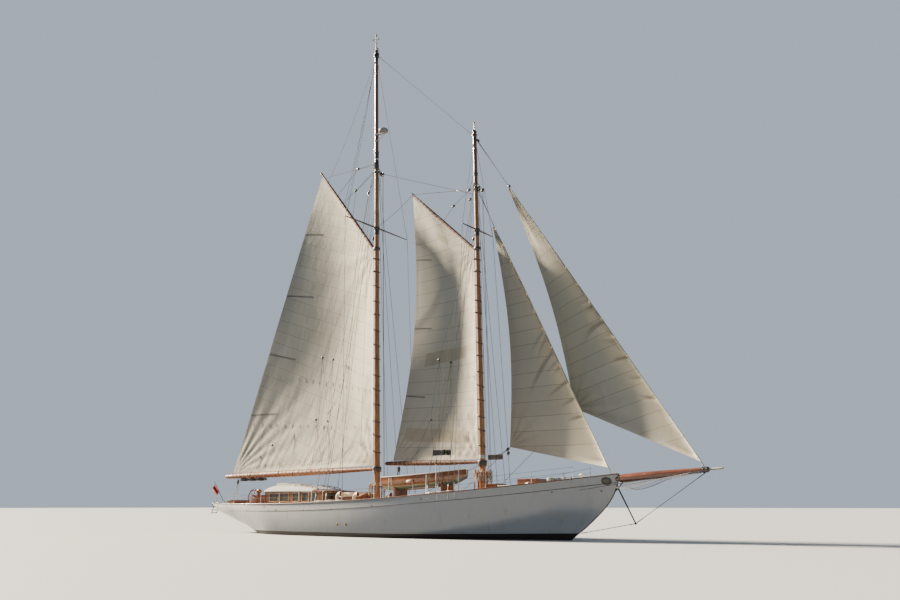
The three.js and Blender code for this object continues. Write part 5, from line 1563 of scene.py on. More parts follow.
shell_x = np.append([-7.88, -7.875, -7.86, -7.84], np.linspace(-7.8, -4.42, 37))
end_x = np.append(np.linspace(-4.42, -3.78, 9), [-3.74, -3.72, -3.705, -3.70])
add("house_roof_shell", roof_form(shell_x), WHITE, stands_for="deckhouse_roof", smooth=35)
add("house_roof_fore_end", roof_form(end_x), JOINERY, smooth=35)
eave_z = lambda x: arch_at(x, 0.8 / ROOF_HALF) + ROOF_THICK
grip_x, feet_x = np.linspace(-6.0, -4.4, 30), np.array([-6.0, -5.6, -5.2, -4.8, -4.4])
scallops = eave_z(grip_x) + 0.055 - 0.012 * np.cos(np.linspace(0, 6 * np.pi, 30))
grips = [tube(spots(grip_x, y, scallops), 0.016, 10) for y in (-0.80, 0.80)]
feet = spots(np.tile(feet_x, 2), np.repeat([0.80, -0.80], 5), eave_z(np.tile(feet_x, 2)) + 0.02)
add("roof_rails", boxes(pair(-6.925, 0.37, 2.43), (1.77, 0.044, 0.12)), WHITE)
add("roof_grab_rails", join(*grips, boxes(feet, (0.07, 0.026, 0.06), ease=0.008)), JOINERY)

# %% [markdown]
# The way below is closed by two things that move. A sliding hatch runs forward on its
# rails, so its pieces ride on the slide, and the panelled door swings, so stiles, rails,
# louvres and knob all ride on the door.

# %% Companionway
ridges = boxes([[x, 0, 2.533] for x in np.linspace(-7.70, -7.02, 5)], (0.03, 0.74, 0.016),
               ease=0.004)
pull = boxes([[-7.79, 0, 2.515]], (0.03, 0.26, 0.03), ease=0.008)
add("slide_top", join(slab([-7.81, -0.4, 2.4903], [-6.9, 0.4, 2.535], 0.012), ridges, pull), WHITE,
    "slide", stands_for="companion_slide")
DOOR_X = -7.8203
stiles = boxes(pair(DOOR_X, -0.325, 1.75), (0.036, 0.11, 0.72), ease=0.006)
cross = boxes([[DOOR_X, 0, z] for z in (1.435, 1.775, 2.065)], (0.036, 0.56, 0.09), ease=0.006)
louvres = boxes([[DOOR_X, 0, z] for z in np.linspace(1.495, 1.715, 8)], (0.030, 0.56, 0.010),
                ahead=(1, 0, 0.55), ease=0.002)
panel = boxes([[DOOR_X, 0, 1.92]], (0.016, 0.56, 0.22), ease=0.004)
add("door_panels", join(stiles, cross, louvres, panel), UPRIGHT, "door",
    stands_for="companion_door")
knob = turned([DOOR_X - 0.017, 0.31, 1.80], [DOOR_X - 0.062, 0.31, 1.80],
              [(0, 0.024), (0.15, 0.026), (0.3, 0.010), (0.6, 0.012), (0.75, 0.024), (0.92, 0.022),
               (1, 0.010)], 18)
straps = boxes([[DOOR_X - 0.020, -0.33, z] for z in (1.52, 1.98)], (0.006, 0.09, 0.035), ease=0.002)
add("door_brass", join(knob, straps), BRONZE, "door")

# %% [markdown]
# Each skylight leaf is a varnished frame that lies on the slope of the roof. It holds
# three panes, and brass rods guard them. A leaf is worked out in its own plane, along the
# slope and square to it, and then laid on its side of the ridge.

# %% Skylight
SKY_AFT, SKY_FORE, SKY_RIDGE, SLOPE = -3.59, -1.75, 2.01, np.arctan2(0.22, 0.60)
SKY_WIDE = 0.6 / np.cos(SLOPE)


def on_leaf(side, x, down, up):
    """The point down metres from the ridge along the slope and up metres off it."""
    y = (0.032 + down) * np.cos(SLOPE) + up * np.sin(SLOPE)
    z = SKY_RIDGE - (0.032 + down) * np.sin(SLOPE) + up * np.cos(SLOPE)
    return spots(x, side * y, z)


for hand, side in SIDES.items():
    lean = (0, side * np.sin(SLOPE), np.cos(SLOPE))
    long = SKY_FORE - SKY_AFT
    middle = (SKY_FORE + SKY_AFT) / 2
    level = boxes(on_leaf(side, middle, np.array([0.045, SKY_WIDE - 0.045]), 0.0193),
                  (long, 0.09, 0.037), up=lean, ease=0.007)
    ends = np.array([SKY_AFT + 0.045, SKY_AFT + long / 3, SKY_FORE - long / 3, SKY_FORE - 0.045])
    upright = boxes(on_leaf(side, ends, SKY_WIDE / 2, 0.0185), (0.085, SKY_WIDE - 0.17, 0.033),
                    up=lean, ease=0.006)
    add(f"skylight_frame_{hand}", join(level, upright), JOINERY, "leaf_" + hand,
        stands_for=f"skylight_leaf_{hand}")
    pane = boxes(on_leaf(side, middle, SKY_WIDE / 2, 0.012), (long - 0.1, SKY_WIDE - 0.1, 0.006),
                 up=lean, ease=0.001)
    add(f"skylight_panes_{hand}", pane, GLASS, "leaf_" + hand)
    down = np.linspace(0.14, SKY_WIDE - 0.14, 6)
    guard = rods(on_leaf(side, SKY_AFT + 0.05, down, 0.041),
                 on_leaf(side, SKY_FORE - 0.05, down, 0.041), 0.005, sides=8)
    add(f"skylight_rods_{hand}", guard, BRONZE, "leaf_" + hand)
dress("skylight", JOINERY)
corners = [[x, y, 1.55] for x in (-3.56, -1.78) for y in (-0.6, 0.6)]
cap = boxes(pair(-2.67, -0.603, 1.765), (1.86, 0.022, 0.045), ease=0.007)
add("skylight_trim", join(boxes(corners, (0.065, 0.065, 0.46), ease=0.014), cap), UPRIGHT)

# %% [markdown]
# Hatches and lockers share one build: a coaming with a lid that overhangs it. A lid is a
# crowned board with rounded edges, so water runs off. The lids lift, so each one rides on
# its own body, and the coamings keep the frame's solids.

# %% Hatches, locker and seat
for name in ("mast_hatch", "fore_hatch"):
    dress(name, JOINERY)
add("mast_hatch_cover", join(slab([5.135, -0.445, 2.2703], [5.885, 0.445, 2.314], 0.010, 0.014),
                             boxes(pair(5.51, -0.2, 2.311), (0.70, 0.05, 0.012), ease=0.004)),
    JOINERY, "mast_lid", stands_for="mast_hatch_lid")
slats = boxes([[x, 0, 2.483] for x in np.linspace(7.02, 7.84, 9)], (0.052, 0.80, 0.016), ease=0.004)
add("fore_hatch_cover", join(slab([6.935, -0.475, 2.4403], [7.925, 0.475, 2.485], 0.010, 0.016),
                             slats), JOINERY, "fore_lid", stands_for="fore_hatch_lid")
for name, low, high, body in (("mast", (5.86, 2.285), (5.16, 2.285), "mast_lid"),
                              ("fore", (6.96, 2.455), (7.90, 2.455), "fore_lid")):
    pins = [[low[0] + np.sign(low[0] - high[0]) * 0.03, y, low[1] - 0.005] for y in (-0.28, 0.28)]
    straps = boxes(pins, (0.016, 0.09, 0.03), ease=0.004)
    loop = hoops([[high[0] - np.sign(low[0] - high[0]) * 0.032, 0, high[1]]], [1, 0, 0], 0.02,
                 0.004, 16, 5)
    add(name + "_hatch_brass", join(straps, loop), BRONZE, body)
low = float(deck_at(6.38, 0.4))
locker = join(boxes([[6.38, 0, (low + 2.20) / 2]], (0.776, 0.936, 2.20 - low), ease=0.012),
              slab([5.975, -0.485, 2.20], [6.785, 0.485, 2.243], 0.010, 0.012),
              boxes(pair(6.38, 0.472, 2.02), (0.60, 0.012, 0.22), ease=0.005))
add("deck_locker_box", locker, WHITE, stands_for="deck_locker")
seat_x = (-11.5 - 10.9) / 2
rows_y = np.linspace(-0.555, 0.555, 11)
seat = join(boxes([[seat_x, 0, 1.455]], (0.54, 1.18, 0.40), ease=0.014),
            boxes([[seat_x, y, 1.674] for y in rows_y], (0.60, 0.095, 0.03), ease=0.008),
            boxes([[x, 0, 1.50] for x in (-11.472, -10.928)], (0.012, 1.0, 0.22), ease=0.004))
add("helm_seat_box", seat, JOINERY, stands_for="helm_seat")

# %% [markdown]
# The wheel is turned and jointed wood: a round rim of felloes, eight spokes that end in
# handles, and a bronze hub. A spoke is one turned profile, thick at the hub, beaded at
# the rim and swelling into the hand. The steering gear sits in a varnished box, and the
# binnacle stands on it under a bronze hood.

# %% Wheel, gear box and binnacle
HELM = np.array([-9.96, 0, 1.83])
a = np.arange(8) * np.pi / 4
arms = spots(0, np.cos(a), np.sin(a))
spoke = [(0.0, 0.020), (0.16, 0.020), (0.20, 0.016), (0.30, 0.022), (0.45, 0.018), (0.62, 0.015),
         (0.66, 0.021), (0.69, 0.016), (0.83, 0.016), (0.855, 0.010), (0.88, 0.013), (0.95, 0.018),
         (0.985, 0.015), (1.0, 0.006)]
rim = hoops([HELM], [1, 0, 0], 0.39, 0.024, 72, 12)
bead = hoops([HELM, HELM], [1, 0, 0], [0.362, 0.418], 0.010, 72, 8)
add("wheel_spokes", join(turned(HELM + arms * 0.055, HELM + arms * 0.505, spoke, 12), rim, bead),
    UPRIGHT, "wheel", stands_for="steering_wheel")
hub = turned(HELM - [0.05, 0, 0], HELM + [0.09, 0, 0],
             [(0, 0.02), (0.02, 0.052), (0.1, 0.062), (0.6, 0.062), (0.68, 0.046), (1, 0.040)], 28)
king = hoops([HELM + arms[2] * 0.39], arms[2], 0.026, 0.006, 16, 6)
add("wheel_bronze", join(hub, king), BRONZE, "wheel")
face = HELM[0] + 0.0903
low = float(deck_at(-9.6, 0.29))
gear = join(boxes([[face + 0.26, 0, (low + 1.92) / 2]], (0.51, 0.57, 1.92 - low), ease=0.02),
            slab([face, -0.29, 1.915], [face + 0.52, 0.29, 1.945], 0.006, 0.012),
            boxes(pair(face + 0.26, 0.284, 1.62), (0.36, 0.012, 0.40), ease=0.004))
post = turned([face + 0.28, 0, 1.945], [face + 0.28, 0, 2.10],
              [(0, 0.13), (0.1, 0.135), (0.2, 0.110), (0.85, 0.096), (1, 0.12)], 28)
add("gear_box", join(gear, post), UPRIGHT, stands_for="steering_box")
hood = turned([face + 0.28, 0, 2.098], [face + 0.28, 0, 2.262],
              [(0, 0.12), (0.06, 0.132), (0.42, 0.130), (0.46, 0.120), (0.72, 0.104),
               (0.92, 0.066), (1, 0.02)], 32)
balls = turned(pair(face + 0.28, 0.15, 2.075), pair(face + 0.28, 0.15, 2.185),
               [(0, 0.010), (0.12, 0.035), (0.3, 0.050), (0.5, 0.055), (0.7, 0.050), (0.88, 0.035),
                (1, 0.010)], 20)
add("binnacle_hood", hood, BRONZE)
add("binnacle_balls", balls, GREEN)

# %% [markdown]
# The windlass lifts the anchor: a barrel across two cheeks, with a drum at each end and a
# gypsy for the chain. The chain runs forward to the hawse in the bow. Its links are small
# rings, and every second one is turned a quarter round.

# %% Windlass and chain
x, z = 8.5, 2.42
low = float(deck_at(x, 0.2))
bed = slab([x - 0.22, -0.26, low - 0.01], [x + 0.22, 0.26, 2.30], 0.0, 0.02)
cheeks = join(boxes(pair(x, 0.215, 2.37), (0.20, 0.058, 0.16), ease=0.014),
              turned([[x, s * 0.215 - 0.03, z] for s in (1, -1)],
                     [[x, s * 0.215 + 0.03, z] for s in (1, -1)], pin(0.098, 0.105), 32))
barrel = turned([x, -0.47, z], [x, 0.47, z],
                [(0.0, 0.02), (0.001, 0.090), (0.012, 0.105), (0.04, 0.105), (0.06, 0.082),
                 (0.10, 0.066), (0.16, 0.066), (0.20, 0.082), (0.215, 0.092), (0.22, 0.05),
                 (0.34, 0.05), (0.36, 0.085), (0.40, 0.088), (0.42, 0.062), (0.46, 0.062),
                 (0.48, 0.088), (0.52, 0.085), (0.54, 0.05), (0.78, 0.05), (0.785, 0.092),
                 (0.80, 0.082), (0.84, 0.066), (0.90, 0.066), (0.94, 0.082), (0.96, 0.105),
                 (0.988, 0.105), (0.999, 0.090), (1, 0.02)], 32)
add("windlass_iron", join(bed, cheeks, barrel), GALVANISED, stands_for="windlass")
run = np.linspace(8.58, 10.55, 58)
chain = spots(run, -0.055, deck_at(run, 0.05) + 0.016 + 0.075 * np.exp(-((run - 8.58) / 0.10) ** 2))
roll = np.where(np.arange(58) % 2, 1.0, 0.0)[:, None]
add("anchor_chain", hoops(chain, roll * [0, 0, 1.0] + (1 - roll) * [0, 1.0, 0], 0.018, 0.0055, 12,
                          5), GALVANISED)

# %% [markdown]
# The tender is a small planked boat. Its strakes lap like the boards of a barn, so each
# plank's lower edge stands a centimetre proud of the one below. Two rows of points close
# together make each lap. The coordinate up the side, 0 at the keel and 1 at the gunwale,
# picks the colour: green bottom, olive line, varnish above.

# %% Tender
TENDER_AFT, TENDER_Y, TENDER_LONG, TENDER_RISE = 0.7, -1.56, 4.45, 0.062
TENDER_ROWS = np.array([[0, 0.74, 0.82], [0.2, 0.92, 0.97], [0.45, 1, 1], [0.7, 0.86, 0.97],
                        [0.88, 0.52, 0.84], [1, 0.1, 0.5]])
GIRTH = np.array([0, 1 / 3, 2 / 3, 1])


def tender_skin(share, girth, out=0.0):
    """The point at share of the length and girth of the side, moved out by metres."""
    share, girth = np.broadcast_arrays(np.asarray(share, float), np.asarray(girth, float))
    wide, deep = (fair(TENDER_ROWS[:, 0], TENDER_ROWS[:, c], share) for c in (1, 2))
    x = TENDER_AFT + TENDER_LONG * share
    keel = 2.01 + (x - TENDER_AFT) * TENDER_RISE
    base = keel + 0.56 * (1 - deep)
    top = keel + 0.56 + 0.06 * (2 * share - 1) ** 2
    y = np.maximum(0.64 * wide + out, 0.01) * fair(GIRTH, np.array([0.10, 0.62, 0.93, 1]), girth)
    rise = fair(GIRTH, np.array([0, 0.13, 0.5, 1]), girth)
    return spots(x, y, base + rise * (top - base) - out * (1 - girth))


def tender_ring(share, girth, out):
    """Both sides from gunwale to keel to gunwale, about the tender's middle plane."""
    side = tender_skin(share[:, None], girth[None], out)
    return np.concatenate([side[:, ::-1], side * [1, -1, 1]], 1) + [0, TENDER_Y, 0]


def tender_finish():
    f = Finish("tender_varnish", Base_Color=(0.3, 0.1, 0.04, 1), Coat_Weight=0.8,
               Coat_Roughness=0.1)
    _, v, _ = f.split(f.place("UV"))
    place = f.place()
    grain = f.noise(place, 8.0, 4.0, 0.6, (0.5, 7, 7))
    worn = f.noise(place, 2.0, 4.0)
    wood = f.mix(grain.above(0.5, 0.4), (0.22, 0.058, 0.009), (0.42, 0.125, 0.016))
    low = f.mix(worn.above(0.5, 0.3), (0.13, 0.17, 0.15), (0.20, 0.23, 0.19))
    line = f.mix(v.above(0.43, 0.01), low, (0.42, 0.36, 0.10))
    f.set(Base_Color=f.mix(v.above(0.48, 0.01), line, wood))
    f.set(Roughness=0.55 - v.above(0.48, 0.01) * 0.32 + worn * 0.1)
    f.bump(grain * 0.5 + worn, 0.002, 0.4)
    return f.material


share = np.linspace(0, 1, 48)
laps = (np.arange(8)[:, None] + [0.004, 0.5, 0.996]).ravel() / 8
proud = np.tile([0.010, 0.005, 0.0], 8)
outer = tender_ring(share, laps, proud)
inner = tender_ring(share, laps, -0.016)
uv = np.broadcast_to(np.concatenate([laps[::-1], laps, laps[::-1], laps]), (48, 96))
uv = np.stack([np.broadcast_to(share[:, None] * TENDER_LONG, (48, 96)), uv], -1)
shell = closed(np.concatenate([outer, inner[:, ::-1]], 1), uv=uv)
end = tender_ring(np.array([0.0]), laps, 0.0)[0]
board_uv = np.stack([np.zeros((3, 48)),
                     np.broadcast_to(np.concatenate([laps[::-1], laps]), (3, 48))], -1)
transom = closed(np.stack([end + [dx, 0, 0] for dx in (0, 0.018, 0.035)]), uv=board_uv)
TENDER_WOOD = tender_finish()
add("tender_shell", join(shell, transom), TENDER_WOOD, stands_for="tender", smooth=30)
edges = [tender_skin(share, 1.0, 0.012) * [1, s, 1] + [0, TENDER_Y, 0.004] for s in (1, -1)]
stem = tender_skin(1.0, np.linspace(0, 1, 12)) * [1, 0, 1] + [0.0, TENDER_Y, 0]
keel_line = tender_skin(share, 0.0) * [1, 0, 1] + [0, TENDER_Y, -0.012]
trim = join(*[tube(e, 0.021, 10) for e in edges],
            boxes([end.mean(0) * [1, 0, 0] + [0.012, TENDER_Y, end[:, 2].max() - 0.012]],
                  (0.05, 0.95, 0.03), ease=0.008))
add("tender_gunwale", trim, WHITE)
add("tender_keel", join(tube(stem, 0.026, 10), tube(keel_line, 0.030, 10)), TENDER_WOOD)
at = np.linspace(0.06, 0.90, 15)
girth = np.linspace(0.05, 0.97, 12)
ribs = [tube(np.concatenate([(tender_skin(s, girth[::-1], -0.024)),
                             tender_skin(s, girth, -0.024) * [1, -1, 1]]) + [0, TENDER_Y, 0],
             0.012, 6) for s in at]
thwart_at = np.array([0.25, 0.5, 0.75])
half = tender_skin(thwart_at, 0.72, -0.02)
seats = boxes(half * [1, 0, 1] + [0, TENDER_Y, 0.01], spots(0.22, half[:, 1] * 2, 0.026),
              ease=0.006)
floor_y = np.linspace(-0.26, 0.26, 6)
boards = boxes([[2.75, TENDER_Y + y, 2.195] for y in floor_y], (2.9, 0.085, 0.014),
               ahead=(1, 0, TENDER_RISE), ease=0.003)
oar_y = np.array([-0.24, -0.16])
blade = turned(np.array([[1.55, TENDER_Y + y, 2.555] for y in oar_y]),
               np.array([[4.15, TENDER_Y + y, 2.715] for y in oar_y]),
               [(0, 0.016), (0.06, 0.018), (0.1, 0.023), (0.72, 0.022), (0.78, 0.018), (1, 0.02)],
               12)
fins = boxes([[4.02, TENDER_Y + y, 2.708] for y in oar_y], (0.52, 0.115, 0.014),
             ahead=(1, 0, TENDER_RISE), ease=0.006)
add("tender_fittings", join(*ribs, seats, boards, blade, fins), HOUSE_WOOD)
fender = turned([2.35, -2.225, 2.40], [2.72, -2.235, 2.425],
                [(0, 0.012), (0.06, 0.045), (0.18, 0.075), (0.82, 0.075), (0.94, 0.045),
                 (1, 0.012)], 22)
PINK = paint_finish("fender_vinyl", (0.78, 0.50, 0.42), (0.66, 0.42, 0.36), 0.5, 0.1)
add("tender_fender", fender, PINK)
dress("tender_chocks", UPRIGHT)
straps_at = [0.16, 0.78]
girth = np.linspace(0.12, 1.0, 18)
lash = [tube(np.concatenate([(tender_skin(s, girth[::-1], 0.026)),
                             tender_skin(s, girth, 0.026) * [1, -1, 1]]) + [0, TENDER_Y, 0], 0.010,
             8) for s in straps_at]
over = [tube(spots(TENDER_AFT + TENDER_LONG * s,
                   np.linspace(1, -1, 12) * float(tender_skin(s, 1.0, 0.026)[1]) + TENDER_Y,
                   float(tender_skin(s, 1.0)[2]) + 0.028), 0.010, 8) for s in straps_at]
add("tender_lashings", join(*lash, *over), WHITE_ROPE)

# %% [markdown]
# Stanchions stand along both rails and carry two lines. A stanchion is a turned post on a
# round foot, with a ball on top and an eye at each line. The posts by the tender are
# taller and painted white.

# %% Stanchions and lifelines
POSTS = np.array([-12.0, -9.6, -7.9, -5.4, -3.3, 0.8, 2.9, 6.3, 8.2, 9.8])
for hand, side in SIDES.items():
    foot = rail_foot(POSTS, side, 0.09, -0.004)
    post = turned(foot, foot + [0, 0, 0.497],
                  [(0, 0.030), (0.012, 0.032), (0.024, 0.022), (0.04, 0.0145), (0.475, 0.0125),
                   (0.480, 0.017), (0.490, 0.017), (0.497, 0.006)], 14, metres=True)
    lines = []
    for height in (0.25, 0.45):
        at = foot + [0, 0, height + 0.004]
        lines += [rods(at[:-1], at[1:], 0.0055, sides=7), hoops(at, [1, 0, 0], 0.016, 0.005, 12, 5)]
    add(f"lifeline_posts_{hand}", post, WHITE)
    add(f"lifeline_wires_{hand}", join(*lines), WIRE, stands_for=f"lifelines_{hand}")

tall_x = np.array([1.63, 3.57, 4.05, 5.10])
tall_top = np.array([2.50, 2.62, 3.05, 3.04])
foot = rail_foot(tall_x, -1, 0.06, -0.004)
top = foot + [0, 0, 1] * (tall_top - foot[:, 2])[:, None] + [0.02, 0, 0]
davits = join(turned(foot, top, [(0, 0.034), (0.03, 0.034), (0.05, 0.022), (0.96, 0.019),
                                 (1, 0.021)], 14),
              turned(top - [0, 0, 0.02], top + [0, 0, 0.05],
                     [(0, 0.02), (0.3, 0.032), (0.7, 0.032), (1, 0.012)], 14))
house_x = np.array([-6.9, -3.97, -3.05, -2.31])
foot = rail_foot(house_x, -1, 0.06, -0.004)
arc = np.linspace(0, np.pi / 2, 8)
bent = [tube(np.concatenate([[f, f + [0, 0, 0.30]],
                             f + [0, 0, 0.42] + spots(0.10 * (1 - np.cos(arc)),
                                                      0.06 * (1 - np.cos(arc)),
                                                      0.12 * np.sin(arc) - 0.02)]), 0.017, 10)
        for f in foot[[0, 3]]]
posts = turned(foot[1:3], foot[1:3] + [[0.01, 0.02, 0.62], [0, 0.01, 0.52]],
               [(0, 0.034), (0.03, 0.034), (0.05, 0.022), (0.97, 0.020), (1, 0.010)], 14)
whip = turned([-3.77, -1.30, 2.13], [-3.79, -1.30, 2.50],
              [(0, 0.012), (0.45, 0.014), (0.5, 0.028), (0.95, 0.026), (1, 0.010)], 12)
add("white_posts", join(davits, posts, whip, *bent), WHITE)

# %% [markdown]
# Air gets below through vents. A cowl vent is a round pipe that bends forward into a wide
# mouth, so it is a tube along a quarter circle whose radius grows. A mushroom vent is a
# turned cap on a short neck.

# %% Vents, cleats and rails
def cowl(x, y, low, height, r=0.085):
    """A pipe with a flaring mouth: its radius grows by six tenths round the bend."""
    t = np.linspace(0, 1, 14)
    bend_at = spots(x + 0.14 * (1 - np.cos(t * np.pi / 2)) + 0.10 * t ** 2, y,
                    low + height - 0.14 + 0.14 * np.sin(t * np.pi / 2))
    path = np.concatenate([[[x, y, low], [x, y, low + 0.05]], bend_at])
    radius = np.concatenate([[r * 1.25, r], r * (1 + 0.6 * t ** 3)])
    return tube(path, radius, 20)


COWLS = [(x, side * y, h, r) for x, y, h, r in ((-2.65, 1.28, 0.62, 0.085),
                                                (-1.62, 1.22, 0.56, 0.075),
                                                (7.45, 0.72, 0.30, 0.06)) for side in (1, -1)]
cowls = join(*[cowl(x, y, float(deck_at(x, y)) - 0.01, h, r) for x, y, h, r in COWLS])
add("cowl_vents", cowls, CREAM)
mouths = []
for x, y, h, r in COWLS:
    z = float(deck_at(x, y)) - 0.01 + h
    mouths.append(turned([x + 0.2405, y, z], [x + 0.2445, y, z], [(0, r * 1.32), (1, r * 1.30)],
                         20))
DARK = paint_finish("vent_inside", (0.30, 0.06, 0.035), (0.16, 0.03, 0.02), 0.6, 0.0)
add("vent_mouths", join(*mouths), DARK)
MUSHROOM = [(0, 0.075), (0.03, 0.078), (0.035, 0.05), (0.11, 0.05), (0.115, 0.12), (0.13, 0.135),
            (0.155, 0.125), (0.185, 0.085), (0.20, 0.02)]
caps_at = np.array([[9.80, 0, float(deck_at(9.8, 0))], [4.2, 0.9, float(deck_at(4.2, 0.9))],
                    [0.1, 0.9, float(deck_at(0.1, 0.9))]])
tall = np.array([0.28, 0.0, 0.0])
mush = join(*[turned(p, p + [0, 0, 0.5], [(z + (t if z > 0.04 else 0), r) for z, r in MUSHROOM],
                     24, metres=True) for p, t in zip(caps_at, tall)])
add("mushroom_vents", mush, WHITE)


def cleats(places, ways, long=0.26):
    """Horned cleats: two feet and a bar that thins to both ends."""
    places = np.atleast_2d(places).astype(float)
    ways = unit(np.broadcast_to(ways, places.shape))
    horn = turned(places - ways * long / 2 + [0, 0, 0.06], places + ways * long / 2 + [0, 0, 0.06],
                  [(0, 0.006), (0.04, 0.012), (0.3, 0.018), (0.7, 0.018), (0.96, 0.012),
                   (1, 0.006)], 10)
    feet = [turned(places + ways * s, places + ways * s + [0, 0, 0.06],
                   [(0, 0.024), (0.2, 0.016), (1, 0.014)], 10) for s in (-0.035, 0.035)]
    return join(horn, *feet)


deck_x = np.array([-11.6, -8.6, 3.2, 6.6, 9.4])
cleat_at = [[x, s * (float(half_at(x)) - 0.30),
             float(deck_at(x, float(half_at(x)) - 0.30)) - 0.004] for x in deck_x for s in (1, -1)]
bitts_at = pair(9.15, 0.32, float(deck_at(9.15, 0.32)) - 0.01)
bitts = join(turned(bitts_at, np.array(bitts_at) + [0, 0, 0.42],
                    [(0, 0.07), (0.05, 0.07), (0.1, 0.052), (0.8, 0.052), (0.85, 0.072),
                     (0.95, 0.070), (1, 0.03)], 20),
             rods([[9.15, -0.50, float(deck_at(9.15, 0.3)) + 0.26]],
                  [[9.15, 0.50, float(deck_at(9.15, 0.3)) + 0.26]], 0.026, sides=14))
add("deck_cleats", cleats(cleat_at, [1, 0, 0]), BRONZE)
add("mooring_bitts", bitts, GALVANISED)
WINCH = [(0, 0.085), (0.03, 0.088), (0.05, 0.070), (0.30, 0.058), (0.62, 0.058), (0.80, 0.074),
         (0.90, 0.078), (0.97, 0.05), (1, 0.015)]
winch_at = np.array([[x, s * y, float(deck_at(x, y)) - 0.004]
                     for x, y in ((-8.9, 1.42), (-0.2, 0.62), (3.9, 0.62), (-10.3, 1.15))
                     for s in (1, -1)])
plinth = turned(winch_at, winch_at + [0, 0, 0.16],
                [(0, 0.12), (0.1, 0.122), (0.9, 0.105), (1, 0.10)], 24)
add("winch_drums", turned(winch_at + [0, 0, 0.158], winch_at + [0, 0, 0.34], WINCH, 24), BRONZE)
add("winch_pads", plinth, UPRIGHT)

# %% [markdown]
# A fife rail rings the foot of each mast, and its pins hold the halyards. It is a turned
# ring of wood on short posts, with a belaying pin through it every few hand widths and a
# coil of rope hung on each pin.

# %% Fife rails and coils
PIN = [(0, 0.008), (0.30, 0.012), (0.52, 0.013), (0.55, 0.022), (0.60, 0.020), (0.78, 0.018),
       (0.92, 0.021), (1, 0.010)]
for word, mast, z, r, low in (("main", MAIN, 2.28, 0.40, 1.42), ("fore", FORE, 2.78, 0.42, 1.77)):
    centre = mast_at(mast, z)
    rows = [(0, r - 0.10), (0, r - 0.01), (0.2, r), (0.8, r), (1, r - 0.01), (1, r - 0.10)]
    ring = bored(centre - [0, 0, 0.028], centre + [0, 0, 0.028], rows, 40)
    a = np.arange(6) * np.pi / 3 + np.pi / 6
    round_at = spots(np.cos(a), np.sin(a), 0)
    legs = turned(mast_at(mast, low) * [1, 0, 0] + [0, 0, low - 0.02] + round_at * (r - 0.05),
                  centre + round_at * (r - 0.05) - [0, 0, 0.02],
                  [(0, 0.030), (0.08, 0.036), (0.14, 0.020), (0.5, 0.030), (0.86, 0.020),
                   (0.92, 0.036), (1, 0.030)], 14)
    add(word + "_fife_rail", join(ring, legs), UPRIGHT if word == "main" else HOUSE_WOOD)
    a = np.arange(12) * np.pi / 6
    out = spots(np.cos(a), np.sin(a), 0)
    pins_at = centre + out * (r - 0.045)
    add(word + "_belaying_pins", turned(pins_at - [0, 0, 0.17], pins_at + [0, 0, 0.17], PIN, 10),
        BRONZE)
    turns = []
    for k in range(0, 12, 2 if word == "main" else 1):
        for j in range(3):
            t = np.linspace(0, 2 * np.pi, 20)
            wide, fall = 0.055 + 0.012 * j, 0.22 + 0.03 * ((k * 5 + j * 3) % 4)
            side = np.array([-out[k, 1], out[k, 0], 0])
            drop = 0.10 - fall * (1 - np.cos(t)) * 0.8
            turns.append(tube(pins_at[k] + out[k] * (0.030 + 0.012 * j)
                              + side * (wide * np.sin(t))[:, None] + spots(0, 0, drop), 0.0095, 6))
    add(word + "_rope_coils", join(*turns), ROPE if word == "main" else WHITE_ROPE)
box_low = float(deck_at(4.86, 0.5))
add("fore_mast_step",
    join(boxes([[4.66, 0, box_low + 0.14], [5.06, 0, box_low + 0.14]], (0.06, 0.86, 0.30),
               ease=0.012), boxes(pair(4.86, 0.42, box_low + 0.14), (0.44, 0.06, 0.30),
                                  ease=0.012)), JOINERY)

# %% [markdown]
# The side lights sit on dark boards lashed to the fore shrouds. A board lies in the plane of
# its shrouds, a few millimetres off the wires. A screen stands out from it, and the lamp
# sits ahead of the screen, so that it can't be seen from the other bow.

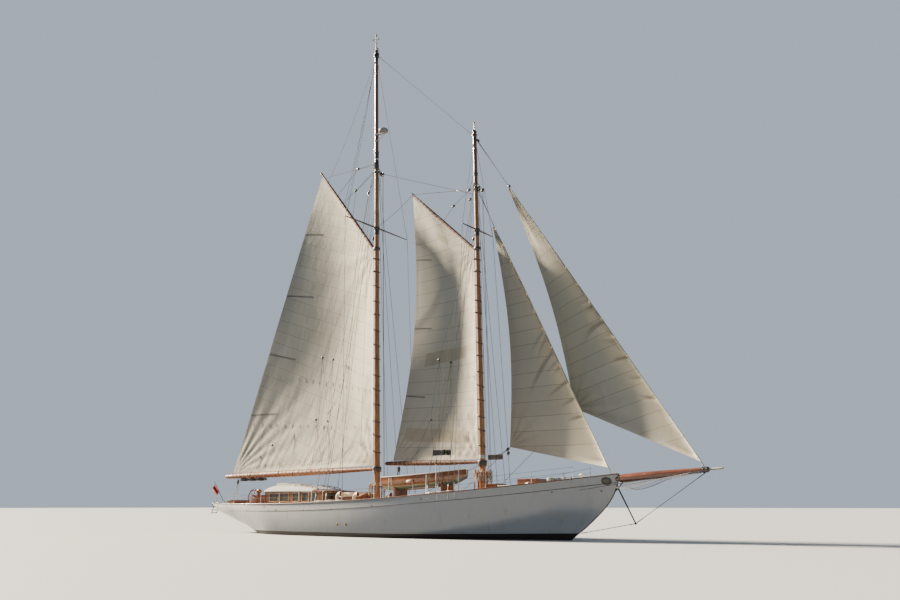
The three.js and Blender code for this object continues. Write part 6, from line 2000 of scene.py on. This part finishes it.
# %% Side lights and radar
LAMP_TOP, LAMP_Z = mast_at(FORE, 16.55), 3.6
LAMP = [(0, 0.034), (0.08, 0.040), (0.16, 0.040), (0.18, 0.031), (0.70, 0.031), (0.72, 0.040),
        (0.86, 0.036), (1, 0.012)]
for side, hand, tint in ((1, "port", (0.42, 0.02, 0.02)), (-1, "starboard", (0.02, 0.22, 0.10))):
    feet = rail_foot([3.65, 4.15, 4.65], side, -0.005, 0.028)
    cross = feet + (LAMP_TOP - feet) * ((LAMP_Z - feet[:, 2:]) / (LAMP_TOP[2] - feet[:, 2:]))
    ahead = unit(cross[2] - cross[0])
    out = unit(np.cross(unit(LAMP_TOP - cross[0]), ahead)) * side
    rise = np.cross(ahead, out) * side
    middle = (cross[0] + cross[2]) / 2 + out * (((cross - cross[0]) @ out).max() + 0.0093)
    board = boxes([middle + out * 0.011], (0.90, 0.022, 0.24), ahead=ahead, up=rise, ease=0.005)
    ledge = boxes([middle + ahead * 0.25 + out * 0.072 - rise * 0.105], (0.16, 0.10, 0.018),
                  ahead=ahead, up=rise, ease=0.004)
    screen = boxes([middle + ahead * 0.161 + out * 0.075], (0.022, 0.15, 0.24), ahead=ahead,
                   up=rise, ease=0.004)
    at = middle + ahead * 0.235 + out * 0.072
    case = turned(at - rise * 0.095, at + rise * 0.085,
                  [(0, 0.038), (0.2, 0.040), (0.24, 0.028), (0.76, 0.028), (0.80, 0.040),
                   (1, 0.022)], 18)
    glass = turned(at - rise * 0.048, at + rise * 0.040, pin(0.034, 0.037), 18)
    ties = hoops(np.concatenate([cross + out * 0.016 + rise * s for s in (-0.08, 0.08)]), rise,
                 0.024, 0.006, 16, 6)
    add("light_board_" + hand + "_wood", join(board, ledge, screen), BLACK,
        stands_for="light_board_" + hand)
    add("side_light_case_" + hand, case, BRONZE)
    add("side_light_glass_" + hand, glass,
        paint_finish("lamp_glass_" + hand, tint, tint, 0.12, 1.0))
    add("light_board_ties_" + hand, ties, WHITE_ROPE)
DOME_AT = mast_at(MAIN, 20.8, 0.48)
dome = turned(DOME_AT, DOME_AT + [0, 0, 0.245],
              [(0, 0.05), (0.004, 0.19), (0.16, 0.246), (0.28, 0.254), (0.31, 0.248),
               (0.34, 0.254), (0.60, 0.250), (0.72, 0.236), (0.84, 0.205), (0.94, 0.14),
               (1, 0.03)], 40)
bracket = join(boxes([(mast_at(MAIN, 20.78, 0.10) + DOME_AT - [0, 0, 0.02]) / 2 + [0.06, y, 0]
                      for y in (-0.07, 0.07)], (0.52, 0.03, 0.045), ease=0.006),
               boxes([DOME_AT - [0, 0, 0.012]], (0.22, 0.20, 0.022), ease=0.005),
               rods([mast_at(MAIN, 20.42, 0.10) + [0, y, 0] for y in (-0.05, 0.05)],
                    [DOME_AT + [0.02, y, -0.03] for y in (-0.09, 0.09)], 0.014, sides=10))
add("radar_shell", dome, DOME, stands_for="radar_dome")
add("radar_bracket", join(bracket, band(MAIN, 20.72, 0.10, 0.012), band(MAIN, 20.36, 0.08, 0.012)),
    GALVANISED)

# %% [markdown]
# The instruments at the masthead are thin arms with a vane and a cup. The lower parts of the
# hull that the frame brings keep their shape, and only take their finish here.

# %% Masthead and underwater finishes
tip = mast_at(MAIN, 26.62)
arm = rods([tip, tip - [0, 0, 0.12], tip - [0, 0, 0.30]],
           [tip + [-0.24, 0.02, -0.05], tip + [0.16, 0, -0.10], tip + [0.02, -0.16, -0.28]], 0.010,
           sides=8)
vane = boxes([tip + [-0.24, 0.02, -0.02]], (0.10, 0.012, 0.075), ease=0.003)
cups = turned([tip + [0.16, 0, -0.14]], [tip + [0.16, 0, -0.02]], pin(0.012, 0.030, 0.2), 12)
lamp = turned(mast_at(MAIN, 25.83, 0.10), mast_at(MAIN, 25.98, 0.10), LAMP, 14)
fore_tip = mast_at(FORE, 19.28)
sheaves = join(turned([fore_tip + [0, y, -0.06] for y in (-0.10, 0.10)],
                      [fore_tip + [0, y, 0.06] for y in (-0.10, 0.10)], pin(0.02, 0.045, 0.2), 14),
               turned(mast_at(MAIN, 25.50, 0.13), mast_at(MAIN, 25.66, 0.13),
                      pin(0.02, 0.055, 0.2), 14),
               turned(mast_at(MAIN, 25.50, -0.13), mast_at(MAIN, 25.66, -0.13),
                      pin(0.02, 0.055, 0.2), 14))
add("masthead_gear", join(arm, vane, cups, lamp, sheaves), BLACK)
for node, finish in (("ballast_keel", LEAD), ("rudder", LEAD), ("propeller", BRONZE),
                     ("ensign_staff", STAINED)):
    dress(node, finish)

# %% [markdown]
# A ladder hangs on the transom, and the ensign hangs from a staff that leans aft over it. The
# flag is a plain red cloth that has dropped from its staff. It falls further the further it
# is from the staff, and slow waves run through it.

# %% Ladder, staff and ensign
ladder_top = float(sheer(-12.85))
bow_of = np.linspace(0, np.pi, 12)
hook = spots(-12.835 - 0.095 * np.cos(bow_of), 0, ladder_top - 0.075 + 0.10 * np.sin(bow_of))
side_rail = np.concatenate([hook, [[-12.932, 0, ladder_top - 0.55]]])
rails = join(*[tube(side_rail + [0, y, 0], 0.020, 10) for y in (-0.05, -0.39)])
steps = boxes([[-12.947, -0.22, ladder_top - 0.52 + 0.15 * k] for k in range(4)],
              (0.072, 0.34, 0.036), ease=0.006)
add("stern_ladder_rungs", join(rails, steps), BLACK, stands_for="stern_ladder")
STAFF_FOOT, STAFF_HEAD = np.array([-12.16, 0, 1.30]), np.array([-13.33, 0, 2.69])
staff_up = unit(STAFF_HEAD - STAFF_FOOT)
ball = turned(STAFF_HEAD - staff_up * 0.012, STAFF_HEAD + staff_up * 0.008,
              [(0, 0.018), (0.3, 0.024), (0.7, 0.022), (1, 0.006)], 16)
socket = turned(STAFF_FOOT + staff_up * 0.15, STAFF_FOOT + staff_up * 0.42,
                [(0, 0.026), (0.06, 0.032), (0.94, 0.032), (1, 0.025)], 18)
add("staff_fittings", join(ball, socket), BRONZE)
u, v = np.meshgrid(np.linspace(0, 1, 34), np.linspace(0, 1, 34), indexing="ij")
hoist = STAFF_HEAD + staff_up * -(0.06 + 0.62 * u)[..., None]
fall = spots(-0.15 * v - 0.02 * np.sin(9 * v) * u,
             0.045 * np.sin(7 * v) * np.sqrt(v) + 0.012 * np.sin(17 * v + 3 * u) * v,
             -0.42 * v * (1 - 0.3 * u))
flag = add("ensign_cloth", plate(hoist + fall + [-0.009, -0.0008, -0.006],
                                 np.array([0, 0.0016, 0])), BUNTING, stands_for="ensign")

# %% [markdown]
# The awning is rolled up and tied under the after end of the boom, so it swings with it. It
# bulges between its ties: its radius follows the size of a sine with three humps, with a few
# creases wound round it.

# %% Awning roll
def under_boom(r, drop):
    """A point r metres behind the mast and drop metres below the boom's axis."""
    return on_boom(MAIN, r, -drop)


run = np.linspace(0, 1, 97)
start, end = under_boom(8.3, 0.242), under_boom(10.5, 0.213)
level, square = frames((end - start)[None])
a = np.linspace(0, 2 * np.pi, 30, endpoint=False)
swell = 0.050 + 0.033 * np.abs(np.sin(3 * np.pi * run)) ** 0.6
crease = (1 - 0.05 * (1 + np.sin(5 * a[None] + 26 * run[:, None])) / 2
          - 0.04 * (1 + np.sin(3 * a[None] - 31 * run[:, None])) / 2)
ring = np.cos(a)[None, :, None] * level + np.sin(a)[None, :, None] * square
middle = (start + (end - start) * run[:, None])[:, None]
roll = closed(middle + (swell[:, None] * crease)[..., None] * ring)
awning = add("awning_bundle", roll, NAVY, "main_rig", stands_for="awning_roll", smooth=60)
tie_at = np.array([8.33, 9.033, 9.767, 10.47])
ties = hoops(under_boom(tie_at, 0.228), end - start, 0.054, 0.006, 22, 6)
slings = [tube(under_boom(r, 0.078) + spots(0, np.cos(a) * 0.172,
                                            np.sin(a) * 0.235)[np.r_[0:30, 0]], 0.006, 6)
          for r in tie_at]
add("awning_ties", join(ties, *slings), WHITE_ROPE, "main_rig")

# %% [markdown]
# Openings in the side are rings that follow the planking. A point of the skin at a wanted x
# and height is found by moving the station until the section lands on that x. The chain
# leaves by an oval hawse near the stem, and rows of small scuppers clear the deck. The
# inside of each opening is a thin plate on the skin, grey in the hawse and black in the
# scuppers and exhausts: painted shade.

# %% Hull fittings
def on_hull(x, z, side):
    """The skin's point at x and height z, and the way straight out of it."""
    x, z = np.broadcast_arrays(np.asarray(x, float), np.asarray(z, float))
    rail = x.copy()
    for _ in range(30):
        st = stations(rail)
        p = skin(st, reach_of(st, z))
        rail = np.minimum(rail + (x - p[..., 0]), 11.40)
    st = stations(rail - 0.05)
    aft = skin(st, reach_of(st, z)) - p
    st = stations(rail)
    up = skin(st, reach_of(st, z - 0.05)) - p
    out = np.cross(up, aft)
    return p * [1, side, 1], unit(out) * np.sign(out[..., 1:2]) * [1, side, 1]


def side_ring(x, z, side, long, tall, thick, sides=8, around=28):
    """An oval ring laid on the skin, long along the hull."""
    a = np.linspace(0, 2 * np.pi, around + 1)
    out = on_hull(x, z, side)[1]
    p, way = on_hull(x + long / 2 * np.cos(a) * abs(out[1]), z + tall / 2 * np.sin(a), side)
    p[-1], way[-1] = p[0], way[0]
    return tube(p + way * thick * 0.35, thick, sides)


def side_disc(x, z, side, long, tall, rings=4, around=24):
    """A thin oval plate laid on the skin, used as painted shade inside an opening."""
    a = np.linspace(0, 2 * np.pi, around, endpoint=False)
    share = np.linspace(0.02, 1, rings)[:, None]
    out = on_hull(x, z, side)[1]
    p, way = on_hull(x + long / 2 * share * np.cos(a) * abs(out[1]),
                     z + tall / 2 * share * np.sin(a), side)
    low, high = p - way * 0.004, p + way * 0.003
    return closed(np.concatenate([high, low[::-1]]))


SCUPPERS = np.array([[-6.49, 1.34], [-6.09, 1.15], [-5.56, 1.18], [-3.51, 1.18], [-1.71, 1.23],
                     [0.77, 1.37], [3.39, 1.65], [8.95, 1.91], [10.77, 1.95]])
EXHAUSTS = np.array([[-1.29, 0.55], [-0.77, 0.56]])
dark, pale, lips = [], [], []
for side in (1, -1):
    dark.append(side_ring(11.0, 2.335, side, 0.36, 0.26, 0.030, 10, 40))
    # The plates inside the hawse and over the scupper and exhaust holes are painted shade for the
    # dark insides of the openings.
    pale.append(side_disc(11.0, 2.335, side, 0.34, 0.24))
    dark += [side_disc(x, z, side, 0.085, 0.045, 3, 14) for x, z in SCUPPERS]
    dark += [side_disc(x, z, side, 0.11, 0.10, 3, 16) for x, z in EXHAUSTS]
    lips += [side_ring(x, z, side, 0.10, 0.06, 0.007, 6, 18) for x, z in SCUPPERS]
    lips += [side_ring(x, z, side, 0.13, 0.12, 0.009, 6, 20) for x, z in EXHAUSTS]
add("hawse_rings_and_port_shade", join(*dark), BLACK)
add("hawse_hole_shade", join(*pale), COVE_LINE)
add("scupper_lips", join(*lips), BRONZE)
stem = skin(np.broadcast_to(HULL[0], (24, 10)), np.linspace(0.97, 0, 24)) * [1, 0, 1]
forefoot = spots(HULL[1:46:3, 1], 0, HULL[1:46:3, 2])
add("stem_band", tube(np.concatenate([stem, forefoot]) + [0.004, 0, 0], 0.026, 10), BLACK)
gammon = join(hoops([HEEL + SPRIT_WAY * 1.36], SPRIT_WAY, 0.135, 0.022, 30, 8),
              rods(pair(11.62, 0.05, 2.30), pair(11.28, 0.03, 1.95), 0.016, sides=10))
add("sprit_gammon", gammon, BLACK)

# %% [markdown]
# A net hangs below the bowsprit for those who stow the jib. Its outer edge is a rope from the
# bow to the sprit's end, and its meshes are cords between that rope and the spar, sagging a
# little in between. Cords that cross both ways give the diamonds.

# %% Bowsprit net
NET = np.array([[11.55, 0.60, 2.08], [11.90, 0.60, 2.01], [12.55, 0.52, 2.12], [13.30, 0.36, 2.36],
                [14.15, 0.22, 2.53], [14.78, 0.10, 2.64]])
t = np.linspace(NET[0, 0], NET[-1, 0], 34)
edge = spots(t, fair(NET[:, 0], NET[:, 1], t), fair(NET[:, 0], NET[:, 2], t))
spar = HEEL + SPRIT_WAY * ((t - HEEL[0]) / SPRIT_WAY[0])[:, None]
spar = spar + spots(0, 0.07, -np.interp(t, [11.5, 13.2, 14.8], [0.15, 0.135, 0.085]))


def net_side(side):
    """Cords from each knot of the spar to knots of the rope one place on and one back."""
    mirror = np.array([1, side, 1])
    low, high = edge * mirror, spar * mirror
    middle = (low[1:] + high[:-1]) / 2 - [0, 0, 0.05]
    back = (low[:-1] + high[1:]) / 2 - [0, 0, 0.05]
    starts = np.concatenate([high[:-1], middle, high[1:], back])
    ends = np.concatenate([middle, low[1:], back, low[:-1]])
    return rods(starts, ends, 0.0045, sides=5)


add("net_cords", join(net_side(1), net_side(-1)), ROPE)
add("net_ropes", join(*[tube(edge * [1, s, 1], 0.013, 8) for s in (1, -1)]), WHITE_ROPE)

# %% [markdown]
# Running rigging hoists and trims the sails. A block is a wooden shell with a strap, hung
# between its lines. Lines that stay on the hull ride with it, and lines on a boom or a gaff
# ride on that rig. A line from the hull to a rig rides on no body: it is fixed where it is
# drawn, at both of its ends.

# %% Running rigging
def block(at, way, long=0.22):
    """A round cheeked shell with a strap that ends in an eye at both ends."""
    at, way = np.asarray(at, float), unit(way)
    shell = turned(at - way * long * 0.4, at + way * long * 0.4,
                   [(0, 0.03), (0.12, 0.058), (0.4, 0.070), (0.6, 0.070), (0.88, 0.058),
                    (1, 0.03)], 14)
    return join(shell, rods([at - way * long * 0.55], [at + way * long * 0.55], 0.016, sides=8))


def line(points, slack=0.0, r=0.009):
    """A rope through points, each stretch sagging by slack times four t (1 - t)."""
    points = np.asarray(points, float)
    t = np.linspace(0, 1, 9 if slack else 2)[:-1, None]
    runs = [a + (b - a) * t - [0, 0, 1] * (4 * slack * t * (1 - t))
            for a, b in zip(points[:-1], points[1:])]
    return tube(np.concatenate([*runs, points[-1:]]), r, 6)


def gaff_top(mast, r):
    """The point r behind the mast on the gaff's upper side."""
    return on_gaff(mast, r, mast["gaff_rad"])


PEAK_BLOCKS = np.array([[-3.20, 0.18, 19.22], [-3.36, 0.22, 18.02], [-2.29, 0.05, 17.59]])
main_top = mast_at(MAIN, np.array([19.16, 18.79, 18.45]), -0.12)
span = gaff_top(MAIN, [4.35, 2.75, 1.15])
peak = [line([m, b], r=0.010) for m, b in zip(main_top, PEAK_BLOCKS)]
peak += [line([m + [0, 0.06, -0.05], b + [0, 0.05, 0]], r=0.010)
         for m, b in zip(main_top, PEAK_BLOCKS)]
shells = [block(b, g - m) for m, b, g in zip(main_top, PEAK_BLOCKS, span)]
shells += [block(m + [-0.04, 0, 0], [1, 0, -0.4], 0.18) for m in main_top]
BENT = [("main_peak_span_upper", "main", PEAK_BLOCKS[0], span[0], 0),
        ("main_peak_span_middle", "main", PEAK_BLOCKS[0], gaff_top(MAIN, 3.25), 0),
        ("main_peak_span_lower", "main", PEAK_BLOCKS[1], span[1], 0),
        ("main_peak_span_short", "main", PEAK_BLOCKS[1], gaff_top(MAIN, 1.95), 0),
        ("main_peak_span_throat", "main", PEAK_BLOCKS[2], span[2], 0),
        ("main_signal_halyard", "main", mast_at(MAIN, 25.3, -0.1), gaff_top(MAIN, 4.1), 0.28)]
fore_top = mast_at(FORE, np.array([16.9, 16.45, 16.1]), -0.11)
FORE_BLOCKS = np.array([[4.24, 0.02, 16.29], [3.16, 0.22, 15.75], [4.30, 0.02, 15.79]])
peak += [line([m, b], r=0.009) for m, b in zip(fore_top, FORE_BLOCKS)]
shells += [block(b, [1, -0.1, 0.35], 0.20) for b in FORE_BLOCKS]
shells += [block(m, [1, 0, -0.3], 0.15) for m in fore_top]
fore_span = gaff_top(FORE, [4.45, 2.25])
BENT += [("fore_peak_span_upper", "fore", FORE_BLOCKS[0], fore_span[0], 0),
         ("fore_peak_span_lower", "fore", FORE_BLOCKS[1], fore_span[1], 0),
         ("fore_gaff_vang", "fore", mast_at(MAIN, 15.56, 0.12), gaff_top(FORE, 4.5), 0.10)]
for mast, high, low, pins in ((MAIN, 18.5, 2.45, 0.36), (FORE, 16.2, 2.95, 0.38)):
    for turn in np.radians([32, -32, 60, -60]):
        way = np.array([np.cos(turn), np.sin(turn), 0])
        start = mast_at(mast, high) + way * 0.345
        peak += [line([start, mast_at(mast, low) + way * pins], r=0.008),
                 line([mast_at(mast, high + 0.34) + way * mast_r(mast, high), start], r=0.010)]
        shells.append(block(start, [0, 0, 1], 0.17))
throat = [block(mast_at(MAIN, 18.45, 0.30), [0, 0, 1], 0.24),
          block(mast_at(MAIN, 14.95, -0.22), [0, 0, 1], 0.24),
          block(mast_at(FORE, 13.75, -0.20), [0, 0, 1], 0.2)]
peak += [line([mast_at(MAIN, 18.7, 0.12), mast_at(MAIN, 18.35, 0.34),
               rail_foot(-2.4, -1, 0.10, 0.02)], r=0.009)]
jib_head, stay_head = SAILS["jib"][0][2], SAILS["staysail"][0][2]
peak += [line([mast_at(FORE, 18.75, 0.16), jib_head + [-0.03, 0, 0.05]], r=0.011),
         line([mast_at(FORE, 16.2, 0.14), stay_head + [-0.03, 0, 0.04]], r=0.011)]
shells += [block(mast_at(FORE, 18.72, 0.20), jib_way, 0.20),
           block(mast_at(FORE, 16.17, 0.18), stay_way, 0.20),
           block(jib_head + [-0.02, 0, 0.08], jib_way, 0.16)]
jib_clew, stay_clew = SAILS["jib"][0][1], SAILS["staysail"][0][1]
sheets = [line([jib_clew, rail_foot(3.9, 1, 0.14, 0.05)], 0.05, 0.011),
          line([stay_clew, rail_foot(1.6, 1, 0.14, 0.05)], 0.05, 0.011),
          line([stay_clew, [5.42, 0.10, 3.50], rail_foot(3.4, -1, 0.14, 0.05)], 0.06, 0.010)]
shells += [block(stay_clew + [-0.10, -0.02, -0.10], [1, 0, 0.9], 0.22),
           block(stay_clew + [-0.05, -0.06, -0.28], [0.4, 0, 1], 0.20),
           block(jib_clew + [-0.12, 0, -0.10], [1, 0, 0.7], 0.22)]
add("hull_lines", join(*peak, *sheets), DARK_ROPE)
add("hull_blocks", join(*shells, throat[0]), BLACK)
add("main_throat_block", throat[1], BLACK, "main_rig")
add("fore_throat_block", throat[2], BLACK, "fore_rig")
for name, word, start, end, slack in BENT:
    bent = add(name, line([start, end], slack, 0.010), DARK_ROPE, None)
    word + "_rig"
    tuple(start)
    tuple(end)
    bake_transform(bent)
for k, r in enumerate((9.6, 7.2)):
    start, over = mast_at(MAIN, 25.4 - 0.2 * k, -0.10,
                          0.05), np.array([-3.35 - 0.2 * k, 0.45, 20.6])
    foot = on_boom(MAIN, r, 0.0, -(boom_r(MAIN, r) + 0.012))
    lift = add(f"topping_lift_{k + 1}",
               line([start, over, [-4.3 - 0.3 * k, 0.78, 18.0], [-7.2 + 0.8 * k, 1.55, 9.5], foot],
                    0.04, 0.009), DARK_ROPE, None)
    tuple(start)
    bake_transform(lift)

# %% [markdown]
# Lazy jacks hang on both sides of each gaff sail and catch it when it is lowered. They start
# at the hounds, part at small blocks and end at the boom. The sheets pull the booms down:
# each is a tackle of four parts between a block on the boom and one on the deck.

# %% Lazy jacks, sheets and boom gear
def jack(side, mast, stops, feet):
    """A line down through its blocks, and from each block to two points of the boom."""
    stops = np.asarray(stops, float) + [0, side * 0.10, 0]
    ends = on_boom(mast, feet, 0.0, side * -(boom_r(mast, feet) + 0.010)[:, None])
    runs = [line([stops[k], stops[k + 1]], r=0.006) for k in range(len(stops) - 1)]
    runs += [line([stops[k // 2 + 1], ends[k]], r=0.006) for k in range(len(ends))]
    return join(*runs), join(*[block(s, [0.1, 0, 1], 0.13) for s in stops[1:]])


gear, blocks_on = {"main": [], "fore": []}, {"main": [], "fore": []}
for side in (1, -1):
    away = 0.62 if side > 0 else -0.04
    ropes, shells = jack(side, MAIN,
                         [[-1.75, 0.0, 15.3], [-5.07, away * 0.9, 8.96], [-5.38, away, 5.72],
                          [-8.92, away * 0.8 + 0.30, 4.58]], [3.3, 4.6, 4.0, 5.6, 7.1, 8.9])
    gear["main"].append(ropes)
    blocks_on["main"].append(shells)
    ropes, shells = jack(side, FORE,
                         [[4.65, 0.0, 14.0], [2.55, 0.75 if side > 0 else -0.02, 8.1],
                          [2.05, 0.75 if side > 0 else 0.02, 5.3]], [1.7, 2.6, 2.9, 4.3])
    gear["fore"].append(ropes)
    blocks_on["fore"].append(shells)
gear["main"] += [line([gaff_top(MAIN, g) - [0, 0.13, 0.1], on_boom(MAIN, b, 0.05, 0.14)], r=0.007)
                 for g, b in ((0.55, 1.3), (1.3, 2.6), (2.2, 4.9))]
cleat_r = np.array([2.2, 4.1, 6.3, 7.4, 8.0, 9.2, 10.9])
studs = boxes(on_boom(MAIN, cleat_r, -0.02, (boom_r(MAIN, cleat_r) + 0.003)[:, None]),
              (0.16, 0.035, 0.04), ahead=on_boom(MAIN, 9) - on_boom(MAIN, 2), ease=0.01)
bail_r = np.array([3.0, 6.0, 9.6, 11.45])
bails = hoops(on_boom(MAIN, bail_r), on_boom(MAIN, 9) - on_boom(MAIN, 2),
              boom_r(MAIN, bail_r) + 0.004, 0.010, 24, 6, 2.0)
add("main_boom_cleats", join(studs, bails), BLACK, "main_rig")
fore_way = on_boom(FORE, 5) - on_boom(FORE, 1)
bail_r = np.array([1.0, 2.6, 4.6, 5.5])
bails = hoops(on_boom(FORE, bail_r), fore_way, boom_r(FORE, bail_r) + 0.004, 0.009, 24, 6, 2.0)
add("fore_boom_bails",
    join(bails,
         boxes(on_boom(FORE, np.array([1.5, 3.4, 4.2]), -0.02,
                       boom_r(FORE, [1.5, 3.4, 4.2])[:, None] + 0.003), (0.13, 0.03, 0.035),
               ahead=fore_way, ease=0.008)), BLACK, "fore_rig")
for word in ("main", "fore"):
    add(word + "_lazy_jacks", join(*gear[word]), DARK_ROPE, word + "_rig")
    add(word + "_jack_blocks", join(*blocks_on[word]), BLACK, word + "_rig")
for word, r, foot in (("main", 10.75, (-11.85, 0.30)), ("fore", 5.0, (-0.30, 0.10))):
    mast = RIGS[word]
    high = on_boom(mast, r, -mast["rad"] - 0.16)
    low = np.array([*foot, float(deck_at(*foot)) + 0.10])
    parts = [line([high + [0.03 * k - 0.05, 0.02 * k - 0.03, -0.05],
                   low + [0.02 * k - 0.03, 0.03 * k - 0.05, 0.12]], r=0.009) for k in range(4)]
    bent = add(word + "_sheet_tackle", join(*parts), WHITE_ROPE if word == "main" else DARK_ROPE,
               None)
    word + "_rig"
    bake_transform(bent)
    add(word + "_sheet_block", block(high, [0, 0, 1], 0.30), BLACK, word + "_rig")
    add(word + "_deck_block", join(block(low + [0, 0, 0.04], [0, 0, 1], 0.26),
                                   boxes([low - [0, 0, 0.09]], (0.16, 0.12, 0.035), ease=0.008)),
        BLACK)

# %% [markdown]
# A sail has gear sewn to it: battens in pockets near its after edge, bands of points to reef
# it by, and patches where it was mended. Each is a strip that lies on the cloth, so its
# points come from the sail's own grid and stand off it by a few millimetres.

# %% Battens, reef points and patches
def cloth_point(word, u, v, out=0.0):
    """The sail's point at shares u up and v aft, out metres to starboard of it."""
    spread = SAILS[word][1]
    rows, columns = spread.shape[:2]
    a, b = np.clip(np.asarray(u, float) * (rows - 1), 0,
                   rows - 1.001), np.clip(np.asarray(v, float) * (columns - 1), 0, columns - 1.001)
    i, j = a.astype(int), b.astype(int)
    s, t = (a - i)[..., None], (b - j)[..., None]
    p = (spread[i, j] * (1 - s) * (1 - t) + spread[i + 1, j] * s * (1 - t)
         + spread[i, j + 1] * (1 - s) * t + spread[i + 1, j + 1] * s * t)
    return p - np.array([0, 1, 0]) * out


def strip(word, start, end, wide, steps=14):
    """A band on the starboard face from (u, v) to (u, v), wide metres across."""
    t = np.linspace(0, 1, steps)[:, None]
    tall = np.linalg.norm(SAILS[word][1][-1, 0] - SAILS[word][1][0, 0])
    up = np.linspace(-0.5, 0.5, 2 + int(wide / 0.08)) * wide / tall
    face = cloth_point(word, start[0] + (end[0] - start[0]) * t + up,
                       start[1] + (end[1] - start[1]) * t + 0 * up, 0.0045)
    return plate(face, np.array([0, -0.004, 0]))


POCKET = cloth_finish("batten_pocket", (0.36, 0.35, 0.30), (0.26, 0.25, 0.21))
battens = [strip("main", (u, v), (out, 0.995), 0.055)
           for u, v, out in ((0.205, 0.80, 0.195), (0.401, 0.77, 0.40), (0.629, 0.75, 0.597),
                             (0.845, 0.80, 0.805))]
sewn = {"main": [add("main_batten_pockets", join(*battens), POCKET, "main_rig")]}
battens = [strip("fore", (u, 0.74), (out, 0.99), 0.055)
           for u, out in ((0.243, 0.236), (0.519, 0.493), (0.798, 0.758))]
sewn["fore"] = [add("fore_batten_pockets", join(*battens), POCKET, "fore_rig")]
MENDED = cloth_finish("mended_cloth", (0.66, 0.60, 0.44), (0.56, 0.50, 0.36))
mends = [strip("fore", (0.480, 0.18), (0.385, 0.80), 0.52, 20),
         strip("fore", (0.10, 0.12), (0.095, 0.92), 0.50, 20),
         strip("fore", (0.93, 0.45), (0.92, 0.62), 0.30, 8)]
sewn["fore"].append(add("fore_mends", join(*mends), MENDED, "fore_rig"))
for word, body, heights in (("main", "main_rig", (0.17, 0.34)), ("fore", "fore_rig", (0.20, 0.38))):
    v = np.linspace(0.04, 0.96, 16 if word == "main" else 11)
    at = [cloth_point(word, np.full_like(v, u), v, 0.012) for u in heights]
    knots = np.concatenate(at)
    points = rods(knots + [0, 0, 0.02], knots - [0, 0.012, 0.20], 0.006, sides=5)
    sewn[word].append(add(word + "_reef_points", points, ROPE, body))
for word, pieces in sewn.items():
    cloth, cut, area = SAILS[word][2:]
    word + "_boom_pole"
    word + "_gaff_pole"
